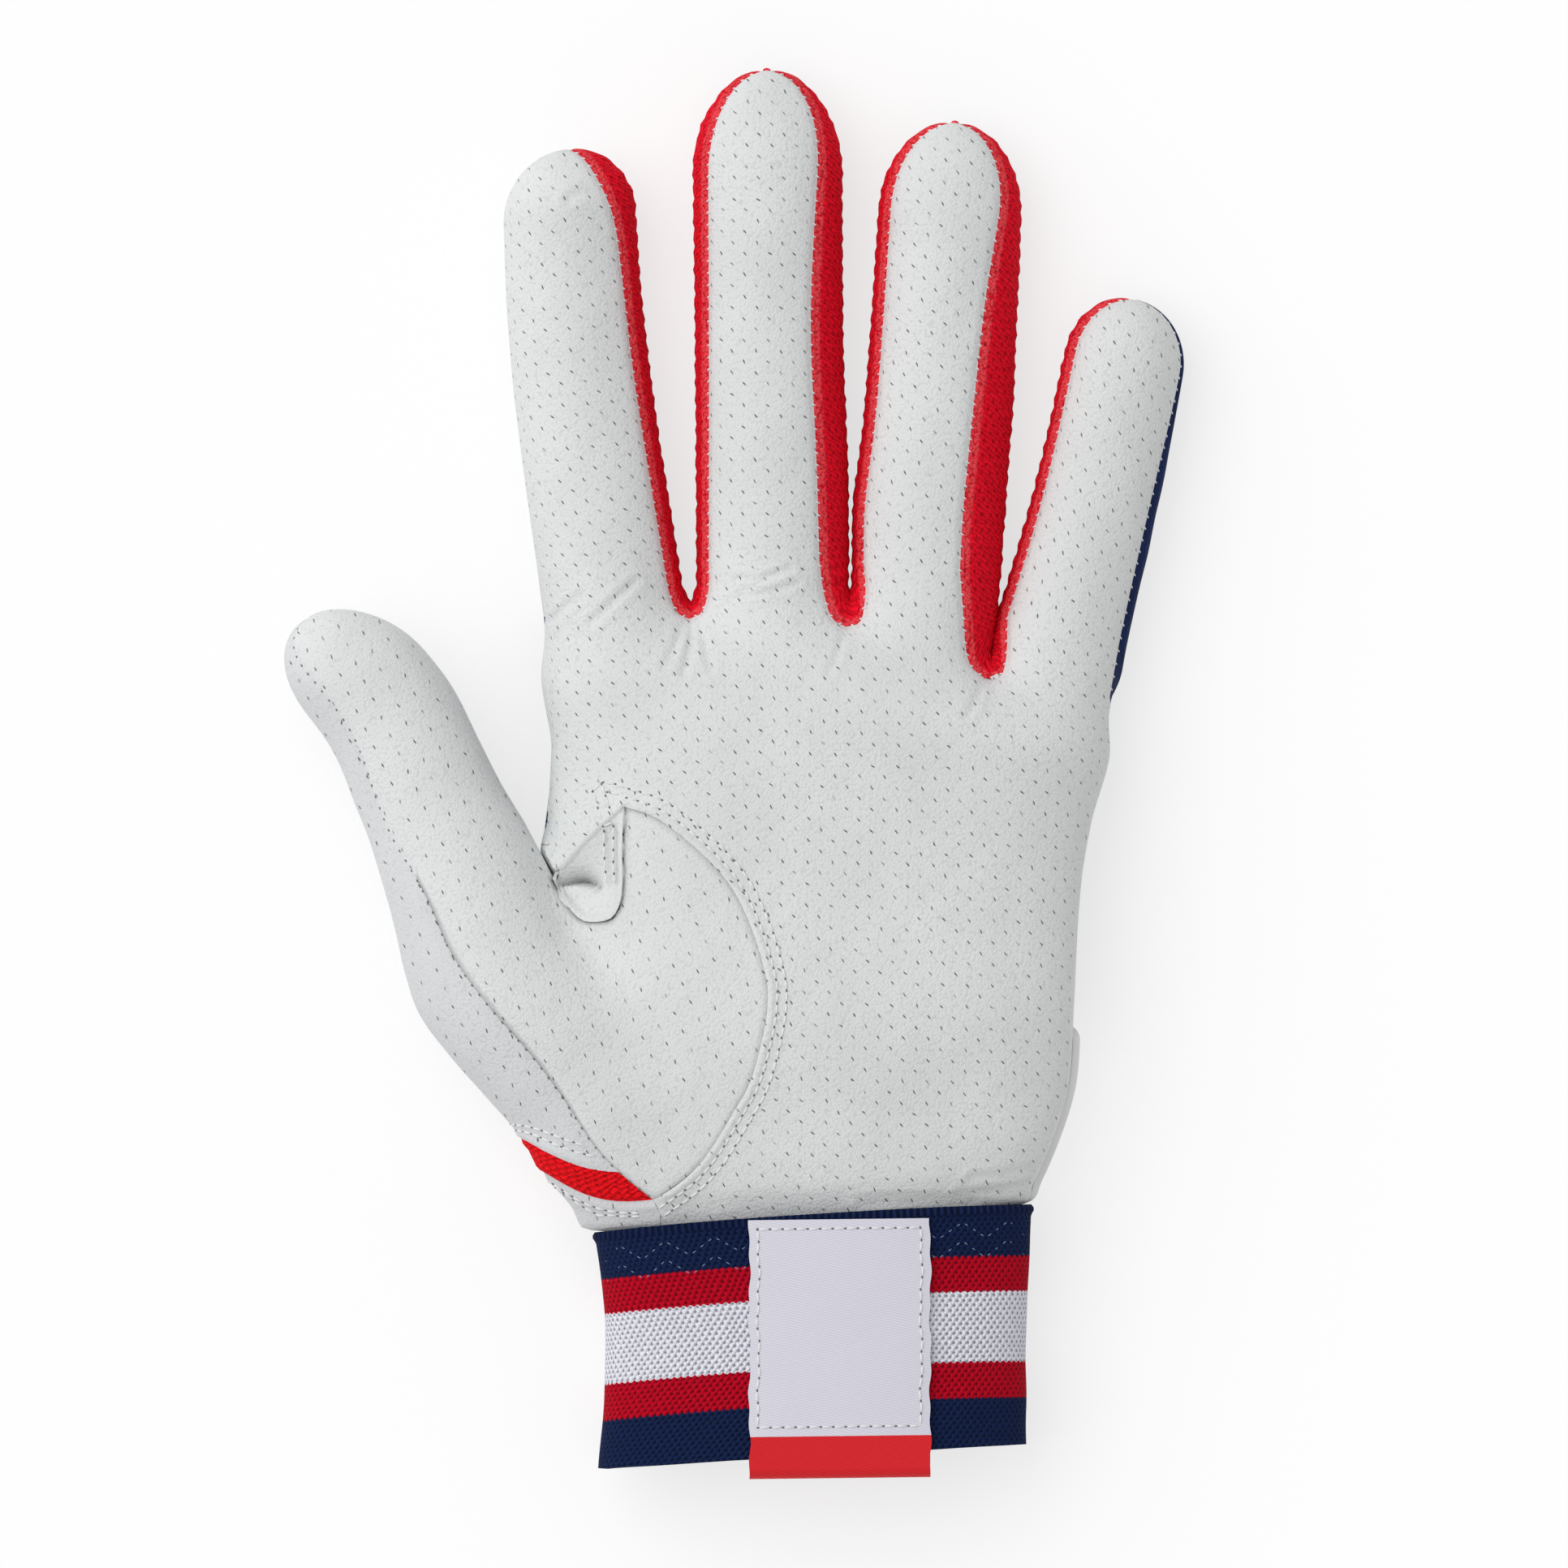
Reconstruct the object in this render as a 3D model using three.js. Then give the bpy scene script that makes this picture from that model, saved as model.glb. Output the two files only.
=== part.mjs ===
// A left-hand batting glove lying on its back with the palm up, in millimetres.
// X runs to the little-finger side, Y runs to the fingertips and Z runs up out of the palm.
// One hand-shaped skin is cut along the glove's real seams into leather, mesh and knit pieces.

import * as THREE from "three";

// Cloth and leather thicknesses, and the gap left along every seam.
const LEATHER_THICKNESS = 1.0;
const MESH_THICKNESS = 1.0;
const STRETCH_THICKNESS = 1.0;
const ELASTIC_THICKNESS = 1.6;
const SEAM_GAP = 0.6;
const CORNER_GAP = 1.1;
const CROTCH_RELIEF = 1;

// How softly the fingers flow into the palm, and how deep the webs lie below the ends of the palm.
const FINGER_FILLET = 6;
const THUMB_FILLET = 5;
const WEB_RISE = 2.2;

// The wrist and cuff slope a little: millimetres of rise per millimetre to the right of the wrist centre.
const WRIST_SLOPE = 0.056;
const WRIST_CENTRE_X = 12.7;

// The palm, from inside the cuff to the knuckles: [distance up the hand, value].
const PALM_CENTRE_X = [
  [-80, 12.9], [-73, 12.7], [-70.5, 11.6], [-66, 11], [-61, 10.4], [-55, 12],
  [-50, 13], [-40, 13.5], [-20, 13.5], [-6, 14.2], [10, 15.7], [24, 16],
];
const PALM_HALF_WIDTH = [
  [-80, 32.2], [-73, 32.4], [-72, 33.2], [-70.5, 36], [-68, 37.2], [-66, 38.3], [-61, 41],
  [-55, 41.4], [-50, 41.3], [-40, 41.3], [-20, 42.5], [-6, 44.2], [10, 45.2], [24, 46.4],
];
const PALM_HALF_DEPTH = [
  [-80, 9.2], [-72, 9.3], [-66, 9.7], [-55, 10.3], [-40, 11.4],
  [-20, 12.6], [-6, 12.9], [10, 12.4], [24, 10.4],
];
const PALM_CENTRE_Z = [
  [-80, 11.6], [-72, 11.8], [-66, 14.6], [-55, 15.4], [-40, 15.9],
  [-20, 13.4], [-6, 12.3], [10, 11.8], [24, 9.9],
];
const PALM_ROUNDNESS = 2.5;
const PALM_END_ROUNDING = 13;

// Length of each stall from the middle of its root to its tip.
const INDEX_LENGTH = 75.4;
const MIDDLE_LENGTH = 88.4;
const RING_LENGTH = 84.08;
const LITTLE_LENGTH = 63.41;
const THUMB_LENGTH = 104;

// Finger stalls: the middle of the root, the lean to the right in degrees, and sizes along the length
// as [share of length, value]. The seam shares say how far out, across the half width, each front seam lies.
// A share of 1 is the outline.
const FINGERS = [
  {
    name: "index",
    backCloth: ["plain_leather", LEATHER_THICKNESS],
    base: [-19.3, 25.9],
    length: INDEX_LENGTH,
    lean: -5.94,
    drift: [[0, 0], [0.45, -1.4], [0.7, -1.3], [1, 0]],
    halfWidth: [[0, 11.5], [0.5, 11.2], [0.85, 10.8], [1, 10.6]],
    halfDepth: [[0, 9.6], [0.5, 8.7], [1, 7.8]],
    tipLength: 11,
    rootReach: 10,
    rootHinge: 9,
    middleHinge: 35,
    leftSeam: [[0, 1], [1, 1]],
    rightSeam: [[0, 0.82], [0.5, 0.78], [0.8, 0.72], [0.92, 0.55], [1, 0.45]],
    sides: ["right"],
  },
  {
    name: "middle",
    backCloth: ["navy_stretch", STRETCH_THICKNESS],
    base: [6, 25.3],
    length: MIDDLE_LENGTH,
    lean: -0.52,
    drift: [[0, 0], [1, 0]],
    halfWidth: [[0, 12.1], [0.5, 12], [0.85, 12.1], [1, 12]],
    halfDepth: [[0, 9.8], [0.5, 9], [1, 8]],
    tipLength: 17,
    rootReach: 10,
    rootHinge: 9,
    middleHinge: 38,
    leftSeam: [[0, 0.87], [1, 0.8]],
    rightSeam: [[0, 0.66], [0.3, 0.6], [0.55, 0.58], [0.8, 0.68], [1, 0.8]],
    sides: ["left", "right"],
  },
  {
    name: "ring",
    backCloth: ["navy_stretch", STRETCH_THICKNESS],
    base: [30.1, 21.3],
    length: RING_LENGTH,
    lean: 3.75,
    drift: [[0, 0], [0.5, 0.4], [1, 0]],
    halfWidth: [[0, 12.1], [0.4, 12], [0.8, 11.6], [1, 11.5]],
    halfDepth: [[0, 9.6], [0.5, 8.8], [1, 7.8]],
    tipLength: 15,
    rootReach: 10,
    rootHinge: 12,
    middleHinge: 41,
    leftSeam: [[0, 0.87], [1, 0.85]],
    rightSeam: [[0, 0.46], [0.4, 0.47], [0.65, 0.56], [0.85, 0.72], [1, 0.8]],
    sides: ["left", "right"],
  },
  {
    name: "little",
    backCloth: ["navy_stretch", STRETCH_THICKNESS],
    base: [50.7, 14.8],
    length: LITTLE_LENGTH,
    lean: 12.94,
    drift: [[0, 0], [0.5, 0.8], [1, 0]],
    halfWidth: [[0, 11.3], [0.35, 10.3], [0.8, 9.8], [1, 9.6]],
    halfDepth: [[0, 8.8], [0.5, 7.9], [1, 7.2]],
    tipLength: 10.5,
    rootReach: 10,
    rootHinge: 9,
    middleHinge: 29,
    leftSeam: [[0, 0.87], [1, 0.85]],
    rightSeam: [[0, 0.9], [0.5, 0.9], [0.8, 0.97], [1, 0.99]],
    sides: ["left"],
  },
];
const BACK_SEAM_SHARE = 0.8;
const FINGER_LIFT = [[0, -0.5], [0.6, -0.4], [1, 0.6]];

// The thumb stall, from the heel of the hand to the tip.
const THUMB = {
  name: "thumb",
  base: [-15.1, -63.8],
  length: THUMB_LENGTH,
  lean: -29.18,
  drift: [
    [0, 0], [0.135, 0], [0.22, -1.3], [0.3, -3.3], [0.377, -4.6], [0.443, -3.9],
    [0.503, -2.6], [0.566, -1.7], [0.63, -1.1], [0.7, -0.4], [0.8, 0.3], [0.9, -1.2], [1, -3.4],
  ],
  halfWidth: [
    [0, 12.7], [0.135, 14.4], [0.22, 15.2], [0.3, 15.1], [0.377, 14.7], [0.443, 14.1],
    [0.503, 13.4], [0.566, 12.5], [0.63, 11.7], [0.7, 11.3], [0.8, 11], [1, 10.6],
  ],
  halfDepth: [[0, 9], [0.3, 12.2], [0.5, 11.2], [0.7, 9.6], [1, 8]],
  centreZ: [[0, 14.6], [0.3, 15], [0.5, 13.8], [1, 11.5]],
  tipLength: 14,
  rootReach: -12,
  hingeShare: 0.56,
  frontSeam: [[0.5, 0.52], [0.56, 0.58], [0.66, 0.72], [0.89, 0.62], [1, 0.9]],
};

// Crotches of the finger webs and of the thumb.
const WEB_CROTCHES = [[-7.2, 25.2], [18.1, 23.9], [40.6, 15.6]];
const INDEX_ROOT_EDGE_Y = 25.3;
const LITTLE_ROOT_EDGE_Y = 12.5;
const INDEX_ROOT_OUTER_X = -32;
const LITTLE_ROOT_OUTER_X = 63;
const THUMB_CROTCH_Y = -12.5;

// Seam lines on the palm side, as X and Y.
const TONGUE_TOP_SEAM = [[-28.2, -14.8], [-23.8, -11.3], [-20.3, -7.7]];
const TONGUE_DIP = 2.5;
const TONGUE_RIM = [
  [-29.6, -16.9], [-27.2, -21.1], [-24.8, -23.6], [-22.4, -24],
  [-19.7, -23.3], [-18.3, -20.6], [-18, -16.4], [-18.1, -11.8],
];
const THUMB_ARC_TOP = [-17.8, -5.4];
const THUMB_ARC = [
  [-13.6, -6.7], [-9.7, -9.2], [-4.3, -13.9], [-0.1, -19], [3.1, -25.9], [5.1, -32.9],
  [5.4, -36.8], [4.7, -41.9], [2.6, -49.6], [-0.3, -54.9], [-3.9, -60.8], [-7.6, -65],
];
const THUMB_ARC_FOOT = [-13.2, -69];
const THUMB_SEAM = [
  [-49.4, -21.2], [-46.5, -27.9], [-43, -33.5], [-38.4, -39.3],
  [-33, -45.5], [-28.4, -51.6], [-23.1, -59.7], [-19, -64.2],
];
const PALM_BREAK_RIGHT_Y = -6.2;

// Seam down the back of the hand between the thumb-side leather and the stretch back.
const BACK_THUMB_SEAM = [[-29.5, -20], [-26.5, -32], [-21, -44], [-15.5, -55], [-12.5, -65]];
const HEM_BACK_SHARE = 0.72;
const VENT_BACK_SHARE = 0.88;
const BACK_SEAM_FOOT_X = -12;

// The lower hem of the thumb-side leather and the lower edge of the mesh vent:
// where each meets the outline, and how far it sags on the palm side.
const HEM_EDGE_Y = -58.8;
const HEM_SAG = 1.2;
const VENT_EDGE_Y = -64.6;
const VENT_SAG = 2;

// Levels up the hand where the skin turns in under the cuff.
const COLLAR_LEVELS = [-69.5, -71, -72.2, -77.5];
const COLLAR_FRONT_X = -12;

// The knit cuff.
const CUFF_TOP = -72.6;
const CUFF_BOTTOM = -110.2;
const CUFF_CENTRE_X = [[-111, 12.5], [-91, 13.2], [-72, 12.7]];
const CUFF_HALF_WIDTH = [[-111, 34.6], [-91, 34], [-72, 35.2]];
const CUFF_HALF_DEPTH = 12;
const CUFF_CENTRE_Z = 11.5;
const CUFF_ROUNDNESS = 2.5;

// The woven label on the front of the cuff and its folded end.
const LABEL_LEFT = 2.4;
const LABEL_RIGHT = 31.6;
const LABEL_SLOPE = 0.012;
const LABEL_TOP = -73.4;
const LABEL_FOLD_LINE = -107;
const LABEL_END = -113.8;
const LABEL_THICKNESS = 0.6;
const LABEL_STANDOFF = 0.3;
const LABEL_RETURN = 9;

// The wrist closure on the back of the hand.
const TAB_HINGE_X = -4;
const TAB_TOP_Y = -41;
const TAB_BOTTOM_Y = -68;
const TAB_OVERHANG = 1.2;
const TAB_RISE_LENGTH = 5;
const TAB_THICKNESS = 1.3;
const TAB_CORNER = 4;
const PATCH_THICKNESS = 0.6;
const LAYER_GAP = 0.5;
const PATCH_LEFT_X = 2;
const PATCH_RIGHT_X = 40;
const PATCH_TOP_Y = -45;
const PATCH_BOTTOM_Y = -62;

// How finely the skin is divided.
const FINGER_COLUMNS = 5;
const SIDE_COLUMNS = 3;
const STUB_ROWS = 3;
const PALM_ROWS = 6;
const HEEL_ROWS = 9;
const TONGUE_COLUMNS = 3;
const TONGUE_ROWS = 3;
const STALL_ROWS = 4;
const TIP_ROWS = 4;
const THUMB_COLUMNS = 6;
const RIM_COLUMNS = 7;
const BACK_WRAP_COLUMNS = 9;
const FRONT_WRAP_COLUMNS = 3;
const CUFF_SEGMENTS = 40;
const CUFF_ROWS = 4;
const PATCH_STEPS = 7;
const TAB_COLUMNS = 24;
const FOLD_STEPS = 6;

const INSIDE_REACH = 70;
const EDGE_SEARCH_START = 15;
const BISECTION_STEPS = 34;
const SETTLE_STEPS = 14;
const GRADIENT_STEP = 0.02;
const TINY = 1e-6;
const LEAST_STEEPNESS = 1e-4;
const WELD_DIGITS = 3;

const HALF_TURN = Math.PI;
const QUARTER_TURN = Math.PI / 2;

// Small helpers

function clamp(value, low, high) {
  return Math.min(high, Math.max(low, value));
}

function mix(a, b, share) {
  return a + (b - a) * share;
}

// Reads a table of [position, value] with smooth slopes and flat ends.
function readTable(table, position) {
  const last = table.length - 1;
  if (position <= table[0][0]) {
    return table[0][1];
  }
  if (position >= table[last][0]) {
    return table[last][1];
  }
  let i = 0;
  while (position > table[i + 1][0]) {
    i += 1;
  }
  const slope = (a, b) => (table[b][1] - table[a][1]) / (table[b][0] - table[a][0]);
  const span = table[i + 1][0] - table[i][0];
  const t = (position - table[i][0]) / span;
  const startSlope = i > 0 ? slope(i - 1, i + 1) : slope(0, 1);
  const endSlope = i + 1 < last ? slope(i, i + 2) : slope(i, i + 1);
  const t2 = t * t;
  const t3 = t2 * t;
  return (
    (2 * t3 - 3 * t2 + 1) * table[i][1] +
    (t3 - 2 * t2 + t) * span * startSlope +
    (3 * t2 - 2 * t3) * table[i + 1][1] +
    (t3 - t2) * span * endSlope
  );
}

// A smooth curve through flat points, read by share of its length.
function curveThrough(points) {
  const curve = new THREE.SplineCurve(points.map(([x, y]) => new THREE.Vector2(x, y)));
  return (share) => curve.getPointAt(clamp(share, 0, 1)).toArray();
}

// The hand's skin as a distance field

// Distance to a rounded bar section with half sizes, as a first-order estimate.
function sectionDistance(across, along, up, halfWidth, tipLength, halfDepth, roundness) {
  const u = Math.abs(across) / halfWidth;
  const w = Math.abs(up) / halfDepth;
  const v = along / tipLength;
  const ring = Math.max(TINY, (u ** roundness + w ** roundness) ** (1 / roundness));
  const reach = Math.max(TINY, Math.hypot(ring, v));
  const sectionSlope = Math.hypot(u ** (roundness - 1) / halfWidth, w ** (roundness - 1) / halfDepth);
  const ringSlope = sectionSlope * ring ** (1 - roundness);
  const steepness = Math.hypot((ring / reach) * ringSlope, v / (reach * tipLength));
  return (reach - 1) / Math.max(LEAST_STEEPNESS, steepness);
}

function smoothUnion(a, b, fillet) {
  const overlap = Math.max(fillet - Math.abs(a - b), 0) / fillet;
  return Math.min(a, b) - (overlap * overlap * fillet) / 4;
}

const WEB_LINE = [
  [INDEX_ROOT_OUTER_X, INDEX_ROOT_EDGE_Y + WEB_RISE],
  ...WEB_CROTCHES.map(([x, y]) => [x, y + WEB_RISE]),
  [LITTLE_ROOT_OUTER_X, LITTLE_ROOT_EDGE_Y + WEB_RISE],
];

function upHand(x, y) {
  return y - WRIST_SLOPE * (x - WRIST_CENTRE_X);
}

function palmCentreZ(x, y) {
  return readTable(PALM_CENTRE_Z, upHand(x, y));
}

function palmDistance(p) {
  const s = upHand(p.x, p.y);
  const pastEnd = Math.max(0, p.y - (readTable(WEB_LINE, p.x) - PALM_END_ROUNDING));
  return sectionDistance(
    p.x - readTable(PALM_CENTRE_X, s),
    pastEnd,
    p.z - readTable(PALM_CENTRE_Z, s),
    readTable(PALM_HALF_WIDTH, s),
    PALM_END_ROUNDING,
    readTable(PALM_HALF_DEPTH, s),
    PALM_ROUNDNESS,
  );
}

// Adds the direction and length of a stall to its sizes.
function makeLimb(spec) {
  const base = new THREE.Vector2(...spec.base);
  const lean = THREE.MathUtils.degToRad(spec.lean);
  const along = new THREE.Vector2(Math.sin(lean), Math.cos(lean));
  const across = new THREE.Vector2(along.y, -along.x);
  const liedDown = (share) => readTable(spec.halfDepth, share) + readTable(FINGER_LIFT, share);
  const centreZAt = (share) => (spec.centreZ ? readTable(spec.centreZ, share) : liedDown(share));
  return { ...spec, base, along, across, centreZAt };
}

function limbDistance(limb, p) {
  const dx = p.x - limb.base.x;
  const dy = p.y - limb.base.y;
  const along = dx * limb.along.x + dy * limb.along.y;
  const share = clamp(along / limb.length, 0, 1);
  const across = dx * limb.across.x + dy * limb.across.y - readTable(limb.drift, share);
  const pastEnd = Math.max(0, along - (limb.length - limb.tipLength), -along - limb.rootReach);
  return sectionDistance(
    across,
    pastEnd,
    p.z - limb.centreZAt(share),
    readTable(limb.halfWidth, share),
    limb.tipLength,
    readTable(limb.halfDepth, share),
    2,
  );
}

const fingers = FINGERS.map(makeLimb);
const thumb = makeLimb(THUMB);

const aboveFloor = (distance, p) => Math.max(distance, -p.z);
const joinFinger = (palm, limb, p) => smoothUnion(palm, limbDistance(limb, p), FINGER_FILLET);
const fingerSkin = (limb) => (p) => aboveFloor(joinFinger(palmDistance(p), limb, p), p);
const fingerSkins = fingers.map(fingerSkin);

function thumbSkin(p) {
  return aboveFloor(smoothUnion(palmDistance(p), limbDistance(thumb, p), THUMB_FILLET), p);
}

function handSkin(p) {
  const palm = palmDistance(p);
  const withFingers = Math.min(...fingers.map((limb) => joinFinger(palm, limb, p)));
  return aboveFloor(smoothUnion(withFingers, limbDistance(thumb, p), THUMB_FILLET), p);
}

function palmAndFingersSkin(p) {
  return Math.min(...fingerSkins.map((skin) => skin(p)));
}

function gradient(skin, p) {
  const h = GRADIENT_STEP;
  const probe = (dx, dy, dz) => skin(new THREE.Vector3(p.x + dx, p.y + dy, p.z + dz));
  return new THREE.Vector3(
    probe(h, 0, 0) - probe(-h, 0, 0),
    probe(0, h, 0) - probe(0, -h, 0),
    probe(0, 0, h) - probe(0, 0, -h),
  ).divideScalar(2 * h);
}

// Moves a point onto the skin along its slope.
function settle(p, skin) {
  const q = p.clone();
  for (let i = 0; i < SETTLE_STEPS; i += 1) {
    const slope = gradient(skin, q);
    q.addScaledVector(slope, -skin(q) / Math.max(TINY, slope.lengthSq()));
  }
  return q;
}

// The last point inside a skin on the way from a start along a direction.
function lastInside(start, direction, skin, level = 0) {
  let near = 0;
  let far = INSIDE_REACH;
  for (let i = 0; i < BISECTION_STEPS; i += 1) {
    const middle = (near + far) / 2;
    const inside = skin(start.clone().addScaledVector(direction, middle)) < level;
    near = inside ? middle : near;
    far = inside ? far : middle;
  }
  return start.clone().addScaledVector(direction, near);
}

const UP = new THREE.Vector3(0, 0, 1);
const DOWN = new THREE.Vector3(0, 0, -1);
const RIGHT = new THREE.Vector3(1, 0, 0);
const LEFT = new THREE.Vector3(-1, 0, 0);

// The skin's front or back point over a flat place.
function lift(x, y, face, skin = handSkin, level = 0) {
  return lastInside(new THREE.Vector3(x, y, palmCentreZ(x, y)), face, skin, level);
}

// The outline of the palm at a height up the hand.
function palmEdge(y, direction, skin = palmAndFingersSkin) {
  const middle = readTable(PALM_CENTRE_X, y);
  const start = new THREE.Vector3(middle + direction.x * EDGE_SEARCH_START, y, palmCentreZ(middle, y));
  return lastInside(start, direction, skin);
}

// Panels: grids of points on the skin, welded, drawn in from their seams and thickened inwards

function weldGrids(grids, skin) {
  const points = [];
  const known = new Map();
  const indexOf = (p) => {
    const key = p.toArray().map((v) => Math.round(v * 10 ** WELD_DIGITS)).join();
    if (!known.has(key)) {
      known.set(key, points.push(p.clone()) - 1);
    }
    return known.get(key);
  };
  const numbered = grids.map((grid) => grid.map((row) => row.map(indexOf)));
  const faces = numbered.flatMap((ids) => faceOut(points, gridFaces(ids), skin));
  return { points, faces };
}

// Two triangles for each cell of a grid of point numbers, without the cells' collapsed sides.
function gridFaces(ids) {
  const faces = [];
  for (let i = 0; i + 1 < ids.length; i += 1) {
    for (let j = 0; j + 1 < ids[i].length; j += 1) {
      const [a, b, c, d] = [ids[i][j], ids[i][j + 1], ids[i + 1][j + 1], ids[i + 1][j]];
      faces.push([a, b, c], [a, c, d]);
    }
  }
  return faces.filter(([a, b, c]) => a !== b && b !== c && a !== c);
}

function faceNormal(points, [a, b, c]) {
  const ab = points[b].clone().sub(points[a]);
  return ab.cross(points[c].clone().sub(points[a]));
}

// The edges that belong to one face only, each with the direction that face gives it.
function openEdges(faces) {
  const used = new Set(faces.flatMap(([a, b, c]) => [`${a},${b}`, `${b},${c}`, `${c},${a}`]));
  const edges = faces.flatMap(([a, b, c]) => [[a, b], [b, c], [c, a]]);
  return edges.filter(([a, b]) => !used.has(`${b},${a}`));
}

// Turns the faces of one grid so that they look out of the hand.
function faceOut(points, faces, skin) {
  let agreement = 0;
  for (const face of faces) {
    agreement += faceNormal(points, face).dot(gradient(skin, points[face[0]]));
  }
  return agreement > 0 ? faces : faces.map(([a, b, c]) => [a, c, b]);
}

// Draws the open border in along the skin, away from the neighbouring panel.
function drawIn(points, faces, normals, distance) {
  const border = new Set(openEdges(faces).flat());
  const pull = new Map([...border].map((i) => [i, new THREE.Vector3()]));
  for (const face of faces) {
    const middle = new THREE.Vector3();
    face.forEach((i) => middle.addScaledVector(points[i], 1 / 3));
    const area = faceNormal(points, face).length();
    face.filter((i) => border.has(i)).forEach((i) => {
      pull.get(i).addScaledVector(middle.clone().sub(points[i]).normalize(), area);
    });
  }
  return points.map((p, i) => {
    if (!border.has(i)) {
      return p;
    }
    const inward = pull.get(i).addScaledVector(normals[i], -pull.get(i).dot(normals[i])).normalize();
    return p.clone().addScaledVector(inward, distance);
  });
}

function solidFrom(outer, inner, faces) {
  const count = outer.length;
  const triangles = [];
  for (const [a, b, c] of faces) {
    triangles.push([a, b, c], [a + count, c + count, b + count]);
  }
  for (const [a, b] of openEdges(faces)) {
    triangles.push([b, a, a + count], [b, a + count, b + count]);
  }
  const geometry = new THREE.BufferGeometry();
  const positions = [...outer, ...inner].flatMap((p) => p.toArray());
  geometry.setAttribute("position", new THREE.Float32BufferAttribute(positions, 3));
  geometry.setIndex(triangles.flat());
  geometry.computeVertexNormals();
  return geometry;
}

// A piece of skin with its own thickness, as one closed solid.
function panelGeometry(grids, thickness, skin, gap = SEAM_GAP) {
  const { points, faces } = weldGrids(grids, skin);
  const normals = points.map((p) => gradient(skin, p).normalize());
  const outer = drawIn(points, faces, normals, gap / 2);
  const inner = outer.map((p) => p.clone().addScaledVector(gradient(skin, p).normalize(), -thickness));
  return solidFrom(outer, inner, faces);
}

const glove = new THREE.Group();
glove.name = "batting_glove";

const MATERIALS = {
  palm_leather: { color: 0xdde1e3, roughness: 0.6 },
  plain_leather: { color: 0xe6e6ee, roughness: 0.6 },
  red_mesh: { color: 0xd8222c, roughness: 0.85 },
  navy_stretch: { color: 0x16264f, roughness: 0.8 },
  cuff_knit: { color: 0x1c2f66, roughness: 0.9 },
  label_weave: { color: 0xe8e8f2, roughness: 0.5 },
  label_red: { color: 0xe8402f, roughness: 0.5 },
  moulded_rubber: { color: 0xf0f0f0, roughness: 0.5 },
  hook_plastic: { color: 0xf4f4f4, roughness: 0.7 },
  loop_pile: { color: 0xe9e9ec, roughness: 0.95 },
};
const makeMaterial = ([slot, look]) => [slot, new THREE.MeshStandardMaterial({ name: slot, ...look })];
const materials = Object.fromEntries(Object.entries(MATERIALS).map(makeMaterial));

function addPiece(name, slot, geometry) {
  const mesh = new THREE.Mesh(geometry, materials[slot]);
  mesh.name = name;
  glove.add(mesh);
}

// Fingers

// The angles of a finger's four seams at a share of its length, counted from straight up towards the right.
function seamAngles(limb, share) {
  const backRight = HALF_TURN - Math.asin(BACK_SEAM_SHARE);
  const frontLeft = -Math.asin(readTable(limb.leftSeam, share));
  const frontRight = Math.asin(readTable(limb.rightSeam, share));
  return {
    frontLeft,
    frontRight,
    backRight: limb.sides.includes("right") ? backRight : frontRight,
    backLeft: limb.sides.includes("left") ? 2 * HALF_TURN - backRight : 2 * HALF_TURN + frontLeft,
  };
}

// A point of a stall's own skin.
// The tip turn runs from 0 on the straight part to a quarter turn at the tip.
function stallPoint(limb, along, angle, tipTurn) {
  const reach = along + limb.tipLength * Math.sin(tipTurn);
  const share = clamp(reach / limb.length, 0, 1);
  const narrow = Math.max(0, Math.cos(tipTurn));
  const across = readTable(limb.drift, share) + readTable(limb.halfWidth, share) * narrow * Math.sin(angle);
  return new THREE.Vector3(
    limb.base.x + limb.along.x * reach + limb.across.x * across,
    limb.base.y + limb.along.y * reach + limb.across.y * across,
    limb.centreZAt(share) + readTable(limb.halfDepth, share) * narrow * Math.cos(angle),
  );
}

// A row of points round part of a stall. The limits are functions of the share of length.
function stallRow(limb, skin, along, tipTurn, columns, limits) {
  const share = (along + limb.tipLength * Math.sin(tipTurn)) / limb.length;
  const [from, to] = limits(share);
  const row = [];
  for (let j = 0; j <= columns; j += 1) {
    const p = stallPoint(limb, along, mix(from, to, j / columns), tipTurn);
    row.push(tipTurn > 0 ? aboveFloorPoint(p) : settle(p, skin));
  }
  return row;
}

function aboveFloorPoint(p) {
  return p.setZ(Math.max(0, p.z));
}

// Rows from one place along a stall to another, and on over the tip where asked.
function stallGrid(limb, skin, from, to, overTip, columns, limits) {
  const rows = [];
  for (let i = 0; i <= STALL_ROWS; i += 1) {
    rows.push(stallRow(limb, skin, mix(from, to, i / STALL_ROWS), 0, columns, limits));
  }
  for (let i = 1; overTip && i <= TIP_ROWS; i += 1) {
    rows.push(stallRow(limb, skin, to, (QUARTER_TURN * i) / TIP_ROWS, columns, limits));
  }
  return rows;
}

const STRIP_ENDS = {
  front: (seams) => [seams.frontLeft, seams.frontRight],
  back: (seams) => [seams.backRight, seams.backLeft],
  right: (seams) => [seams.frontRight, seams.backRight],
  left: (seams) => [seams.frontLeft + 2 * HALF_TURN, seams.backLeft],
};
const stripLimits = (strip, limb) => (share) => STRIP_ENDS[strip](seamAngles(limb, share));
const stripColumns = (strip) => (strip === "front" || strip === "back" ? FINGER_COLUMNS : SIDE_COLUMNS);

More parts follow.
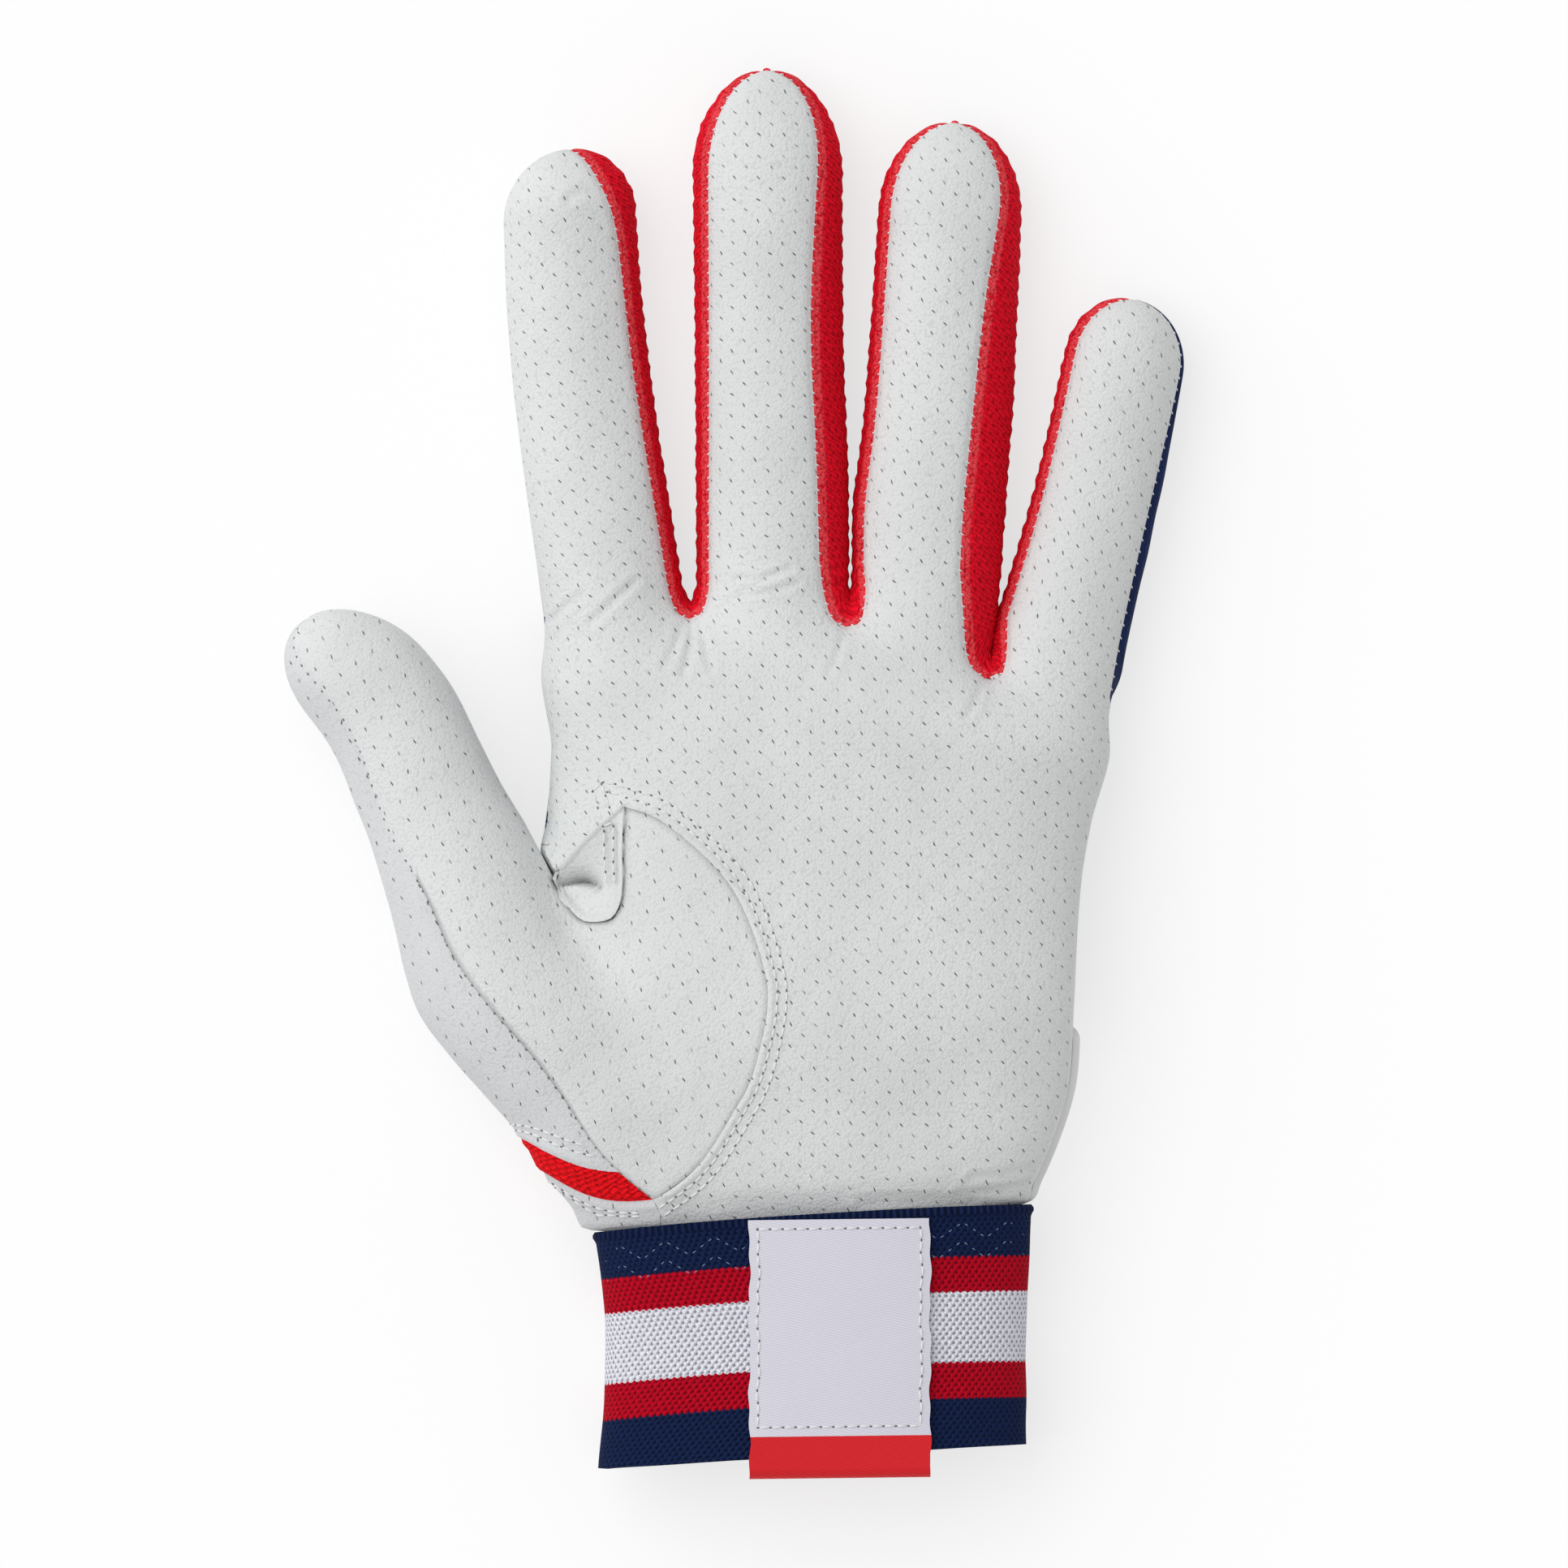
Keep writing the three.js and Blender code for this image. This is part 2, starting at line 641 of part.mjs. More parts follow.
function addFinger(limb, skin) {
  const tipStart = limb.length - limb.tipLength;
  const strips = [
    ["front", "palm", "palm_leather", LEATHER_THICKNESS],
    ["back", "back", ...limb.backCloth],
  ];
  limb.sides.forEach((side) => strips.push([side, `fourchette_${side}`, "red_mesh", MESH_THICKNESS]));
  for (const [strip, word, slot, thickness] of strips) {
    const limits = stripLimits(strip, limb);
    const columns = stripColumns(strip);
    const root = stallGrid(limb, skin, limb.rootHinge, limb.middleHinge, false, columns, limits);
    const end = stallGrid(limb, skin, limb.middleHinge, tipStart, true, columns, limits);
    addPiece(`${limb.name}_root_${word}`, slot, panelGeometry([root], thickness, skin));
    addPiece(`${limb.name}_tip_${word}`, slot, panelGeometry([end], thickness, skin));
  }
}

// Palm, back and webs

const indexRootEdge = palmEdge(INDEX_ROOT_EDGE_Y, LEFT);
const littleRootEdge = palmEdge(LITTLE_ROOT_EDGE_Y, RIGHT);
const rootCorners = [indexRootEdge.toArray(), ...WEB_CROTCHES, littleRootEdge.toArray()];

// The corner of a finger root on the front or back.
// The outer corners lie on the outline, shared by both faces.
function rootCorner(i, face) {
  if (i === 0) {
    return indexRootEdge;
  }
  if (i === fingers.length) {
    return littleRootEdge;
  }
  return lift(rootCorners[i][0], rootCorners[i][1], face);
}

function hingeRow(limb, skin, strip) {
  return stallRow(limb, skin, limb.rootHinge, 0, stripColumns(strip), stripLimits(strip, limb));
}

// Spacing across a row, taken from the flat spacing of a finger's hinge row.
function rowShares(row, limb) {
  const flat = row.map((p) => p.x * limb.across.x + p.y * limb.across.y);
  return flat.map((v) => (v - flat[0]) / (flat[flat.length - 1] - flat[0]));
}

// The root row of one finger, left to right, and the rows from it up to the root hinge.
function fingerStub(i, face) {
  const limb = fingers[i];
  const strip = face === UP ? "front" : "back";
  const hinge = hingeRow(limb, fingerSkins[i], strip);
  const ordered = face === UP ? hinge : hinge.reverse();
  const left = rootCorner(i, face);
  const right = rootCorner(i + 1, face);
  const shares = rowShares(ordered, limb);
  const root = shares.map((share) => {
    if (share === 0 || share === 1) {
      return share === 0 ? left : right;
    }
    return lift(mix(left.x, right.x, share), mix(left.y, right.y, share), face);
  });
  const rows = [root];
  for (let r = 1; r < STUB_ROWS; r += 1) {
    rows.push(root.map((p, j) => settle(p.clone().lerp(ordered[j], r / STUB_ROWS), fingerSkins[i])));
  }
  rows.push(ordered);
  return rows;
}

const frontStubs = fingers.map((limb, i) => fingerStub(i, UP));
const backStubs = fingers.map((limb, i) => fingerStub(i, DOWN));

function joinRows(rows) {
  return rows.flatMap((row, i) => (i === 0 ? row : row.slice(1)));
}

// Shares of the length along a row of points.
function lengthShares(row) {
  const sums = [0];
  for (let j = 1; j < row.length; j += 1) {
    sums.push(sums[j - 1] + Math.hypot(row[j].x - row[j - 1].x, row[j].y - row[j - 1].y));
  }
  return sums.map((v) => v / sums[sums.length - 1]);
}

// A four-sided patch between given border rows, lifted onto the skin.
function patch(top, bottom, left, right, face) {
  const rows = left.length - 1;
  const columns = top.length - 1;
  const downShares = lengthShares(left);
  const acrossShares = lengthShares(top);
  const grid = [];
  for (let i = 0; i <= rows; i += 1) {
    const row = [];
    for (let j = 0; j <= columns; j += 1) {
      row.push(patchPoint(top, bottom, left, right, i, j, downShares[i], acrossShares[j], face));
    }
    grid.push(row);
  }
  return grid;
}

function patchPoint(top, bottom, left, right, i, j, v, u, face) {
  const rows = left.length - 1;
  const columns = top.length - 1;
  if (i === 0 || i === rows) {
    return i === 0 ? top[j] : bottom[j];
  }
  if (j === 0 || j === columns) {
    return j === 0 ? left[i] : right[i];
  }
  const flat = (axis) =>
    mix(left[i][axis], right[i][axis], u) +
    mix(top[j][axis], bottom[j][axis], v) -
    mix(mix(top[0][axis], top[columns][axis], u), mix(bottom[0][axis], bottom[columns][axis], u), v);
  return lift(flat("x"), flat("y"), face);
}

function liftCurve(points, count, face) {
  const curve = curveThrough(points);
  return Array.from({ length: count + 1 }, (_, i) => lift(...curve(i / count), face));
}

// A straight line on the skin with given shares.
function liftLine(from, to, shares, face) {
  return shares.map((share) => lift(mix(from[0], to[0], share), mix(from[1], to[1], share), face));
}

const thumbCrotch = palmEdge(THUMB_CROTCH_Y, LEFT);
const palmBreakRight = palmEdge(PALM_BREAK_RIGHT_Y, RIGHT);
const crotchFlat = [thumbCrotch.x, thumbCrotch.y];

function edgeRows(fromY, toY, direction, rows) {
  return Array.from({ length: rows + 1 }, (_, i) => palmEdge(mix(fromY, toY, i / rows), direction));
}

// A place at a level up the hand.
function atLevel(x, level) {
  return [x, level + WRIST_SLOPE * (x - WRIST_CENTRE_X)];
}

// The outline at a level up the hand.
function levelEdge(level, side) {
  const [x, y] = atLevel(readTable(PALM_CENTRE_X, level), level);
  const direction = new THREE.Vector3(side, side * WRIST_SLOPE, 0).normalize();
  return lastInside(new THREE.Vector3(x, y, palmCentreZ(x, y)), direction, handSkin);
}

const collarTop = COLLAR_LEVELS[0];
const collarRight = COLLAR_LEVELS.map((level) => levelEdge(level, 1));
const collarLeft = COLLAR_LEVELS.map((level) => levelEdge(level, -1));

// One row of the collar between two places across the hand, on the front or back.
function collarRow(level, fromX, toX, shares, face) {
  return shares.map((share) => lift(...atLevel(mix(fromX, toX, share), level), face));
}

const palmRightUpper = edgeRows(LITTLE_ROOT_EDGE_Y, PALM_BREAK_RIGHT_Y, RIGHT, PALM_ROWS);
const palmRightLower = edgeRows(PALM_BREAK_RIGHT_Y, collarRight[0].y, RIGHT, HEEL_ROWS);
palmRightLower[HEEL_ROWS] = collarRight[0];
const palmLeft = edgeRows(INDEX_ROOT_EDGE_Y, THUMB_CROTCH_Y, LEFT, PALM_ROWS);
const tongueCrease = [crotchFlat, ...TONGUE_TOP_SEAM, THUMB_ARC_TOP];
const tongueTop = [thumbCrotch, ...liftCurve(tongueCrease, TONGUE_COLUMNS, UP).slice(1)];
const arcTop = tongueTop[TONGUE_COLUMNS];

const palmArc = liftCurve([THUMB_ARC_TOP, ...THUMB_ARC, THUMB_ARC_FOOT], HEEL_ROWS - 1, UP);

function palmPanel() {
  const top = joinRows(frontStubs.map((stub) => stub[0]));
  const shares = lengthShares(top);
  const breakStart = shares[TONGUE_COLUMNS];
  const breakShares = shares.slice(TONGUE_COLUMNS).map((s) => (s - breakStart) / (1 - breakStart));
  const breakLine = liftLine([arcTop.x, arcTop.y], [palmBreakRight.x, palmBreakRight.y], breakShares, UP);
  breakLine[0] = arcTop;
  breakLine[breakLine.length - 1] = palmBreakRight;
  const upper = patch(top, joinRows([tongueTop, breakLine]), palmLeft, palmRightUpper, UP);
  const collar = COLLAR_LEVELS.map((level, i) => {
    const row = collarRow(level, COLLAR_FRONT_X, collarRight[i].x, breakShares, UP);
    return [...row.slice(0, -1), collarRight[i]];
  });
  const heelLeft = [arcTop, ...palmArc.slice(1), collar[0][0]];
  const heel = patch(breakLine, collar[0], heelLeft, palmRightLower, UP);
  return panelGeometry([...frontStubs, upper, heel, collar], LEATHER_THICKNESS, handSkin);
}

// A red web between two fingers, from one root hinge down through the crotch and up to the next.
function webPanel(i) {
  const front = rootCorner(i + 1, UP);
  const back = rootCorner(i + 1, DOWN);
  const shares = Array.from({ length: SIDE_COLUMNS + 1 }, (_, j) => j / SIDE_COLUMNS);
  const crotch = shares.map((share) => front.clone().lerp(back, share));
  const line = crotch.map((p, j) => (j === 0 || j === SIDE_COLUMNS ? p : settle(p, palmAndFingersSkin)));
  const climb = (k, strip) => {
    const hinge = hingeRow(fingers[k], fingerSkins[k], strip);
    const rows = [];
    for (let r = 1; r < STUB_ROWS; r += 1) {
      rows.push(line.map((p, j) => settle(p.clone().lerp(hinge[j], r / STUB_ROWS), fingerSkins[k])));
    }
    return [...rows, hinge];
  };
  const rows = [...climb(i, "right").reverse(), line, ...climb(i + 1, "left")];
  return panelGeometry([rows], MESH_THICKNESS, palmAndFingersSkin, CORNER_GAP);
}

// Thumb

const thumbHinge = THUMB.hingeShare * thumb.length;
const thumbSeamAngle = (share) => -Math.asin(readTable(THUMB.frontSeam, share));
const thumbFrontLimits = (share) => [thumbSeamAngle(share), QUARTER_TURN];
const thumbBackLimits = (share) => [QUARTER_TURN, thumbSeamAngle(share) + 2 * HALF_TURN];

function addThumb() {
  const tipStart = thumb.length - thumb.tipLength;
  const front = stallGrid(thumb, thumbSkin, thumbHinge, tipStart, true, THUMB_COLUMNS, thumbFrontLimits);
  const back = stallGrid(thumb, thumbSkin, thumbHinge, tipStart, true, 2 * THUMB_COLUMNS, thumbBackLimits);
  addPiece("thumb_palm", "palm_leather", panelGeometry([front], LEATHER_THICKNESS, thumbSkin));
  addPiece("thumb_back", "plain_leather", panelGeometry([back], LEATHER_THICKNESS, thumbSkin));
}

const thumbFrontHinge = stallRow(thumb, thumbSkin, thumbHinge, 0, THUMB_COLUMNS, thumbFrontLimits);
const thumbBackHinge = stallRow(thumb, thumbSkin, thumbHinge, 0, 2 * THUMB_COLUMNS, thumbBackLimits);
const thumbSeamTop = thumbFrontHinge[0];
const thumbSeamFlat = [[thumbSeamTop.x, thumbSeamTop.y], ...THUMB_SEAM, THUMB_ARC_FOOT];
const thumbSeam = liftCurve(thumbSeamFlat, HEEL_ROWS, UP);
thumbSeam[0] = thumbSeamTop;
const tongueRim = liftCurve([crotchFlat, ...TONGUE_RIM, THUMB_ARC_TOP], RIM_COLUMNS, UP);
tongueRim[0] = thumbCrotch;
tongueRim[RIM_COLUMNS] = arcTop;

// The heel of the thumb: below the thumb hinge, between the long thumb seam, the tongue and the palm arc.
function thenarPanel() {
  const crotchRow = thumbFrontHinge.map((p, j) => {
    const share = rowShares(thumbFrontHinge, thumb)[j];
    return lift(mix(thumbSeam[1].x, thumbCrotch.x, share), mix(thumbSeam[1].y, thumbCrotch.y, share), UP);
  });
  crotchRow[0] = thumbSeam[1];
  crotchRow[THUMB_COLUMNS] = thumbCrotch;
  const middleRow = thumbFrontHinge.map((p, j) => settle(p.clone().lerp(crotchRow[j], 1 / 2), thumbSkin));
  const top = joinRows([crotchRow, tongueRim]);
  const foot = top.map(() => thumbSeam[HEEL_ROWS]);
  const arc = [...palmArc];
  arc[0] = arcTop;
  arc[HEEL_ROWS - 1] = thumbSeam[HEEL_ROWS];
  const heel = patch(top, foot, thumbSeam.slice(1), arc, UP);
  return panelGeometry([[thumbFrontHinge, middleRow, crotchRow], heel], LEATHER_THICKNESS, handSkin);
}

function tonguePanel() {
  const rows = [];
  const crease = curveThrough(tongueCrease);
  for (let i = 0; i <= TONGUE_ROWS; i += 1) {
    const v = i / TONGUE_ROWS;
    rows.push(tongueRim.map((rim, j) => {
      if (j === 0 || j === RIM_COLUMNS) {
        return rim;
      }
      const top = crease(j / RIM_COLUMNS);
      const p = lift(mix(top[0], rim.x, v), mix(top[1], rim.y, v), UP);
      p.z -= TONGUE_DIP * Math.sin(HALF_TURN * v) * Math.sin((HALF_TURN * j) / RIM_COLUMNS);
      return p;
    }));
  }
  return panelGeometry([rows], LEATHER_THICKNESS, handSkin);
}

// Thumb side, wrist pieces and back of the hand

const backSeamFlat = [crotchFlat, ...BACK_THUMB_SEAM, atLevel(BACK_SEAM_FOOT_X, collarTop)];
const backSeamAt = curveThrough(backSeamFlat);
const hemRow = HEEL_ROWS - 1;
const backSeamShares = [
  ...Array.from({ length: hemRow }, (_, i) => (HEM_BACK_SHARE * i) / (hemRow - 1)),
  VENT_BACK_SHARE,
  1,
];
const backSeam = backSeamShares.map((share) => backSeamAt(share));
const eased = (share) => (1 - Math.cos(HALF_TURN * share)) / 2;

// A row round the thumb side of the hand:
// from a place on the back, round the outline, to a place on the front.
function wrapRow(backPlace, edge, frontPoint, sag) {
  const row = [];
  for (let j = 0; j < BACK_WRAP_COLUMNS; j += 1) {
    const share = eased(j / BACK_WRAP_COLUMNS);
    row.push(lift(mix(backPlace[0], edge.x, share), mix(backPlace[1], edge.y, share), DOWN));
  }
  row.push(edge);
  for (let j = 1; j < FRONT_WRAP_COLUMNS; j += 1) {
    const share = 1 - Math.cos((QUARTER_TURN * j) / FRONT_WRAP_COLUMNS);
    const drop = sag * Math.sin(HALF_TURN * share);
    row.push(lift(mix(edge.x, frontPoint.x, share), mix(edge.y, frontPoint.y, share) - drop, UP));
  }
  return [...row, frontPoint];
}

const thumbLeftEdge = stallPoint(thumb, thumbHinge, 3 * QUARTER_TURN, 0);

// Rows of the thumb-side leather, from the thumb hinge to the hem.
function thumbSideRows() {
  const rows = [thumbBackHinge];
  for (let i = 1; i <= hemRow; i += 1) {
    const share = i / hemRow;
    const edge = palmEdge(mix(thumbLeftEdge.y, HEM_EDGE_Y, share), LEFT, handSkin);
    rows.push(wrapRow(backSeam[i - 1], edge, thumbSeam[i], HEM_SAG * share));
  }
  rows[1][0] = thumbCrotch;
  return rows;
}

const sideRows = thumbSideRows();
const hemLine = sideRows[hemRow];
const ventEdge = palmEdge(VENT_EDGE_Y, LEFT, handSkin);
const ventLine = wrapRow(backSeam[hemRow], ventEdge, thumbSeam[HEEL_ROWS], VENT_SAG);

function wristBand() {
  const collar = COLLAR_LEVELS.map((level, i) => {
    const frontPoint = lift(...atLevel(COLLAR_FRONT_X, level), UP);
    return wrapRow(atLevel(BACK_SEAM_FOOT_X, level), collarLeft[i], frontPoint, 0);
  });
  return panelGeometry([[ventLine, ...collar]], LEATHER_THICKNESS, handSkin);
}

function backPanel() {
  const top = joinRows(backStubs.map((stub) => stub[0]));
  const shares = lengthShares(top);
  const collar = COLLAR_LEVELS.map((level, i) => {
    const row = collarRow(level, BACK_SEAM_FOOT_X, collarRight[i].x, shares, DOWN);
    return [...row.slice(0, -1), collarRight[i]];
  });
  const seam = backSeam.map((place) => lift(...place, DOWN));
  seam[HEEL_ROWS] = collar[0][0];
  seam[0] = lift(thumbCrotch.x + CROTCH_RELIEF, thumbCrotch.y + CROTCH_RELIEF, DOWN);
  seam[1] = lift(backSeam[1][0] + CROTCH_RELIEF, backSeam[1][1], DOWN);
  const left = [...palmLeft.slice(0, -1), ...seam];
  const right = [...palmRightUpper, ...palmRightLower.slice(1)];
  const back = patch(top, collar[0], left, right, DOWN);
  return panelGeometry([...backStubs, back, collar], STRETCH_THICKNESS, handSkin);
}

// Cuff and label

function cuffSkin(p) {
  const level = upHand(p.x, p.y);
  const across = p.x - readTable(CUFF_CENTRE_X, level);
  const halfWidth = readTable(CUFF_HALF_WIDTH, level);
  const up = p.z - CUFF_CENTRE_Z;
  return aboveFloor(sectionDistance(across, 0, up, halfWidth, 1, CUFF_HALF_DEPTH, CUFF_ROUNDNESS), p);
}

function cuffPoint(level, angle) {
  const power = (v) => Math.sign(v) * Math.abs(v) ** (2 / CUFF_ROUNDNESS);
  const x = readTable(CUFF_CENTRE_X, level) + readTable(CUFF_HALF_WIDTH, level) * power(Math.sin(angle));
  const z = CUFF_CENTRE_Z + CUFF_HALF_DEPTH * power(Math.cos(angle));
  return new THREE.Vector3(...atLevel(x, level), Math.max(0, z));
}

function cuffBand() {
  const rows = [];
  for (let i = 0; i <= CUFF_ROWS; i += 1) {
    const level = mix(CUFF_TOP, CUFF_BOTTOM, i / CUFF_ROWS);
    const row = [];
    for (let k = 0; k < CUFF_SEGMENTS; k += 1) {
      row.push(cuffPoint(level, (2 * HALF_TURN * k) / CUFF_SEGMENTS));
    }
    rows.push([...row, row[0]]);
  }
  return panelGeometry([rows], ELASTIC_THICKNESS, cuffSkin, 0);
}

// A row across the label at a height over the cuff.
function labelRow(level, height) {
  const row = [];
  for (let j = 0; j <= PATCH_STEPS; j += 1) {
    const x = mix(LABEL_LEFT, LABEL_RIGHT, j / PATCH_STEPS);
    const y = level + LABEL_SLOPE * (x - WRIST_CENTRE_X);
    row.push(lastInside(new THREE.Vector3(x, y, CUFF_CENTRE_Z), UP, cuffSkin, height));
  }
  return row;
}

const labelOuter = LABEL_STANDOFF + LABEL_THICKNESS;

function labelFace() {
  const rows = [];
  for (let i = 0; i <= CUFF_ROWS; i += 1) {
    rows.push(labelRow(mix(LABEL_TOP, LABEL_FOLD_LINE, i / CUFF_ROWS), labelOuter));
  }
  return panelGeometry([rows], LABEL_THICKNESS, cuffSkin);
}

// The red end of the label, folded round the lower edge of the cuff and up inside it.
function labelFold() {
  const innerFace = -ELASTIC_THICKNESS - LABEL_STANDOFF;
  const returnFace = innerFace - LABEL_THICKNESS;
  const bend = (labelOuter - returnFace) / 2;
  const middle = (labelOuter + returnFace) / 2;
  const bendLevel = LABEL_END + bend;
  const path = (radius) => {
    const points = [[LABEL_FOLD_LINE - SEAM_GAP / 2, middle + radius]];
    for (let i = 0; i <= FOLD_STEPS; i += 1) {
      const turn = (HALF_TURN * i) / FOLD_STEPS;
      points.push([bendLevel - radius * Math.sin(turn), middle + radius * Math.cos(turn)]);
    }
    return [...points, [bendLevel + LABEL_RETURN, middle - radius]];
  };
  const rowsAt = (radius) => path(radius).map(([level, height]) => labelRow(level, height));
  return shellBetween(rowsAt(bend), rowsAt(bend - LABEL_THICKNESS));
}

// A closed solid between two grids of the same layout.
function shellBetween(outerGrid, innerGrid) {
  const columns = outerGrid[0].length;
  const ids = outerGrid.map((row, i) => row.map((_, j) => i * columns + j));
  const outer = outerGrid.flat();
  const inner = innerGrid.flat();
  const faces = gridFaces(ids);
  const outward = faces.reduce((sum, face) => {
    const away = outer[face[0]].clone().sub(inner[face[0]]);
    return sum + faceNormal(outer, face).dot(away);
  }, 0);
  return solidFrom(outer, inner, outward > 0 ? faces : faces.map(([a, b, c]) => [a, c, b]));
}

// Wrist closure on the back of the hand

const loopOuter = LAYER_GAP + PATCH_THICKNESS;
const hookOuter = loopOuter + LAYER_GAP + PATCH_THICKNESS;
const tabOuter = hookOuter + LAYER_GAP + TAB_THICKNESS;

function closurePatch(outer) {
  const rows = [];
  for (let i = 0; i <= PATCH_STEPS; i += 1) {
    const y = mix(PATCH_TOP_Y, PATCH_BOTTOM_Y, i / PATCH_STEPS);
    rows.push(Array.from({ length: PATCH_STEPS + 1 }, (_, j) =>
      lift(mix(PATCH_LEFT_X, PATCH_RIGHT_X, j / PATCH_STEPS), y, DOWN, handSkin, outer)));
  }
  return panelGeometry([rows], PATCH_THICKNESS, handSkin, 0);
}

// The moulded tab: sewn down at its left end and lying over the patches.
// Its free end shows past the outline.
function closureTab() {
  const rows = [];
  for (let i = 0; i <= PATCH_STEPS; i += 1) {
    const y = mix(TAB_TOP_Y, TAB_BOTTOM_Y, i / PATCH_STEPS);
    const fromCorner = Math.min(y - TAB_BOTTOM_Y, TAB_TOP_Y - y);
    const cut = Math.max(0, TAB_CORNER - fromCorner);
    const endX = palmEdge(y, RIGHT).x + TAB_OVERHANG - cut * cut / (2 * TAB_CORNER);
    rows.push(Array.from({ length: TAB_COLUMNS + 1 }, (_, j) => {
      const x = mix(TAB_HINGE_X, endX, j / TAB_COLUMNS);
      const rise = clamp((x - TAB_HINGE_X) / TAB_RISE_LENGTH, 0, 1);
      return lift(x, y, DOWN, handSkin, mix(LAYER_GAP + TAB_THICKNESS, tabOuter, rise));
    }));
  }
  return panelGeometry([rows], TAB_THICKNESS, handSkin, 0);
}

addPiece("palm_panel", "palm_leather", palmPanel());
addPiece("thenar_panel", "palm_leather", thenarPanel());
addPiece("thumb_tongue", "plain_leather", tonguePanel());
const thumbSide = panelGeometry([sideRows], LEATHER_THICKNESS, handSkin, CORNER_GAP);
addPiece("thumb_side_panel", "plain_leather", thumbSide);
addPiece("wrist_vent", "red_mesh", panelGeometry([[hemLine, ventLine]], MESH_THICKNESS, handSkin));
addPiece("wrist_band", "plain_leather", wristBand());
addPiece("back_panel", "navy_stretch", backPanel());
for (let i = 0; i + 1 < fingers.length; i += 1) {
  addPiece(`${fingers[i].name}_${fingers[i + 1].name}_web`, "red_mesh", webPanel(i));
}
fingers.forEach((limb, i) => addFinger(limb, fingerSkins[i]));
addThumb();
addPiece("cuff_band", "cuff_knit", cuffBand());
addPiece("label_face", "label_weave", labelFace());
addPiece("label_fold", "label_red", labelFold());
addPiece("loop_patch", "loop_pile", closurePatch(loopOuter));
addPiece("hook_patch", "hook_plastic", closurePatch(hookOuter));
addPiece("closure_tab", "moulded_rubber", closureTab());

export default glove;
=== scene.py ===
"""The looks of a left-hand batting glove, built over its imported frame.

The glove lies on its back with the palm up. Lengths in this file are in millimetres unless a name says
otherwise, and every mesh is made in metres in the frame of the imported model.
"""

import functools
import math

import bpy
import numpy as np
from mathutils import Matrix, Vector, kdtree, noise


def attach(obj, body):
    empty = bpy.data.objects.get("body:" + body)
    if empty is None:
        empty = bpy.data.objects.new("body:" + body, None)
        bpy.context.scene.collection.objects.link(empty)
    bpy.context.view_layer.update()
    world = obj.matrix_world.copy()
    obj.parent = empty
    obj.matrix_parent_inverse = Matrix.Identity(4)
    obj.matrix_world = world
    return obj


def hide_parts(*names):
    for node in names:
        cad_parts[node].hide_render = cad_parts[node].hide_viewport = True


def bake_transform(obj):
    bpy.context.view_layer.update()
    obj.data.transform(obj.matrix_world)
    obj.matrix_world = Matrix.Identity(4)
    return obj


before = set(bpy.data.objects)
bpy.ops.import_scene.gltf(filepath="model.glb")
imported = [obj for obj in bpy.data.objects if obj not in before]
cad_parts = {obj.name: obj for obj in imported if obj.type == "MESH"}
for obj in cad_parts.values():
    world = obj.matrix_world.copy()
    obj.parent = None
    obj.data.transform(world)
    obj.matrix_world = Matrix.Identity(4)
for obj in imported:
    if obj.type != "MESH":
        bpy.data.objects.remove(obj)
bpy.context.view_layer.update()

bl_info = {
    "name": "Batting glove",
    "version": (1, 0, 0),
    "blender": (4, 5, 0),
    "location": "View3D > Sidebar > Glove",
    "description": "Builds the leather, mesh, knit and stitches of a batting glove over its packed frame",
    "category": "Object",
}

MM = 0.001

# The picture: its width in pixels, millimetres per pixel, and the pixel that lies over the frame's origin.
PICTURE_SIZE = 1932
PIXEL = 0.131
ORIGIN_PIXEL = (905, 953)

# The hand's skin

FINGER_FILLET = 6
THUMB_FILLET = 5
WEB_RISE = 2.2
WRIST_SLOPE = 0.056
WRIST_CENTRE_X = 12.7

# The palm, from inside the cuff to the knuckles: (distance up the hand, value).
PALM_CENTRE_X = (
    (-80, 12.9), (-73, 12.7), (-72, 12.25), (-71.6, 11.4), (-71.1, 11.3), (-70.5, 11.3), (-66, 11),
    (-61, 10.4), (-55, 12), (-50, 13), (-40, 13.5), (-20, 13.5), (-6, 14.2), (10, 15.7), (24, 16),
)
PALM_HALF_WIDTH = (
    (-80, 32.2), (-73, 32.4), (-72, 33.15), (-71.6, 34.6), (-71.1, 35.9), (-70.5, 36.3), (-68, 37.2),
    (-66, 38.3), (-61, 41), (-55, 41.4), (-50, 41.3), (-40, 41.3), (-20, 42.5), (-6, 44.2),
    (10, 45.2), (24, 46.4),
)
PALM_HALF_DEPTH = (
    (-80, 9.2), (-72, 9.3), (-66, 9.7), (-55, 10.3), (-40, 11.4), (-20, 12.6),
    (-6, 12.9), (10, 12.4), (24, 10.4),
)
PALM_CENTRE_Z = (
    (-80, 11.6), (-72, 11.8), (-66, 14.6), (-55, 15.4), (-40, 15.9), (-20, 13.4),
    (-6, 12.3), (10, 11.8), (24, 9.9),
)
PALM_ROUNDNESS = 2.5
PALM_END_ROUNDING = 13
FINGER_ROUNDNESS = 2

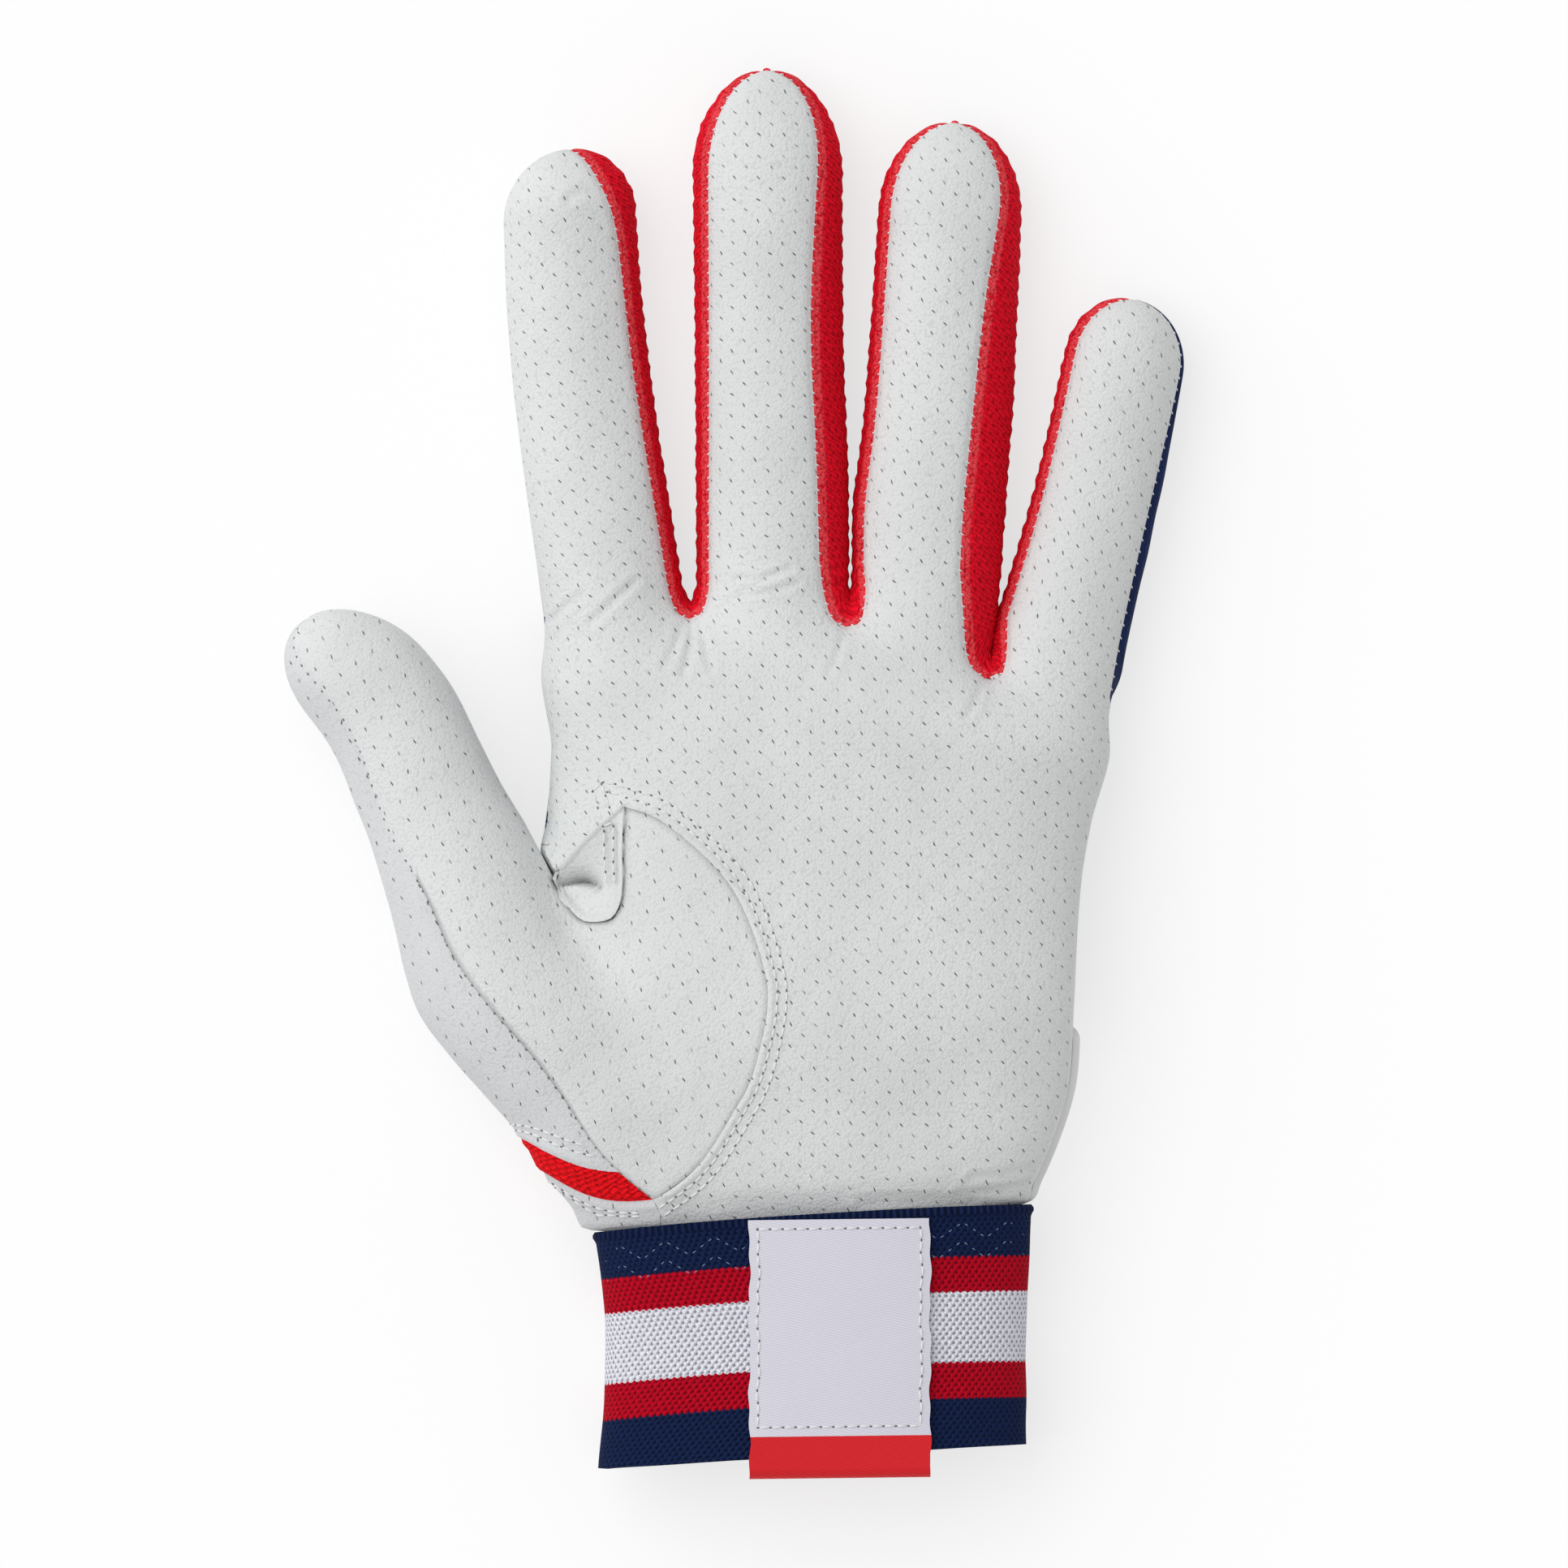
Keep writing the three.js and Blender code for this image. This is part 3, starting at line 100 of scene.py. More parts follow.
# Stalls: the middle of the root, the tip, and sizes along the length as (share of length, value).
# A seam value says how far out, across the half width, that front seam lies. A value of 1 is the outline.
FINGERS = (
    dict(
        name="index", base=(-19.3, 25.9), tip=(-27.1, 100.9), tip_length=11, root_reach=10, hinges=(9, 35),
        drift=((0, 0), (0.45, -1.4), (0.7, -1.3), (1, 0)),
        half_width=((0, 11.5), (0.5, 11.2), (0.85, 10.8), (1, 10.6)),
        half_depth=((0, 9.6), (0.5, 8.7), (1, 7.8)),
        left_seam=((0, 1), (1, 1)),
        right_seam=((0, 0.82), (0.5, 0.78), (0.8, 0.72), (0.92, 0.55), (1, 0.45)),
        sides=("right",),
    ),
    dict(
        name="middle", base=(6, 25.3), tip=(5.2, 113.7), tip_length=17, root_reach=10, hinges=(9, 38),
        drift=((0, 0.25), (0.2, 0.27), (0.3, 0.24), (0.52, 0), (1, 0)),
        half_width=((0, 12.35), (0.2, 12.33), (0.3, 12.28), (0.52, 12), (0.85, 12.1), (1, 12)),
        half_depth=((0, 9.8), (0.5, 9), (1, 8)),
        left_seam=((0, 0.87), (1, 0.8)),
        right_seam=((0, 0.64), (0.3, 0.6), (0.55, 0.58), (0.8, 0.68), (1, 0.8)),
        sides=("left", "right"),
    ),
    dict(
        name="ring", base=(30.1, 21.3), tip=(35.6, 105.2), tip_length=15, root_reach=10, hinges=(12, 41),
        drift=((0, 0), (0.13, 0.1), (0.25, -0.1), (0.4, 0.3), (0.5, 0.4), (1, 0)),
        half_width=((0, 12.1), (0.13, 12.1), (0.25, 12.33), (0.4, 12.03), (0.8, 11.6), (1, 11.5)),
        half_depth=((0, 9.6), (0.5, 8.8), (1, 7.8)),
        left_seam=((0, 0.87), (1, 0.85)),
        right_seam=((0, 0.46), (0.4, 0.47), (0.65, 0.56), (0.85, 0.72), (1, 0.8)),
        sides=("left", "right"),
    ),
    dict(
        name="little", base=(50.7, 14.8), tip=(64.9, 76.6), tip_length=10.5, root_reach=10, hinges=(9, 29),
        drift=((0, 0), (0.5, 0.8), (1, 0)),
        half_width=((0, 11.3), (0.35, 10.3), (0.8, 9.8), (1, 9.6)),
        half_depth=((0, 8.8), (0.5, 7.9), (1, 7.2)),
        left_seam=((0, 0.87), (1, 0.85)),
        right_seam=((0, 0.9), (0.5, 0.9), (0.8, 0.97), (1, 0.99)),
        sides=("left",),
    ),
)
FINGER_LIFT = ((0, -0.5), (0.6, -0.4), (1, 0.6))
BACK_SEAM_SHARE = 0.8
THUMB = dict(
    name="thumb", base=(-15.1, -63.8), tip=(-65.8, 27), tip_length=14, root_reach=-12, hinges=(58.24,),
    drift=(
        (0, 0), (0.135, 0), (0.22, -1.3), (0.3, -3.3), (0.377, -4.6), (0.443, -3.9),
        (0.503, -2.6), (0.566, -1.7), (0.63, -1.1), (0.7, -0.4), (0.8, 0.3), (0.9, -1.2), (1, -3.4),
    ),
    half_width=(
        (0, 12.7), (0.135, 14.4), (0.22, 15.2), (0.3, 15.1), (0.377, 14.7), (0.443, 14.1),
        (0.503, 13.4), (0.566, 12.5), (0.63, 11.7), (0.7, 11.3), (0.8, 11), (1, 10.6),
    ),
    half_depth=((0, 9), (0.3, 12.2), (0.5, 11.2), (0.7, 9.6), (1, 8)),
    centre_z=((0, 14.6), (0.3, 15), (0.5, 13.8), (1, 11.5)),
)
THUMB_FRONT_SEAM = ((0.5, 0.52), (0.56, 0.58), (0.66, 0.72), (0.89, 0.62), (1, 0.9))

# Crotches of the finger webs and of the thumb, and the ends of the palm.
WEB_CROTCHES = ((-7.2, 25.2), (18.1, 23.9), (40.6, 15.6))
WEB_ROUND = (2.0, 2.4, 2.6)
INDEX_ROOT_EDGE_Y = 25.3
LITTLE_ROOT_EDGE_Y = 12.5
INDEX_ROOT_OUTER_X = -32
LITTLE_ROOT_OUTER_X = 63
THUMB_CROTCH_Y = -16.2
# How far the palm's edge swings out to the thumb above that crotch: (distance up the hand, value).
CROTCH_FLARE = ((THUMB_CROTCH_Y, 0), (-14.5, 0.9), (-12.6, 1.5), (-9, 0.7), (-5.8, 0.3), (-3, 0))
# The share of a row, from its inner edge, that runs straight into the crotch and then eases onto the skin.
CROTCH_FADE = 0.5
PALM_BREAK_RIGHT_Y = -6.2

# Seam lines on the palm side and on the back, as X and Y.
TONGUE_TOP_SEAM = ((-27.4, -15.1), (-24.9, -12.2), (-21.8, -8.9))
TONGUE_DIP = 1.2
TONGUE_RIM = (
    (-29.6, -16.9), (-27.2, -21.1), (-24.8, -23.6), (-22.4, -24),
    (-19.7, -23.3), (-18.3, -20.6), (-18, -16.4), (-18.1, -11.8),
)
THUMB_ARC_TOP = (-17.8, -5.4)
THUMB_ARC = (
    (-13.6, -6.7), (-9.7, -9.2), (-4.3, -13.9), (-0.1, -19), (3.1, -25.9), (5.1, -32.9),
    (5.4, -36.8), (4.7, -41.9), (2.6, -49.6), (-0.3, -54.9), (-3.9, -60.8), (-7.6, -65),
)
THUMB_ARC_FOOT = (-13.2, -69)
THUMB_SEAM = (
    (-49.4, -21.2), (-46.5, -27.9), (-43, -33.5), (-38.4, -39.3),
    (-33, -45.5), (-28.4, -51.6), (-23.1, -59.7), (-19, -64.2),
)
BACK_THUMB_SEAM = ((-29.5, -20), (-26.5, -32), (-21, -44), (-15.5, -55), (-12.5, -65))
HEM_BACK_SHARE = 0.72
VENT_BACK_SHARE = 0.88
BACK_SEAM_FOOT_X = -12
HEM_EDGE_Y = -58.8
HEM_SAG = 1.2
VENT_EDGE_Y = -64.6
VENT_SAG = 2
COLLAR_LEVELS = (-69.5, -70.5, -71.1, -71.6, -72, -77.5)
COLLAR_FRONT_X = -12

# How finely the skin is divided.
FRONT_COLUMNS = 40
SIDE_COLUMNS = 16
STUB_ROWS = 18
WEB_ROWS = 6
ROOT_ROWS = 14
STALL_ROWS = 50
TIP_ROWS = 22
PALM_ROWS = 62
CROTCH_ROW = 6
HEM_ROW = 73
HEEL_ROWS = 82
BAND_ROWS = 8
TONGUE_COLUMNS = 30
TONGUE_ROWS = 40
THUMB_COLUMNS = 24
THUMB_BACK_COLUMNS = 48
BACK_WRAP_COLUMNS = 34
FRONT_WRAP_COLUMNS = 14

# How places on the skin are found: reach, starts, steps and least values.
INSIDE_REACH = 70
EDGE_SEARCH_START = 15
BISECTION_STEPS = 30
SETTLE_STEPS = 10
GRADIENT_STEP = 0.02
TINY = 1e-6
LEAST_STEEPNESS = 1e-4
CURVE_SAMPLES = 400
TURN = 2 * math.pi
UP = 1
DOWN = -1
RIGHT = 1
LEFT = -1


def mix(a, b, share):
    return a + (b - a) * share


def eased(share):
    """Runs from 0 to 1 with a gentle start and end."""
    t = np.clip(share, 0, 1)
    return t * t * (3 - 2 * t)


def unit(vectors):
    return vectors / np.maximum(TINY, np.linalg.norm(vectors, axis=-1, keepdims=True))


def read_table(table, position):
    """Reads a table of (position, value) with smooth slopes and flat ends."""
    knots = np.array(table, float)
    at, value = knots[:, 0], knots[:, 1]
    slopes = np.empty_like(value)
    slopes[1:-1] = (value[2:] - value[:-2]) / (at[2:] - at[:-2])
    slopes[0] = (value[1] - value[0]) / (at[1] - at[0])
    slopes[-1] = (value[-1] - value[-2]) / (at[-1] - at[-2])
    place = np.clip(position, at[0], at[-1])
    i = np.clip(np.searchsorted(at, place, side="right") - 1, 0, len(at) - 2)
    span = at[i + 1] - at[i]
    t = (place - at[i]) / span
    return (
        (2 * t ** 3 - 3 * t ** 2 + 1) * value[i]
        + (t ** 3 - 2 * t ** 2 + t) * span * slopes[i]
        + (3 * t ** 2 - 2 * t ** 3) * value[i + 1]
        + (t ** 3 - t ** 2) * span * slopes[i + 1]
    )


def curve_through(points):
    """A smooth curve through flat points, read by shares of its length."""
    knots = np.array(points, float)
    count = len(knots) - 1

    def place_at(t):
        place = np.clip(t, 0, 1) * count
        i = np.minimum(place.astype(int), count - 1)
        w = (place - i)[..., None]
        before, start = knots[np.maximum(i - 1, 0)], knots[i]
        end, after = knots[i + 1], knots[np.minimum(i + 2, count)]
        slope_in, slope_out = (end - before) / 2, (after - start) / 2
        return (
            (2 * start - 2 * end + slope_in + slope_out) * w ** 3
            + (3 * end - 3 * start - 2 * slope_in - slope_out) * w ** 2
            + slope_in * w + start
        )

    steps = np.linspace(0, 1, CURVE_SAMPLES)
    lengths = run_lengths(place_at(steps))
    return lambda share: place_at(np.interp(np.asarray(share, float) * lengths[-1], lengths, steps))


def run_lengths(points):
    """Length along a row of points, from 0."""
    return np.concatenate([[0], np.cumsum(np.linalg.norm(np.diff(points, axis=0), axis=1))])


def section_distance(across, along, up, half_width, tip_length, half_depth, roundness):
    """Distance to a rounded bar section with half sizes, as a first-order estimate."""
    u = np.abs(across) / half_width
    w = np.abs(up) / half_depth
    v = along / tip_length
    ring = np.maximum(TINY, (u ** roundness + w ** roundness) ** (1 / roundness))
    reach = np.maximum(TINY, np.hypot(ring, v))
    ring_slope = np.hypot(u ** (roundness - 1) / half_width, w ** (roundness - 1) / half_depth)
    ring_slope = ring_slope * ring ** (1 - roundness)
    steepness = np.hypot(ring / reach * ring_slope, v / (reach * tip_length))
    return (reach - 1) / np.maximum(LEAST_STEEPNESS, steepness)


def smooth_union(a, b, fillet):
    overlap = np.maximum(fillet - np.abs(a - b), 0) / fillet
    return np.minimum(a, b) - overlap * overlap * fillet / 4


WEB_LINE = (
    ((INDEX_ROOT_OUTER_X, INDEX_ROOT_EDGE_Y + WEB_RISE),)
    + tuple((x, y + WEB_RISE) for x, y in WEB_CROTCHES)
    + ((LITTLE_ROOT_OUTER_X, LITTLE_ROOT_EDGE_Y + WEB_RISE),)
)


def up_hand(x, y):
    return y - WRIST_SLOPE * (x - WRIST_CENTRE_X)


def palm_centre_z(x, y):
    return read_table(PALM_CENTRE_Z, up_hand(x, y))


def palm_distance(p):
    s = up_hand(p[..., 0], p[..., 1])
    past_end = np.maximum(0, p[..., 1] - (read_table(WEB_LINE, p[..., 0]) - PALM_END_ROUNDING))
    return section_distance(
        p[..., 0] - read_table(PALM_CENTRE_X, s),
        past_end,
        p[..., 2] - read_table(PALM_CENTRE_Z, s),
        read_table(PALM_HALF_WIDTH, s),
        PALM_END_ROUNDING,
        read_table(PALM_HALF_DEPTH, s),
        PALM_ROUNDNESS,
    )


class Stall:
    """A finger or thumb stall: a straight axis with sizes along it."""

    def __init__(self, spec):
        self.spec = spec
        self.name = spec["name"]
        self.base = np.array(spec["base"], float)
        line = np.array(spec["tip"], float) - self.base
        self.length = np.linalg.norm(line)
        self.along = line / self.length
        self.across = np.array([self.along[1], -self.along[0]])
        self.tip_length = spec["tip_length"]
        self.tip_start = self.length - self.tip_length
        self.hinges = spec["hinges"]
        self.sides = spec.get("sides", ())

    def read(self, size, share):
        if size == "centre_z" and "centre_z" not in self.spec:
            return read_table(self.spec["half_depth"], share) + read_table(FINGER_LIFT, share)
        return read_table(self.spec[size], share)

    def distance(self, p):
        offset = p[..., :2] - self.base
        along = offset @ self.along
        share = np.clip(along / self.length, 0, 1)
        across = offset @ self.across - self.read("drift", share)
        past_end = np.maximum(np.maximum(0, along - self.tip_start), -along - self.spec["root_reach"])
        return section_distance(
            across,
            past_end,
            p[..., 2] - self.read("centre_z", share),
            self.read("half_width", share),
            self.tip_length,
            self.read("half_depth", share),
            FINGER_ROUNDNESS,
        )

    def point(self, along, angle, tip_turn=0.0):
        """A point of the stall's own skin, with the angle counted from straight up towards the right."""
        reach = along + self.tip_length * np.sin(tip_turn)
        share = np.clip(reach / self.length, 0, 1)
        narrow = np.maximum(0, np.cos(tip_turn))
        across = self.read("drift", share) + self.read("half_width", share) * narrow * np.sin(angle)
        z = self.read("centre_z", share) + self.read("half_depth", share) * narrow * np.cos(angle)
        flat = self.base + reach[..., None] * self.along + across[..., None] * self.across
        return np.concatenate([flat, z[..., None]], axis=-1)

    def axis_place(self, along):
        """A place on the stall's axis, in metres."""
        flat = self.base + along * self.along
        return (flat[0] * MM, flat[1] * MM, float(self.read("centre_z", along / self.length)) * MM)


fingers = tuple(Stall(spec) for spec in FINGERS)
thumb = Stall(THUMB)


def above_floor(distance, p):
    return np.maximum(distance, -p[..., 2])


def finger_skin(i):
    def skin(p):
        return above_floor(smooth_union(palm_distance(p), fingers[i].distance(p), FINGER_FILLET), p)
    return skin


finger_skins = tuple(finger_skin(i) for i in range(len(fingers)))


def thumb_skin(p):
    return above_floor(smooth_union(palm_distance(p), thumb.distance(p), THUMB_FILLET), p)


def hand_skin(p):
    palm = palm_distance(p)
    joined = [smooth_union(palm, stall.distance(p), FINGER_FILLET) for stall in fingers]
    with_fingers = functools.reduce(np.minimum, joined)
    return above_floor(smooth_union(with_fingers, thumb.distance(p), THUMB_FILLET), p)


def palm_and_fingers_skin(p):
    return functools.reduce(np.minimum, [skin(p) for skin in finger_skins])


def gradient(skin, p):
    slope = np.empty_like(p)
    for axis in range(3):
        step = np.zeros(3)
        step[axis] = GRADIENT_STEP
        slope[..., axis] = (skin(p + step) - skin(p - step)) / (2 * GRADIENT_STEP)
    return slope


def settle(p, skin):
    """Moves points onto the skin along its slope."""
    for _ in range(SETTLE_STEPS):
        slope = gradient(skin, p)
        steep = np.maximum(TINY, (slope * slope).sum(-1))
        p = p - slope * (skin(p) / steep)[..., None]
    return p


def last_inside(start, direction, skin, level=0.0):
    """The last point inside a skin on the way from each start along a direction."""
    near = np.zeros(start.shape[:-1])
    far = np.full(start.shape[:-1], float(INSIDE_REACH))
    for _ in range(BISECTION_STEPS):
        middle = (near + far) / 2
        inside = skin(start + direction * middle[..., None]) < level
        near = np.where(inside, middle, near)
        far = np.where(inside, far, middle)
    return start + direction * near[..., None]


def lift(x, y, face, skin=hand_skin, level=0.0):
    """The skin's front or back points over flat places."""
    x, y = np.broadcast_arrays(np.asarray(x, float), np.asarray(y, float))
    start = np.stack([x, y, palm_centre_z(x, y)], axis=-1)
    return last_inside(start, np.array([0.0, 0.0, face]), skin, level)


def lift_between(start, end, shares, face):
    """The skin's points over shares of the way from one place to another."""
    return lift(mix(start[0], end[0], shares), mix(start[1], end[1], shares), face)


def palm_edge(y, side, skin=palm_and_fingers_skin):
    """The outline of the hand at a height."""
    y = np.asarray(y, float)
    middle = read_table(PALM_CENTRE_X, y)
    start = np.stack([middle + side * EDGE_SEARCH_START, y, palm_centre_z(middle, y)], axis=-1)
    return last_inside(start, np.array([float(side), 0.0, 0.0]), skin)


def at_level(x, level):
    """A flat place at a level up the hand."""
    return x, level + WRIST_SLOPE * (x - WRIST_CENTRE_X)


def level_edge(level, side):
    """The outline at a level up the hand."""
    x, y = at_level(float(read_table(PALM_CENTRE_X, level)), level)
    direction = unit(np.array([side, side * WRIST_SLOPE, 0.0]))
    return last_inside(np.array([x, y, float(palm_centre_z(x, y))]), direction, hand_skin)


# Grids of points on the skin

def strip_limits(stall, strip):
    """Reads the angles of a finger strip's two seams. A side without a red strip has only its front seam."""
    def limits(share):
        front_left = -np.arcsin(np.minimum(1, stall.read("left_seam", share)))
        front_right = np.arcsin(np.minimum(1, stall.read("right_seam", share)))
        back_right, back_left = front_right, TURN + front_left
        behind = math.pi - math.asin(BACK_SEAM_SHARE)
        if "right" in stall.sides:
            back_right = np.full_like(front_right, behind)
        if "left" in stall.sides:
            back_left = np.full_like(front_left, TURN - behind)
        return {
            "front": (front_left, front_right),
            "back": (back_right, back_left),
            "right": (front_right, back_right),
            "left": (front_left + TURN, back_left),
        }[strip]
    return limits


def strip_columns(strip):
    return FRONT_COLUMNS if strip in ("front", "back") else SIDE_COLUMNS


def fan(limits, share, columns):
    """Angles from one seam to the other, in a row for each share of the length."""
    start, end = limits(share)
    return mix(start[:, None], end[:, None], np.linspace(0, 1, columns + 1)[None, :])


def stall_grid(stall, skin, places, columns, limits):
    """Rows round part of a stall at places along its straight part."""
    along = np.asarray(places, float)
    angle = fan(limits, along / stall.length, columns)
    rows = np.broadcast_to(along[:, None], angle.shape)
    return settle(stall.point(rows, angle), skin)


def tip_grid(stall, columns, limits):
    """Rows over the round end of a stall, from its straight part to its tip."""
    turn = np.linspace(0, math.pi / 2, TIP_ROWS + 1)[1:]
    angle = fan(limits, (stall.tip_start + stall.tip_length * np.sin(turn)) / stall.length, columns)
    turns = np.broadcast_to(turn[:, None], angle.shape)
    points = stall.point(np.full(angle.shape, stall.tip_start), angle, turns)
    points[..., 2] = np.maximum(0, points[..., 2])
    return points


def stall_middle(stall):
    """The place between a finger's two hinges where its root and tip pieces meet."""
    return sum(stall.hinges) / 2


def strip_rows(i, strip, places):
    """Rows of a finger strip at places along the finger's straight part."""
    stall = fingers[i]
    return stall_grid(stall, finger_skins[i], places, strip_columns(strip), strip_limits(stall, strip))


def hinge_row(i, strip):
    return strip_rows(i, strip, [fingers[i].hinges[0]])[0]


def root_run(i, strip):
    """Rows of a finger strip from just past its root hinge to the middle between its hinges."""
    stall = fingers[i]
    return strip_rows(i, strip, np.linspace(stall.hinges[0], stall_middle(stall), ROOT_ROWS + 1)[1:])


def tip_run(i, strip):
    """Rows of a finger strip from the middle between its hinges over its tip."""
    stall = fingers[i]
    straight = strip_rows(i, strip, np.linspace(stall_middle(stall), stall.tip_start, STALL_ROWS + 1))
    return np.concatenate([straight, tip_grid(stall, strip_columns(strip), strip_limits(stall, strip))])


index_root_edge = palm_edge(INDEX_ROOT_EDGE_Y, LEFT)
little_root_edge = palm_edge(LITTLE_ROOT_EDGE_Y, RIGHT)


def root_corner(i, face):
    """The corner of a finger root on the front or back. The outer corners lie on the outline."""
    if i == 0:
        return index_root_edge
    if i == len(fingers):
        return little_root_edge
    return lift(*WEB_CROTCHES[i - 1], face)


STUB_STEPS = np.linspace(0, 1, STUB_ROWS + 1)[1:-1]
# How far columns that leave an edge steeply may crowd towards it.
EDGE_CROWDING = 0.8


def rows_between(first, last, steps):
    """Straight rows from one row of points to another."""
    return first[None] + (last - first)[None] * steps[:, None, None]


def crotch_swing(i, corner, hinge_end):
    """How far the edge of the leather swings aside round a crotch, on the way up to the hinge."""
    run = np.linalg.norm((hinge_end - corner)[:2])
    rise = np.minimum(1, STUB_STEPS * run / WEB_ROUND[i])
    return WEB_ROUND[i] * np.sqrt(1 - (1 - rise) ** 2) * (1 - STUB_STEPS)


def stub_swing(i, left, right, hinge):
    """The sideways swing of all the columns of a finger front."""
    u = np.linspace(0, 1, len(hinge))[None]
    swing = np.zeros((len(STUB_STEPS), len(hinge)))
    if i > 0:
        swing += crotch_swing(i - 1, left, hinge[0])[:, None] * (1 - u) ** 2
    if i < len(fingers) - 1:
        swing -= crotch_swing(i, right, hinge[-1])[:, None] * u ** 2
    return swing[..., None] * np.append(fingers[i].across, 0)


@functools.cache
def finger_stub(i, face):
    """Rows from the root row of one finger, left to right, up to its root hinge."""
    hinge = hinge_row(i, "front" if face == UP else "back")
    ordered = hinge if face == UP else hinge[::-1]
    left, right = root_corner(i, face), root_corner(i + 1, face)
    flat = ordered[:, :2] @ fingers[i].across
    u = np.linspace(0, 1, len(ordered))
    shares = (flat - flat[0]) / (flat[-1] - flat[0])
    shares = np.clip(shares, EDGE_CROWDING * u ** 2, 1 - EDGE_CROWDING * (1 - u) ** 2)
    root = lift_between(left, right, shares, face)
    root[0], root[-1] = left, right
    between = rows_between(root, ordered, STUB_STEPS)
    if face == UP:
        between = between + stub_swing(i, left, right, ordered)
    return np.concatenate([root[None], settle(between, finger_skins[i]), ordered[None]])


def join_rows(rows):
    return np.concatenate([rows[0]] + [row[1:] for row in rows[1:]])


def length_shares(row):
    lengths = run_lengths(row[:, :2])
    return lengths / lengths[-1]


def patch(top, bottom, left, right, face):
    """A four-sided patch between given border rows, lifted onto the skin."""
    v = length_shares(left)[:, None, None]
    u = length_shares(top)[None, :, None]
    corners = mix(mix(top[0], top[-1], u), mix(bottom[0], bottom[-1], u), v)
    flat = mix(left[:, None], right[:, None], u) + mix(top[None], bottom[None], v) - corners
    grid = lift(flat[..., 0], flat[..., 1], face)
    grid[:, 0], grid[:, -1] = left, right
    grid[0], grid[-1] = top, bottom
    return grid


def lift_curve(points, count, face):
    flat = curve_through(points)(np.linspace(0, 1, count + 1))
    return lift(flat[:, 0], flat[:, 1], face)


thumb_crotch = palm_edge(THUMB_CROTCH_Y, LEFT)
palm_break_right = palm_edge(PALM_BREAK_RIGHT_Y, RIGHT)
crotch_flat = (thumb_crotch[0], thumb_crotch[1])
collar_right = [level_edge(level, RIGHT) for level in COLLAR_LEVELS]
collar_left = [level_edge(level, LEFT) for level in COLLAR_LEVELS]


def collar_rows(from_x, shares, face):
    """The rows that turn in under the cuff, from a place across the hand to its right outline."""
    rows = []
    for level, edge in zip(COLLAR_LEVELS, collar_right):
        row = lift(*at_level(mix(from_x, edge[0], shares), level), face)
        row[-1] = edge
        rows.append(row)
    return np.array(rows)


def edge_rows(from_y, to_y, side, rows):
    return palm_edge(np.linspace(from_y, to_y, rows + 1), side)


palm_left = edge_rows(INDEX_ROOT_EDGE_Y, THUMB_CROTCH_Y, LEFT, PALM_ROWS)
palm_left[:, 0] -= read_table(CROTCH_FLARE, palm_left[:, 1])
tongue_crease = (crotch_flat,) + TONGUE_TOP_SEAM + (THUMB_ARC_TOP,)
tongue_top = lift_curve(tongue_crease, TONGUE_COLUMNS, UP)
tongue_top[0] = thumb_crotch
palm_left[-1] = thumb_crotch
arc_top = tongue_top[-1]
palm_arc = lift_curve((THUMB_ARC_TOP,) + THUMB_ARC + (THUMB_ARC_FOOT,), HEEL_ROWS - CROTCH_ROW, UP)
palm_arc[0] = arc_top
thumb_hinge = thumb.hinges[0]


THUMB_INNER_ANGLE = math.pi / 2
THUMB_OUTER_ANGLE = 1.5 * math.pi


def thumb_seam_angle(share):
    return -np.arcsin(np.minimum(1, read_table(THUMB_FRONT_SEAM, share)))


def thumb_front_limits(share):
    seam = thumb_seam_angle(share)
    return seam, np.full_like(seam, THUMB_INNER_ANGLE)


def thumb_back_limits(share):
    seam = thumb_seam_angle(share)
    return np.full_like(seam, THUMB_INNER_ANGLE), seam + TURN


def thumb_run(columns, limits):
    """Rows of the thumb's front or back from its hinge over its tip."""
    places = np.linspace(thumb_hinge, thumb.tip_start, STALL_ROWS // 2 + 1)
    straight = stall_grid(thumb, thumb_skin, places, columns, limits)
    return np.concatenate([straight, tip_grid(thumb, columns, limits)])


thumb_front_run = thumb_run(THUMB_COLUMNS, thumb_front_limits)
thumb_back_run = thumb_run(THUMB_BACK_COLUMNS, thumb_back_limits)
thumb_front_hinge = thumb_front_run[0]
thumb_back_hinge = thumb_back_run[0]
thumb_seam_flat = (tuple(thumb_front_hinge[0][:2]),) + THUMB_SEAM + (THUMB_ARC_FOOT,)
thumb_seam = lift_curve(thumb_seam_flat, HEEL_ROWS, UP)
thumb_seam[0] = thumb_front_hinge[0]
palm_arc[-1] = thumb_seam[-1]
tongue_rim = lift_curve((crotch_flat,) + TONGUE_RIM + (THUMB_ARC_TOP,), TONGUE_COLUMNS, UP)
tongue_rim[0], tongue_rim[-1] = thumb_crotch, arc_top


@functools.cache
def palm_grids():
    """The palm leather below the finger roots: its upper patch, its heel and its collar."""
    top = join_rows([finger_stub(i, UP)[0] for i in range(len(fingers))])
    shares = length_shares(top)
    start = shares[TONGUE_COLUMNS]
    break_shares = (shares[TONGUE_COLUMNS:] - start) / (1 - start)
    break_line = lift_between(arc_top, palm_break_right, break_shares, UP)
    break_line[0], break_line[-1] = arc_top, palm_break_right
    right_upper = edge_rows(LITTLE_ROOT_EDGE_Y, PALM_BREAK_RIGHT_Y, RIGHT, PALM_ROWS)
    upper = patch(top, join_rows([tongue_top, break_line]), palm_left, right_upper, UP)
    collar = collar_rows(COLLAR_FRONT_X, break_shares, UP)
    heel_left = np.concatenate([palm_arc, collar[0][:1]])
    right_lower = edge_rows(PALM_BREAK_RIGHT_Y, collar_right[0][1], RIGHT, len(heel_left) - 1)
    right_lower[-1] = collar_right[0]
    heel = patch(break_line, collar[0], heel_left, right_lower, UP)
    return upper, heel, collar


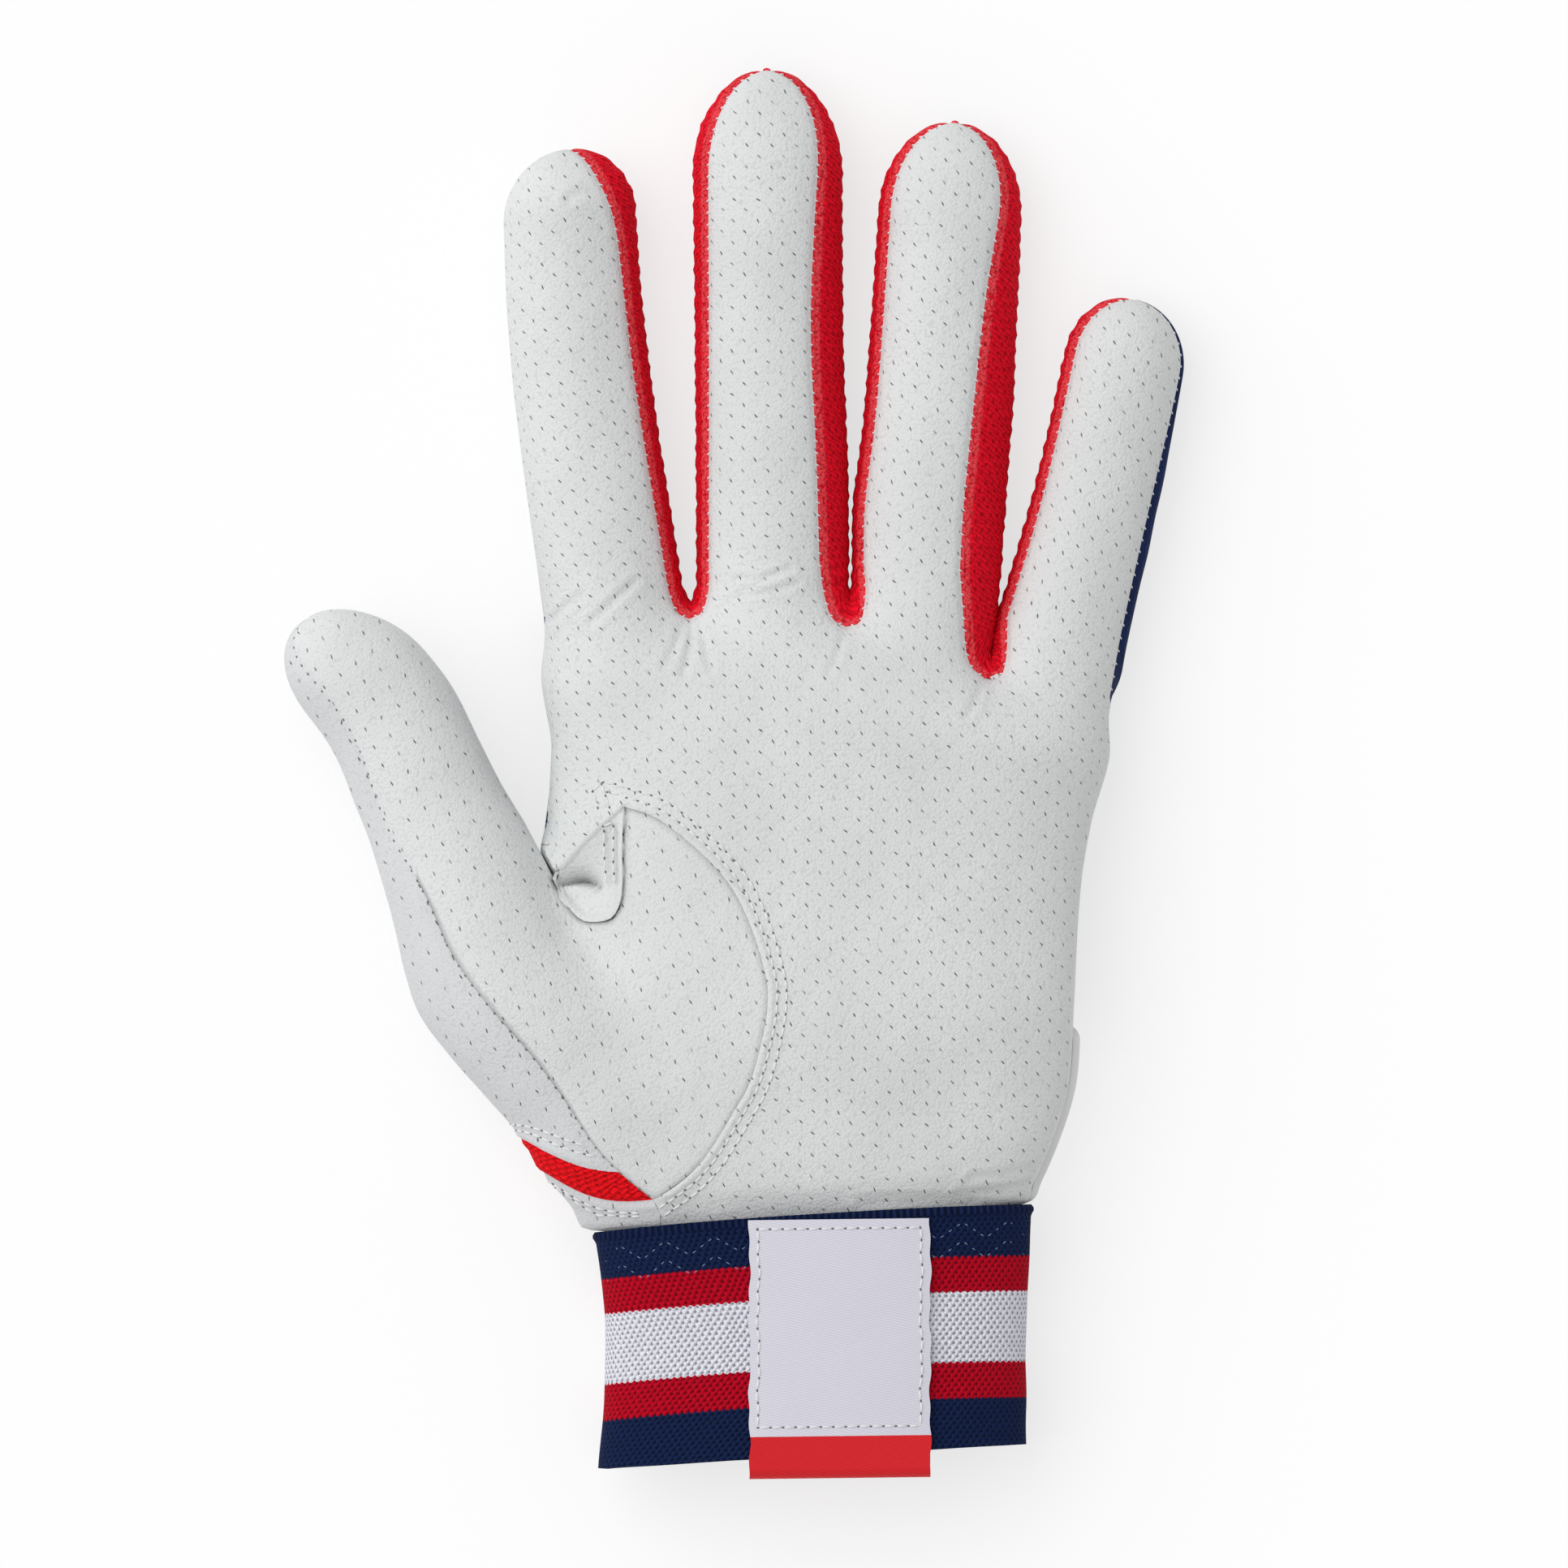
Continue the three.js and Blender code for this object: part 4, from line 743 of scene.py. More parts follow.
def web_line(i):
    """The line through a crotch from the palm side to the back."""
    front, back = root_corner(i + 1, UP), root_corner(i + 1, DOWN)
    shares = np.linspace(0, 1, SIDE_COLUMNS + 1)[:, None]
    line = settle(mix(front[None], back[None], shares), palm_and_fingers_skin)
    line[0], line[-1] = front, back
    return line


def web_climb(i, k, strip):
    """Rows of a web from a crotch up to the root hinge of one of its two fingers."""
    line, hinge = web_line(i), hinge_row(k, strip)
    between = rows_between(line, hinge, STUB_STEPS)
    u = np.linspace(0, 1, len(line))[None]
    swing = crotch_swing(i, line[0], hinge[0])[:, None] * (1 - u) ** 2
    aside = np.append(fingers[k].across, 0) * (LEFT if strip == "right" else RIGHT)
    between = settle(between + swing[..., None] * aside, finger_skins[k])
    return np.concatenate([line[None], between, hinge[None]])


# Thumb, thumb side, wrist and back

def crotch_climb(crotch_row, top_row, edge):
    """Rows on the skin from the thumb crotch up to the hinge, running straight near their inner edge."""
    straight = rows_between(crotch_row, top_row, np.linspace(0, 1, CROTCH_ROW + 1)[1:-1])
    from_edge = np.linspace(0, 1, len(crotch_row))
    if edge == -1:
        from_edge = from_edge[::-1]
    return mix(settle(straight, thumb_skin), straight, eased(1 - from_edge / CROTCH_FADE)[None, :, None])


@functools.cache
def thenar_grids():
    """The thumb front from the crotch to its tip, and the thumb's heel, which runs on under the tongue."""
    flat = thumb_front_hinge[:, :2] @ thumb.across
    shares = (flat - flat[0]) / (flat[-1] - flat[0])
    seam_point = thumb_seam[CROTCH_ROW]
    crotch_row = lift_between(seam_point, thumb_crotch, shares, UP)
    crotch_row[0], crotch_row[-1] = seam_point, thumb_crotch
    between = crotch_climb(crotch_row, thumb_front_hinge, -1)
    between[:, 0] = thumb_seam[CROTCH_ROW - 1:0:-1]
    stall = np.concatenate([crotch_row[None], between, thumb_front_run])
    top = join_rows([crotch_row, tongue_top])
    foot = np.broadcast_to(thumb_seam[-1], top.shape)
    heel = patch(top, foot, thumb_seam[CROTCH_ROW:], palm_arc, UP)
    return stall, heel


@functools.cache
def tongue_grid():
    """The leather tongue in the thumb crotch, between its crease and its rim."""
    v = np.linspace(0, 1, TONGUE_ROWS + 1)[:, None]
    flat = mix(tongue_top[None, :, :2], tongue_rim[None, :, :2], v[..., None])
    grid = lift(flat[..., 0], flat[..., 1], UP)
    across = np.sin(np.linspace(0, math.pi, TONGUE_COLUMNS + 1))[None]
    grid[..., 2] -= TONGUE_DIP * np.sin(math.pi * v) * across
    grid[:, 0], grid[:, -1] = thumb_crotch, arc_top
    grid[0], grid[-1] = tongue_top, tongue_rim
    return grid


back_seam_foot = at_level(BACK_SEAM_FOOT_X, COLLAR_LEVELS[0])
back_seam_at = curve_through((crotch_flat,) + BACK_THUMB_SEAM + (back_seam_foot,))


def wrap_row(back_place, edge, front_point, sag):
    """A row round the thumb side: from a place on the back, round the outline, to a place on the front."""
    share = (1 - np.cos(np.linspace(0, math.pi, BACK_WRAP_COLUMNS + 1)[:-1])) / 2
    behind = lift_between(back_place, edge, share, DOWN)
    share = 1 - np.cos(np.linspace(0, math.pi / 2, FRONT_WRAP_COLUMNS + 1)[1:-1])
    drop = sag * np.sin(math.pi * share)
    before = lift(mix(edge[0], front_point[0], share), mix(edge[1], front_point[1], share) - drop, UP)
    return np.concatenate([behind, edge[None], before, front_point[None]])


def side_row(i, edge_y, back_share, sag):
    """A row round the thumb side to a point of the thumb seam, past the outline at a height."""
    return wrap_row(back_seam_at(back_share), palm_edge(edge_y, LEFT, hand_skin), thumb_seam[i], sag)


@functools.cache
def thumb_side_grids():
    """The thumb-side leather from the tip of the thumb to the hem, the mesh vent and the wrist band."""
    top_edge_y = thumb.point(np.array(thumb_hinge), np.array(THUMB_OUTER_ANGLE))[1]
    side = []
    for i in range(CROTCH_ROW, HEM_ROW + 1):
        share = i / HEM_ROW
        back_share = HEM_BACK_SHARE * (i - CROTCH_ROW) / (HEM_ROW - CROTCH_ROW)
        side.append(side_row(i, mix(top_edge_y, HEM_EDGE_Y, share), back_share, HEM_SAG * share))
    side = np.array(side)
    side[0, 0] = thumb_crotch
    between = crotch_climb(side[0], thumb_back_hinge, 0)
    between[:, -1] = thumb_seam[CROTCH_ROW - 1:0:-1]
    stall = np.concatenate([side[:1], between, thumb_back_run])
    vent = [side[-1]]
    for i in range(HEM_ROW + 1, HEEL_ROWS + 1):
        share = (i - HEM_ROW) / (HEEL_ROWS - HEM_ROW)
        back_share = mix(HEM_BACK_SHARE, VENT_BACK_SHARE, share)
        sag = mix(HEM_SAG, VENT_SAG, share)
        vent.append(side_row(i, mix(HEM_EDGE_Y, VENT_EDGE_Y, share), back_share, sag))
    vent = np.array(vent)
    collar = []
    for level, edge in zip(COLLAR_LEVELS, collar_left):
        front_point = lift(*at_level(float(COLLAR_FRONT_X), level), UP)
        collar.append(wrap_row(at_level(BACK_SEAM_FOOT_X, level), edge, front_point, 0))
    run = settle(rows_between(vent[-1], collar[0], np.linspace(0, 1, BAND_ROWS + 1)[:-1]), hand_skin)
    run[0] = vent[-1]
    band = np.concatenate([run, np.array(collar)])
    return stall, side, vent, band


@functools.cache
def back_grids():
    """The stretch back below the finger roots, and its collar."""
    _, side, vent, band = thumb_side_grids()
    top = join_rows([finger_stub(i, DOWN)[0] for i in range(len(fingers))])
    collar = collar_rows(BACK_SEAM_FOOT_X, length_shares(top), DOWN)
    left = np.concatenate([palm_left[:-1], side[:, 0], vent[1:, 0], band[1:BAND_ROWS, 0], collar[0][:1]])
    right = edge_rows(LITTLE_ROOT_EDGE_Y, collar_right[0][1], RIGHT, len(left) - 1)
    right[-1] = collar_right[0]
    return patch(top, collar[0], left, right, DOWN), collar


# Cuff, label and closure

CUFF_TOP = -71.8
CUFF_BOTTOM = -110.2
CUFF_CENTRE_X = ((-111, 12.5), (-91, 13.2), (-72, 12.7))
CUFF_HALF_WIDTH = ((-111, 34.6), (-91, 34), (-72, 35.2))
CUFF_HALF_DEPTH = 12
CUFF_CENTRE_Z = 11.5
CUFF_ROUNDNESS = 2.5
CUFF_FRONT_RISE = 0.7
CUFF_TILT = 0.3
CUFF_ROWS = 80
CUFF_SEGMENTS = 240
CUFF_ANGLES = np.linspace(0, TURN, CUFF_SEGMENTS + 1)
CUFF_ROLL_WIDTH = 1.6
CUFF_ROLL_HEIGHT = 0.45
ZIGZAG_DEPTHS = ((2.6, 5.2), (5.6, 8.4))

LABEL_LEFT = 2.4
LABEL_RIGHT = 31.6
LABEL_SLOPE = 0.012
LABEL_TOP = -72
LABEL_FOLD_LINE = -107
LABEL_END = -113.8
LABEL_STANDOFF = 0.3
# The label's edges wave: how far, and by what angle for each millimetre.
LABEL_WAVE = 0.12
LABEL_WAVE_TURNS = (0.45, 1.15)
LABEL_RETURN = 9
LABEL_COLUMNS = 60
LABEL_ROWS = 70
LABEL_FRAME_INSET = 1.7
FOLD_STEPS = 24

TAB_HINGE_X = -4
TAB_TOP_Y = -41
TAB_BOTTOM_Y = -69.5
TAB_CORNER = 2
TAB_RISE_LENGTH = 5
TAB_FALL_LENGTH = 6
TAB_OVERHANG = 1.2
TAB_COLUMNS = 90
TAB_ROWS = 54
TAB_RIB_PITCH = 3.4
TAB_RIB_HEIGHT = 0.35
TAB_RIB_ENDS = (4, 42)
TAB_RIB_FADE = 2
LAYER_GAP = 0.5
PATCH_LEFT_X = 2
PATCH_RIGHT_X = 40
PATCH_TOP_Y = -45
PATCH_BOTTOM_Y = -62
PATCH_STEPS = 40

# Cloth thickness by material slot.
THICKNESS = {
    "palm_leather": 0.8, "plain_leather": 0.8, "red_mesh": 0.7, "navy_stretch": 0.8, "cuff_knit": 1.6,
    "label_weave": 0.6, "label_red": 0.6, "moulded_rubber": 1.3, "hook_plastic": 0.6, "loop_pile": 0.6,
}


def cuff_skin(p):
    level = up_hand(p[..., 0], p[..., 1])
    across = p[..., 0] - read_table(CUFF_CENTRE_X, level)
    half_width = read_table(CUFF_HALF_WIDTH, level)
    up = p[..., 2] - CUFF_CENTRE_Z
    return above_floor(section_distance(across, 0, up, half_width, 1, CUFF_HALF_DEPTH, CUFF_ROUNDNESS), p)


def cuff_point(level, angle):
    def power(v):
        return np.sign(v) * np.abs(v) ** (2 / CUFF_ROUNDNESS)
    x = read_table(CUFF_CENTRE_X, level) + read_table(CUFF_HALF_WIDTH, level) * power(np.sin(angle))
    z = CUFF_CENTRE_Z + CUFF_HALF_DEPTH * power(np.cos(angle))
    x, y = at_level(x, level)
    return np.stack([x, y, np.maximum(0, z)], axis=-1)


def cuff_levels(share, angle):
    """Levels down the cuff. Its top edge stands a little higher in front and lower on the thumb side."""
    top = CUFF_TOP + CUFF_FRONT_RISE * np.maximum(0, np.cos(angle)) ** 2 + CUFF_TILT * np.sin(angle)
    return mix(top, CUFF_BOTTOM, share)


@functools.cache
def cuff_grid():
    share = np.linspace(0, 1, CUFF_ROWS + 1)[:, None]
    angle = CUFF_ANGLES[None, :]
    level, angle = np.broadcast_arrays(cuff_levels(share, angle), angle)
    grid = cuff_point(level, angle)
    grid[:, -1] = grid[:, 0]
    return grid


def label_row(level, height):
    wave = LABEL_WAVE * sum(np.sin(turn * level) for turn in LABEL_WAVE_TURNS)
    x = np.linspace(LABEL_LEFT, LABEL_RIGHT, LABEL_COLUMNS + 1) + wave
    y = level + LABEL_SLOPE * (x - WRIST_CENTRE_X)
    start = np.stack([x, y, np.full_like(x, CUFF_CENTRE_Z)], axis=-1)
    return last_inside(start, np.array([0.0, 0.0, 1.0]), cuff_skin, height)


def label_grid():
    outer = LABEL_STANDOFF + THICKNESS["label_weave"]
    levels = np.linspace(LABEL_TOP, LABEL_FOLD_LINE, LABEL_ROWS + 1)
    return np.array([label_row(level, outer) for level in levels])


def fold_grids():
    """The outer and inner face of the red label end, folded round the lower edge of the cuff."""
    thick = THICKNESS["label_red"]
    outer = LABEL_STANDOFF + thick
    return_face = -THICKNESS["cuff_knit"] - LABEL_STANDOFF - thick
    bend, middle = (outer - return_face) / 2, (outer + return_face) / 2
    bend_level = LABEL_END + bend

    def rows_at(radius):
        turn = np.linspace(0, math.pi, FOLD_STEPS + 1)
        down = np.linspace(LABEL_FOLD_LINE, bend_level, FOLD_STEPS // 2, endpoint=False)
        level = np.concatenate([down, bend_level - radius * np.sin(turn), [bend_level + LABEL_RETURN]])
        face = np.full_like(down, middle + radius)
        height = np.concatenate([face, middle + radius * np.cos(turn), [middle - radius]])
        return np.array([label_row(*place) for place in zip(level, height)])

    return rows_at(bend), rows_at(bend - thick)


LOOP_OUTER = LAYER_GAP + THICKNESS["loop_pile"]
HOOK_OUTER = LOOP_OUTER + LAYER_GAP + THICKNESS["hook_plastic"]
TAB_OUTER = HOOK_OUTER + LAYER_GAP + THICKNESS["moulded_rubber"]


def patch_grid(outer):
    x, y = np.meshgrid(
        np.linspace(PATCH_LEFT_X, PATCH_RIGHT_X, 2 * PATCH_STEPS + 1),
        np.linspace(PATCH_TOP_Y, PATCH_BOTTOM_Y, PATCH_STEPS + 1),
    )
    return lift(x, y, DOWN, hand_skin, outer)


def tab_grid():
    y = np.linspace(TAB_TOP_Y, TAB_BOTTOM_Y, TAB_ROWS + 1)
    from_corner = np.minimum(y - TAB_BOTTOM_Y, TAB_TOP_Y - y)
    cut = np.maximum(0, TAB_CORNER - from_corner)
    end_x = palm_edge(y, RIGHT)[:, 0] + TAB_OVERHANG - cut * cut / (2 * TAB_CORNER)
    x = mix(TAB_HINGE_X, end_x[:, None], np.linspace(0, 1, TAB_COLUMNS + 1)[None])
    rise = np.clip((x - TAB_HINGE_X) / TAB_RISE_LENGTH, 0, 1)
    fall = eased((x - PATCH_RIGHT_X - LAYER_GAP) / TAB_FALL_LENGTH)
    level = mix(LAYER_GAP + THICKNESS["moulded_rubber"], TAB_OUTER, rise * (1 - fall))
    return lift(x, np.broadcast_to(y[:, None], x.shape), DOWN, hand_skin, level)


# Relief of the skin: seams, lapped edges, creases and puckers

SEAM_DEPTH = 0.4
SEAM_WIDTH = 0.7
CALM_WIDTH = 2.5
LAP_HEIGHT = 0.3
LAP_WIDTH = 2.6
LIP_HEIGHT = 0.3
LIP_WIDTH = 1.3
CREASE_LIP = 0.5
POCKET_DEPTH = 6
POCKET_EDGE = 1.6
FOLD_DEPTH = 2.4
FOLD_SLOPE = 1.7
FOLD_STEP = 0.3
HEM_ROLL_WIDTH = 1.9
HEM_ROLL_HEIGHT = 0.35
MESH_BUMP_PITCH = 2.6
MESH_BUMP_HEIGHT = 0.14
SEAM_STEP = 0.4
CREASE_POINTS = 12

# Unevenness of the skins: size and height of each ripple, and where in the noise it starts.
PALM_RIPPLES = ((13, 0.3, 0), (4.5, 0.1, 7.3))
THUMB_RIPPLES = ((11, 0.35, 3.1), (4, 0.1, 1.7))
SIDE_RIPPLES = THUMB_RIPPLES[:1]
STRIP_RIPPLES = ((3, 0.12, 5.5),)
BACK_RIPPLES = ((9, 0.25, 2.2),)
CUFF_RIPPLES = ((9, 0.3, 4.4),)
LABEL_RIPPLES = ((12, 0.15, 9.1),)

# Painted shade, laid into the leather's colour: how dark it is, from 0 to 1, and how far it reaches.
FOLD_SHADES = ((0.5, 0.45), (0.45, 1.8))
FOLD_STEP_SHADE = 0.5
FOLD_SHADE_ENDS = 0.6
TONGUE_LINE_SHADE = (0.3, 0.3)
LAP_SHADE = (0.3, 0.6)
THUMB_SEAM_SHADE = (0.55, 0.3)

# The arched fold in the tongue, as X and Y.
TONGUE_FOLD = ((-29.2, -19.4), (-28.2, -18.2), (-25.4, -17.6), (-22.4, -18.2), (-20.9, -19.2))

# Creases of the palm leather: points in picture pixels, depth and half width in millimetres.
CREASES = (
    (((728, 769), (755, 742), (782, 717)), 0.4, 0.6),
    (((679, 766), (698, 748), (717, 733)), 0.3, 0.6),
    (((884, 742), (940, 731), (984, 719)), 0.28, 0.5),
    (((915, 729), (940, 716), (960, 708)), 0.25, 0.5),
    (((905, 713), (935, 712), (975, 700)), 0.28, 0.5),
    (((852, 770), (850, 800), (843, 830)), 0.25, 0.6),
    (((842, 768), (832, 796), (818, 822)), 0.25, 0.6),
    (((862, 769), (870, 800), (876, 826)), 0.25, 0.6),
    (((1040, 778), (1032, 806), (1020, 830)), 0.2, 0.6),
    (((1212, 840), (1202, 864), (1190, 884)), 0.2, 0.6),
    (((700, 246), (720, 235), (742, 238)), 0.35, 0.7),
    (((1195, 1452), (1240, 1446), (1285, 1436)), 0.35, 0.6),
    (((1180, 1470), (1232, 1464), (1280, 1456)), 0.35, 0.6),
    (((1060, 1482), (1130, 1476), (1200, 1480)), 0.3, 0.6),
)


def from_picture(points):
    """Frame places of picture pixels."""
    pixels = np.array(points, float)
    x = (pixels[:, 0] - ORIGIN_PIXEL[0]) * PIXEL
    y = (ORIGIN_PIXEL[1] - pixels[:, 1]) * PIXEL
    return np.stack([x, y], -1)


def finger_rows(i, strip):
    """All the rows of a finger's front or back strip, left to right, from its root row over its tip."""
    if strip == "front":
        return np.concatenate([finger_stub(i, UP), root_run(i, strip)]), tip_run(i, strip)
    return np.concatenate([finger_stub(i, DOWN), root_run(i, strip)[:, ::-1]]), tip_run(i, strip)[:, ::-1]


@functools.cache
def finger_strips():
    return {(i, strip): finger_rows(i, strip) for i in range(len(fingers)) for strip in ("front", "back")}


def read_row(row, lengths, at):
    """Places at lengths along a row of points."""
    return np.stack([np.interp(at, lengths, row[:, k]) for k in range(3)], -1)


def close_points(row):
    """Points at a fixed small step along a row of points."""
    lengths = run_lengths(row)
    return read_row(row, lengths, np.arange(0, lengths[-1], SEAM_STEP))


def tree_of(rows):
    """A tree that finds the nearest place on some rows of points."""
    points = np.concatenate([close_points(row) for row in rows])
    tree = kdtree.KDTree(len(points))
    for number, point in enumerate(points):
        tree.insert(point, number)
    tree.balance()
    return tree


def distance_to(tree, p):
    return np.array([tree.find(Vector(point))[2] for point in p.reshape(-1, 3)]).reshape(p.shape[:-1])


@functools.cache
def seam_tree():
    """The sewn seams of the glove that lie in a small valley."""
    _, side, vent, band = thumb_side_grids()
    thenar_stall, _ = thenar_grids()
    rows = [thumb_seam, vent[-1], thenar_stall[:, 0]]
    rows.append(np.concatenate([side[:, 0], vent[:, 0], band[:, 0]]))
    for root, tip in finger_strips().values():
        rows += [root[:, 0], root[:, -1], tip[:, 0], tip[:, -1]]
    return tree_of(rows)


@functools.cache
def border_tree():
    """The outline seams, where the leather of the palm and thumb meets the back without a valley."""
    right = edge_rows(LITTLE_ROOT_EDGE_Y, collar_right[0][1], RIGHT, HEEL_ROWS)
    return tree_of([palm_left, right, np.array(collar_right), thenar_grids()[0][:, -1]])


@functools.cache
def lap_tree():
    """The edge of the palm leather and its tongue that laps over the thumb piece."""
    return tree_of([palm_arc, tongue_rim])


@functools.cache
def hem_tree():
    """The hem of the thumb side and the top edge of the wrist band."""
    _, side, vent, _ = thumb_side_grids()
    return tree_of([side[-1], vent[-1]])


def bell(distance, width):
    return np.exp(-(distance / width) ** 2)


def rolled(distance, width, height):
    """A rounded roll along an edge, as high as given half way across its width."""
    return height * np.maximum(0, 1 - (2 * distance / width - 1) ** 2)


def shaded(distance, darkness, reach):
    return darkness * bell(distance, reach)


def seam_valley(p):
    return -SEAM_DEPTH * bell(distance_to(seam_tree(), p), SEAM_WIDTH)


def calm(p):
    """0 at the seams, where neighbours must meet, and 1 away from them."""
    nearest = np.minimum(distance_to(seam_tree(), p), distance_to(border_tree(), p))
    return 1 - bell(nearest, CALM_WIDTH)


def ripple(p, size, height, start):
    shift = Vector((start, start, start))
    values = [noise.noise(Vector(point) / size + shift) for point in p.reshape(-1, 3)]
    return height * np.array(values).reshape(p.shape[:-1])


def uneven(p, ripples, base=0):
    """Soft unevenness: ripples of some sizes on top of a base."""
    return sum((ripple(p, *sizes) for sizes in ripples), base)


def flat_distance(p, line):
    """Distance in the picture plane to a broken line."""
    best = np.full(p.shape[:-1], np.inf)
    for start, end in zip(line[:-1], line[1:]):
        run = end - start
        offset = p[..., :2] - start
        t = np.clip(offset @ run / (run @ run), 0, 1)
        best = np.minimum(best, np.linalg.norm(offset - t[..., None] * run, axis=-1))
    return best


def creases(p):
    """The creases of the palm leather, each a groove between two low lips."""
    height = np.zeros(p.shape[:-1])
    for points, depth, width in CREASES:
        line = curve_through(from_picture(points))(np.linspace(0, 1, CREASE_POINTS))
        away = flat_distance(p, line)
        height += depth * (CREASE_LIP * bell(away - 2 * width, width) - bell(away, width))
    return height


def tongue_outline():
    return np.concatenate([tongue_rim[:, :2], tongue_top[::-1, :2]])


def inside_outline(p, outline):
    """Whether places lie inside a flat outline."""
    x, y = p[..., 0], p[..., 1]
    inside = np.zeros(x.shape, bool)
    for (x0, y0), (x1, y1) in zip(outline, np.roll(outline, -1, axis=0)):
        if y0 != y1:
            crosses = (y0 > y) != (y1 > y)
            inside ^= crosses & (x < x0 + (y - y0) * (x1 - x0) / (y1 - y0))
    return inside


def fold_place(p):
    """How far along the arched fold places lie, how far above it, and whether on the tongue."""
    left, right = TONGUE_FOLD[0][0], TONGUE_FOLD[-1][0]
    along = np.clip((p[..., 0] - left) / (right - left), 0, 1)
    above = p[..., 1] - read_table(TONGUE_FOLD, p[..., 0])
    return along, above, inside_outline(p, tongue_outline())


def tongue_fold(p):
    """The arched fold: a slope down to a sharp step."""
    along, above, inside = fold_place(p)
    shape = np.where(above > 0, np.exp(-np.abs(above) / FOLD_SLOPE), bell(above, FOLD_STEP))
    return -FOLD_DEPTH * np.sin(math.pi * along) * shape * inside


def palm_relief(p):
    from_lap = distance_to(lap_tree(), p)
    lap = LAP_HEIGHT * bell(from_lap, LAP_WIDTH) + rolled(from_lap, LIP_WIDTH, LIP_HEIGHT)
    return seam_valley(p) + calm(p) * (lap + uneven(p, PALM_RIPPLES, creases(p))) + tongue_fold(p)


def palm_painted_shade(p):
    """Painted shade in the arched fold and on the line where the tongue leaves the palm."""
    along, above, inside = fold_place(p)
    deep = sum(darkness * np.exp(-np.abs(above) / reach) for darkness, reach in FOLD_SHADES)
    fold = np.where(above > 0, deep, shaded(above, FOLD_STEP_SHADE, FOLD_STEP))
    fold = fold * np.sin(math.pi * along) ** FOLD_SHADE_ENDS * inside
    return np.maximum(fold, shaded(flat_distance(p, tongue_top[:, :2]), *TONGUE_LINE_SHADE))


def thumb_painted_shade(p):
    """Painted shade under the lapped edge and in the thumb seam."""
    under = shaded(distance_to(lap_tree(), p), *LAP_SHADE)
    return np.maximum(under, shaded(distance_to(tree_of([thumb_seam]), p), *THUMB_SEAM_SHADE))


def pocket(p):
    """Sinks the thumb leather under the tongue."""
    from_rim = flat_distance(p, tongue_rim[:, :2])
    return -POCKET_DEPTH * eased(from_rim / POCKET_EDGE) * inside_outline(p, tongue_outline())


def thumb_relief(p):
    return seam_valley(p) + calm(p) * uneven(p, THUMB_RIPPLES) + pocket(p)


def side_relief(p):
    hem = rolled(distance_to(hem_tree(), p), HEM_ROLL_WIDTH, HEM_ROLL_HEIGHT)
    return seam_valley(p) + calm(p) * (uneven(p, SIDE_RIPPLES) + hem)


def strip_relief(p):
    bumps = MESH_BUMP_HEIGHT * np.sin(TURN * p[..., 1] / MESH_BUMP_PITCH)
    return seam_valley(p) + calm(p) * (uneven(p, STRIP_RIPPLES) + bumps)


def back_relief(p):
    return seam_valley(p) + calm(p) * uneven(p, BACK_RIPPLES)


def cuff_relief(p):
    angle = np.arctan2(p[..., 0] - WRIST_CENTRE_X, p[..., 2] - CUFF_CENTRE_Z)
    below = cuff_levels(0, angle) - up_hand(p[..., 0], p[..., 1])
    return rolled(below, CUFF_ROLL_WIDTH, CUFF_ROLL_HEIGHT) + uneven(p, CUFF_RIPPLES)


def label_relief(p):
    return uneven(p, LABEL_RIPPLES)


def tab_relief(p):
    from_edge = np.minimum(p[..., 1] - TAB_BOTTOM_Y, TAB_TOP_Y - p[..., 1])
    ribs = TAB_RIB_HEIGHT * np.maximum(0, np.cos(TURN * p[..., 1] / TAB_RIB_PITCH))
    left, right = TAB_RIB_ENDS
    ends = eased((p[..., 0] - left) / TAB_RIB_FADE) * eased((right - p[..., 0]) / TAB_RIB_FADE)
    return ribs * eased(from_edge / TAB_RIB_FADE - 1) * ends


def no_relief(p):
    return np.zeros(p.shape[:-1])


# Sheets: grids welded together, pressed in and out, and cut into pieces

WELD_PER_MM = 1000
OWN = 0
THREAD = 1
# HOLE: small bars coloured as painted shade, standing for needle holes.
HOLE = 2
SIDES = 6
# Rings of a stitch: the place along its half length, and the share of its radius.
STITCH_STATIONS = ((-1, 0.3), (-0.72, 0.85), (0, 1), (0.72, 0.85), (1, 0.3))
STITCH_SINK = 0.35
STITCH_END_TURN = 0.6
HOLE_WIDTH_SHARE = 0.9


def flat_chart(grid):
    return grid[..., :2].copy()


def arc_chart(grid):
    """A flat layout by lengths: across each row from its first point, and along the middle column."""
    u = np.array([run_lengths(row) for row in grid])
    v = run_lengths(grid[:, grid.shape[1] // 2])
    return np.stack([u, np.broadcast_to(v[:, None], u.shape)], -1)


ARC_SAMPLES = 200
PALM_ASPECT = 0.28
FINGER_ASPECT = 0.75
CHART_START = 2
CHART_RUN = 14


def arc_share(t, aspect, roundness):
    """Length along a rounded section from its middle, as a share of its half width."""
    x = np.sin(np.linspace(0, math.pi / 2, ARC_SAMPLES))
    z = aspect * np.maximum(0, 1 - x ** roundness) ** (1 / roundness)
    lengths = run_lengths(np.stack([x, z], -1))
    return np.sign(t) * np.interp(np.abs(t), x, lengths)


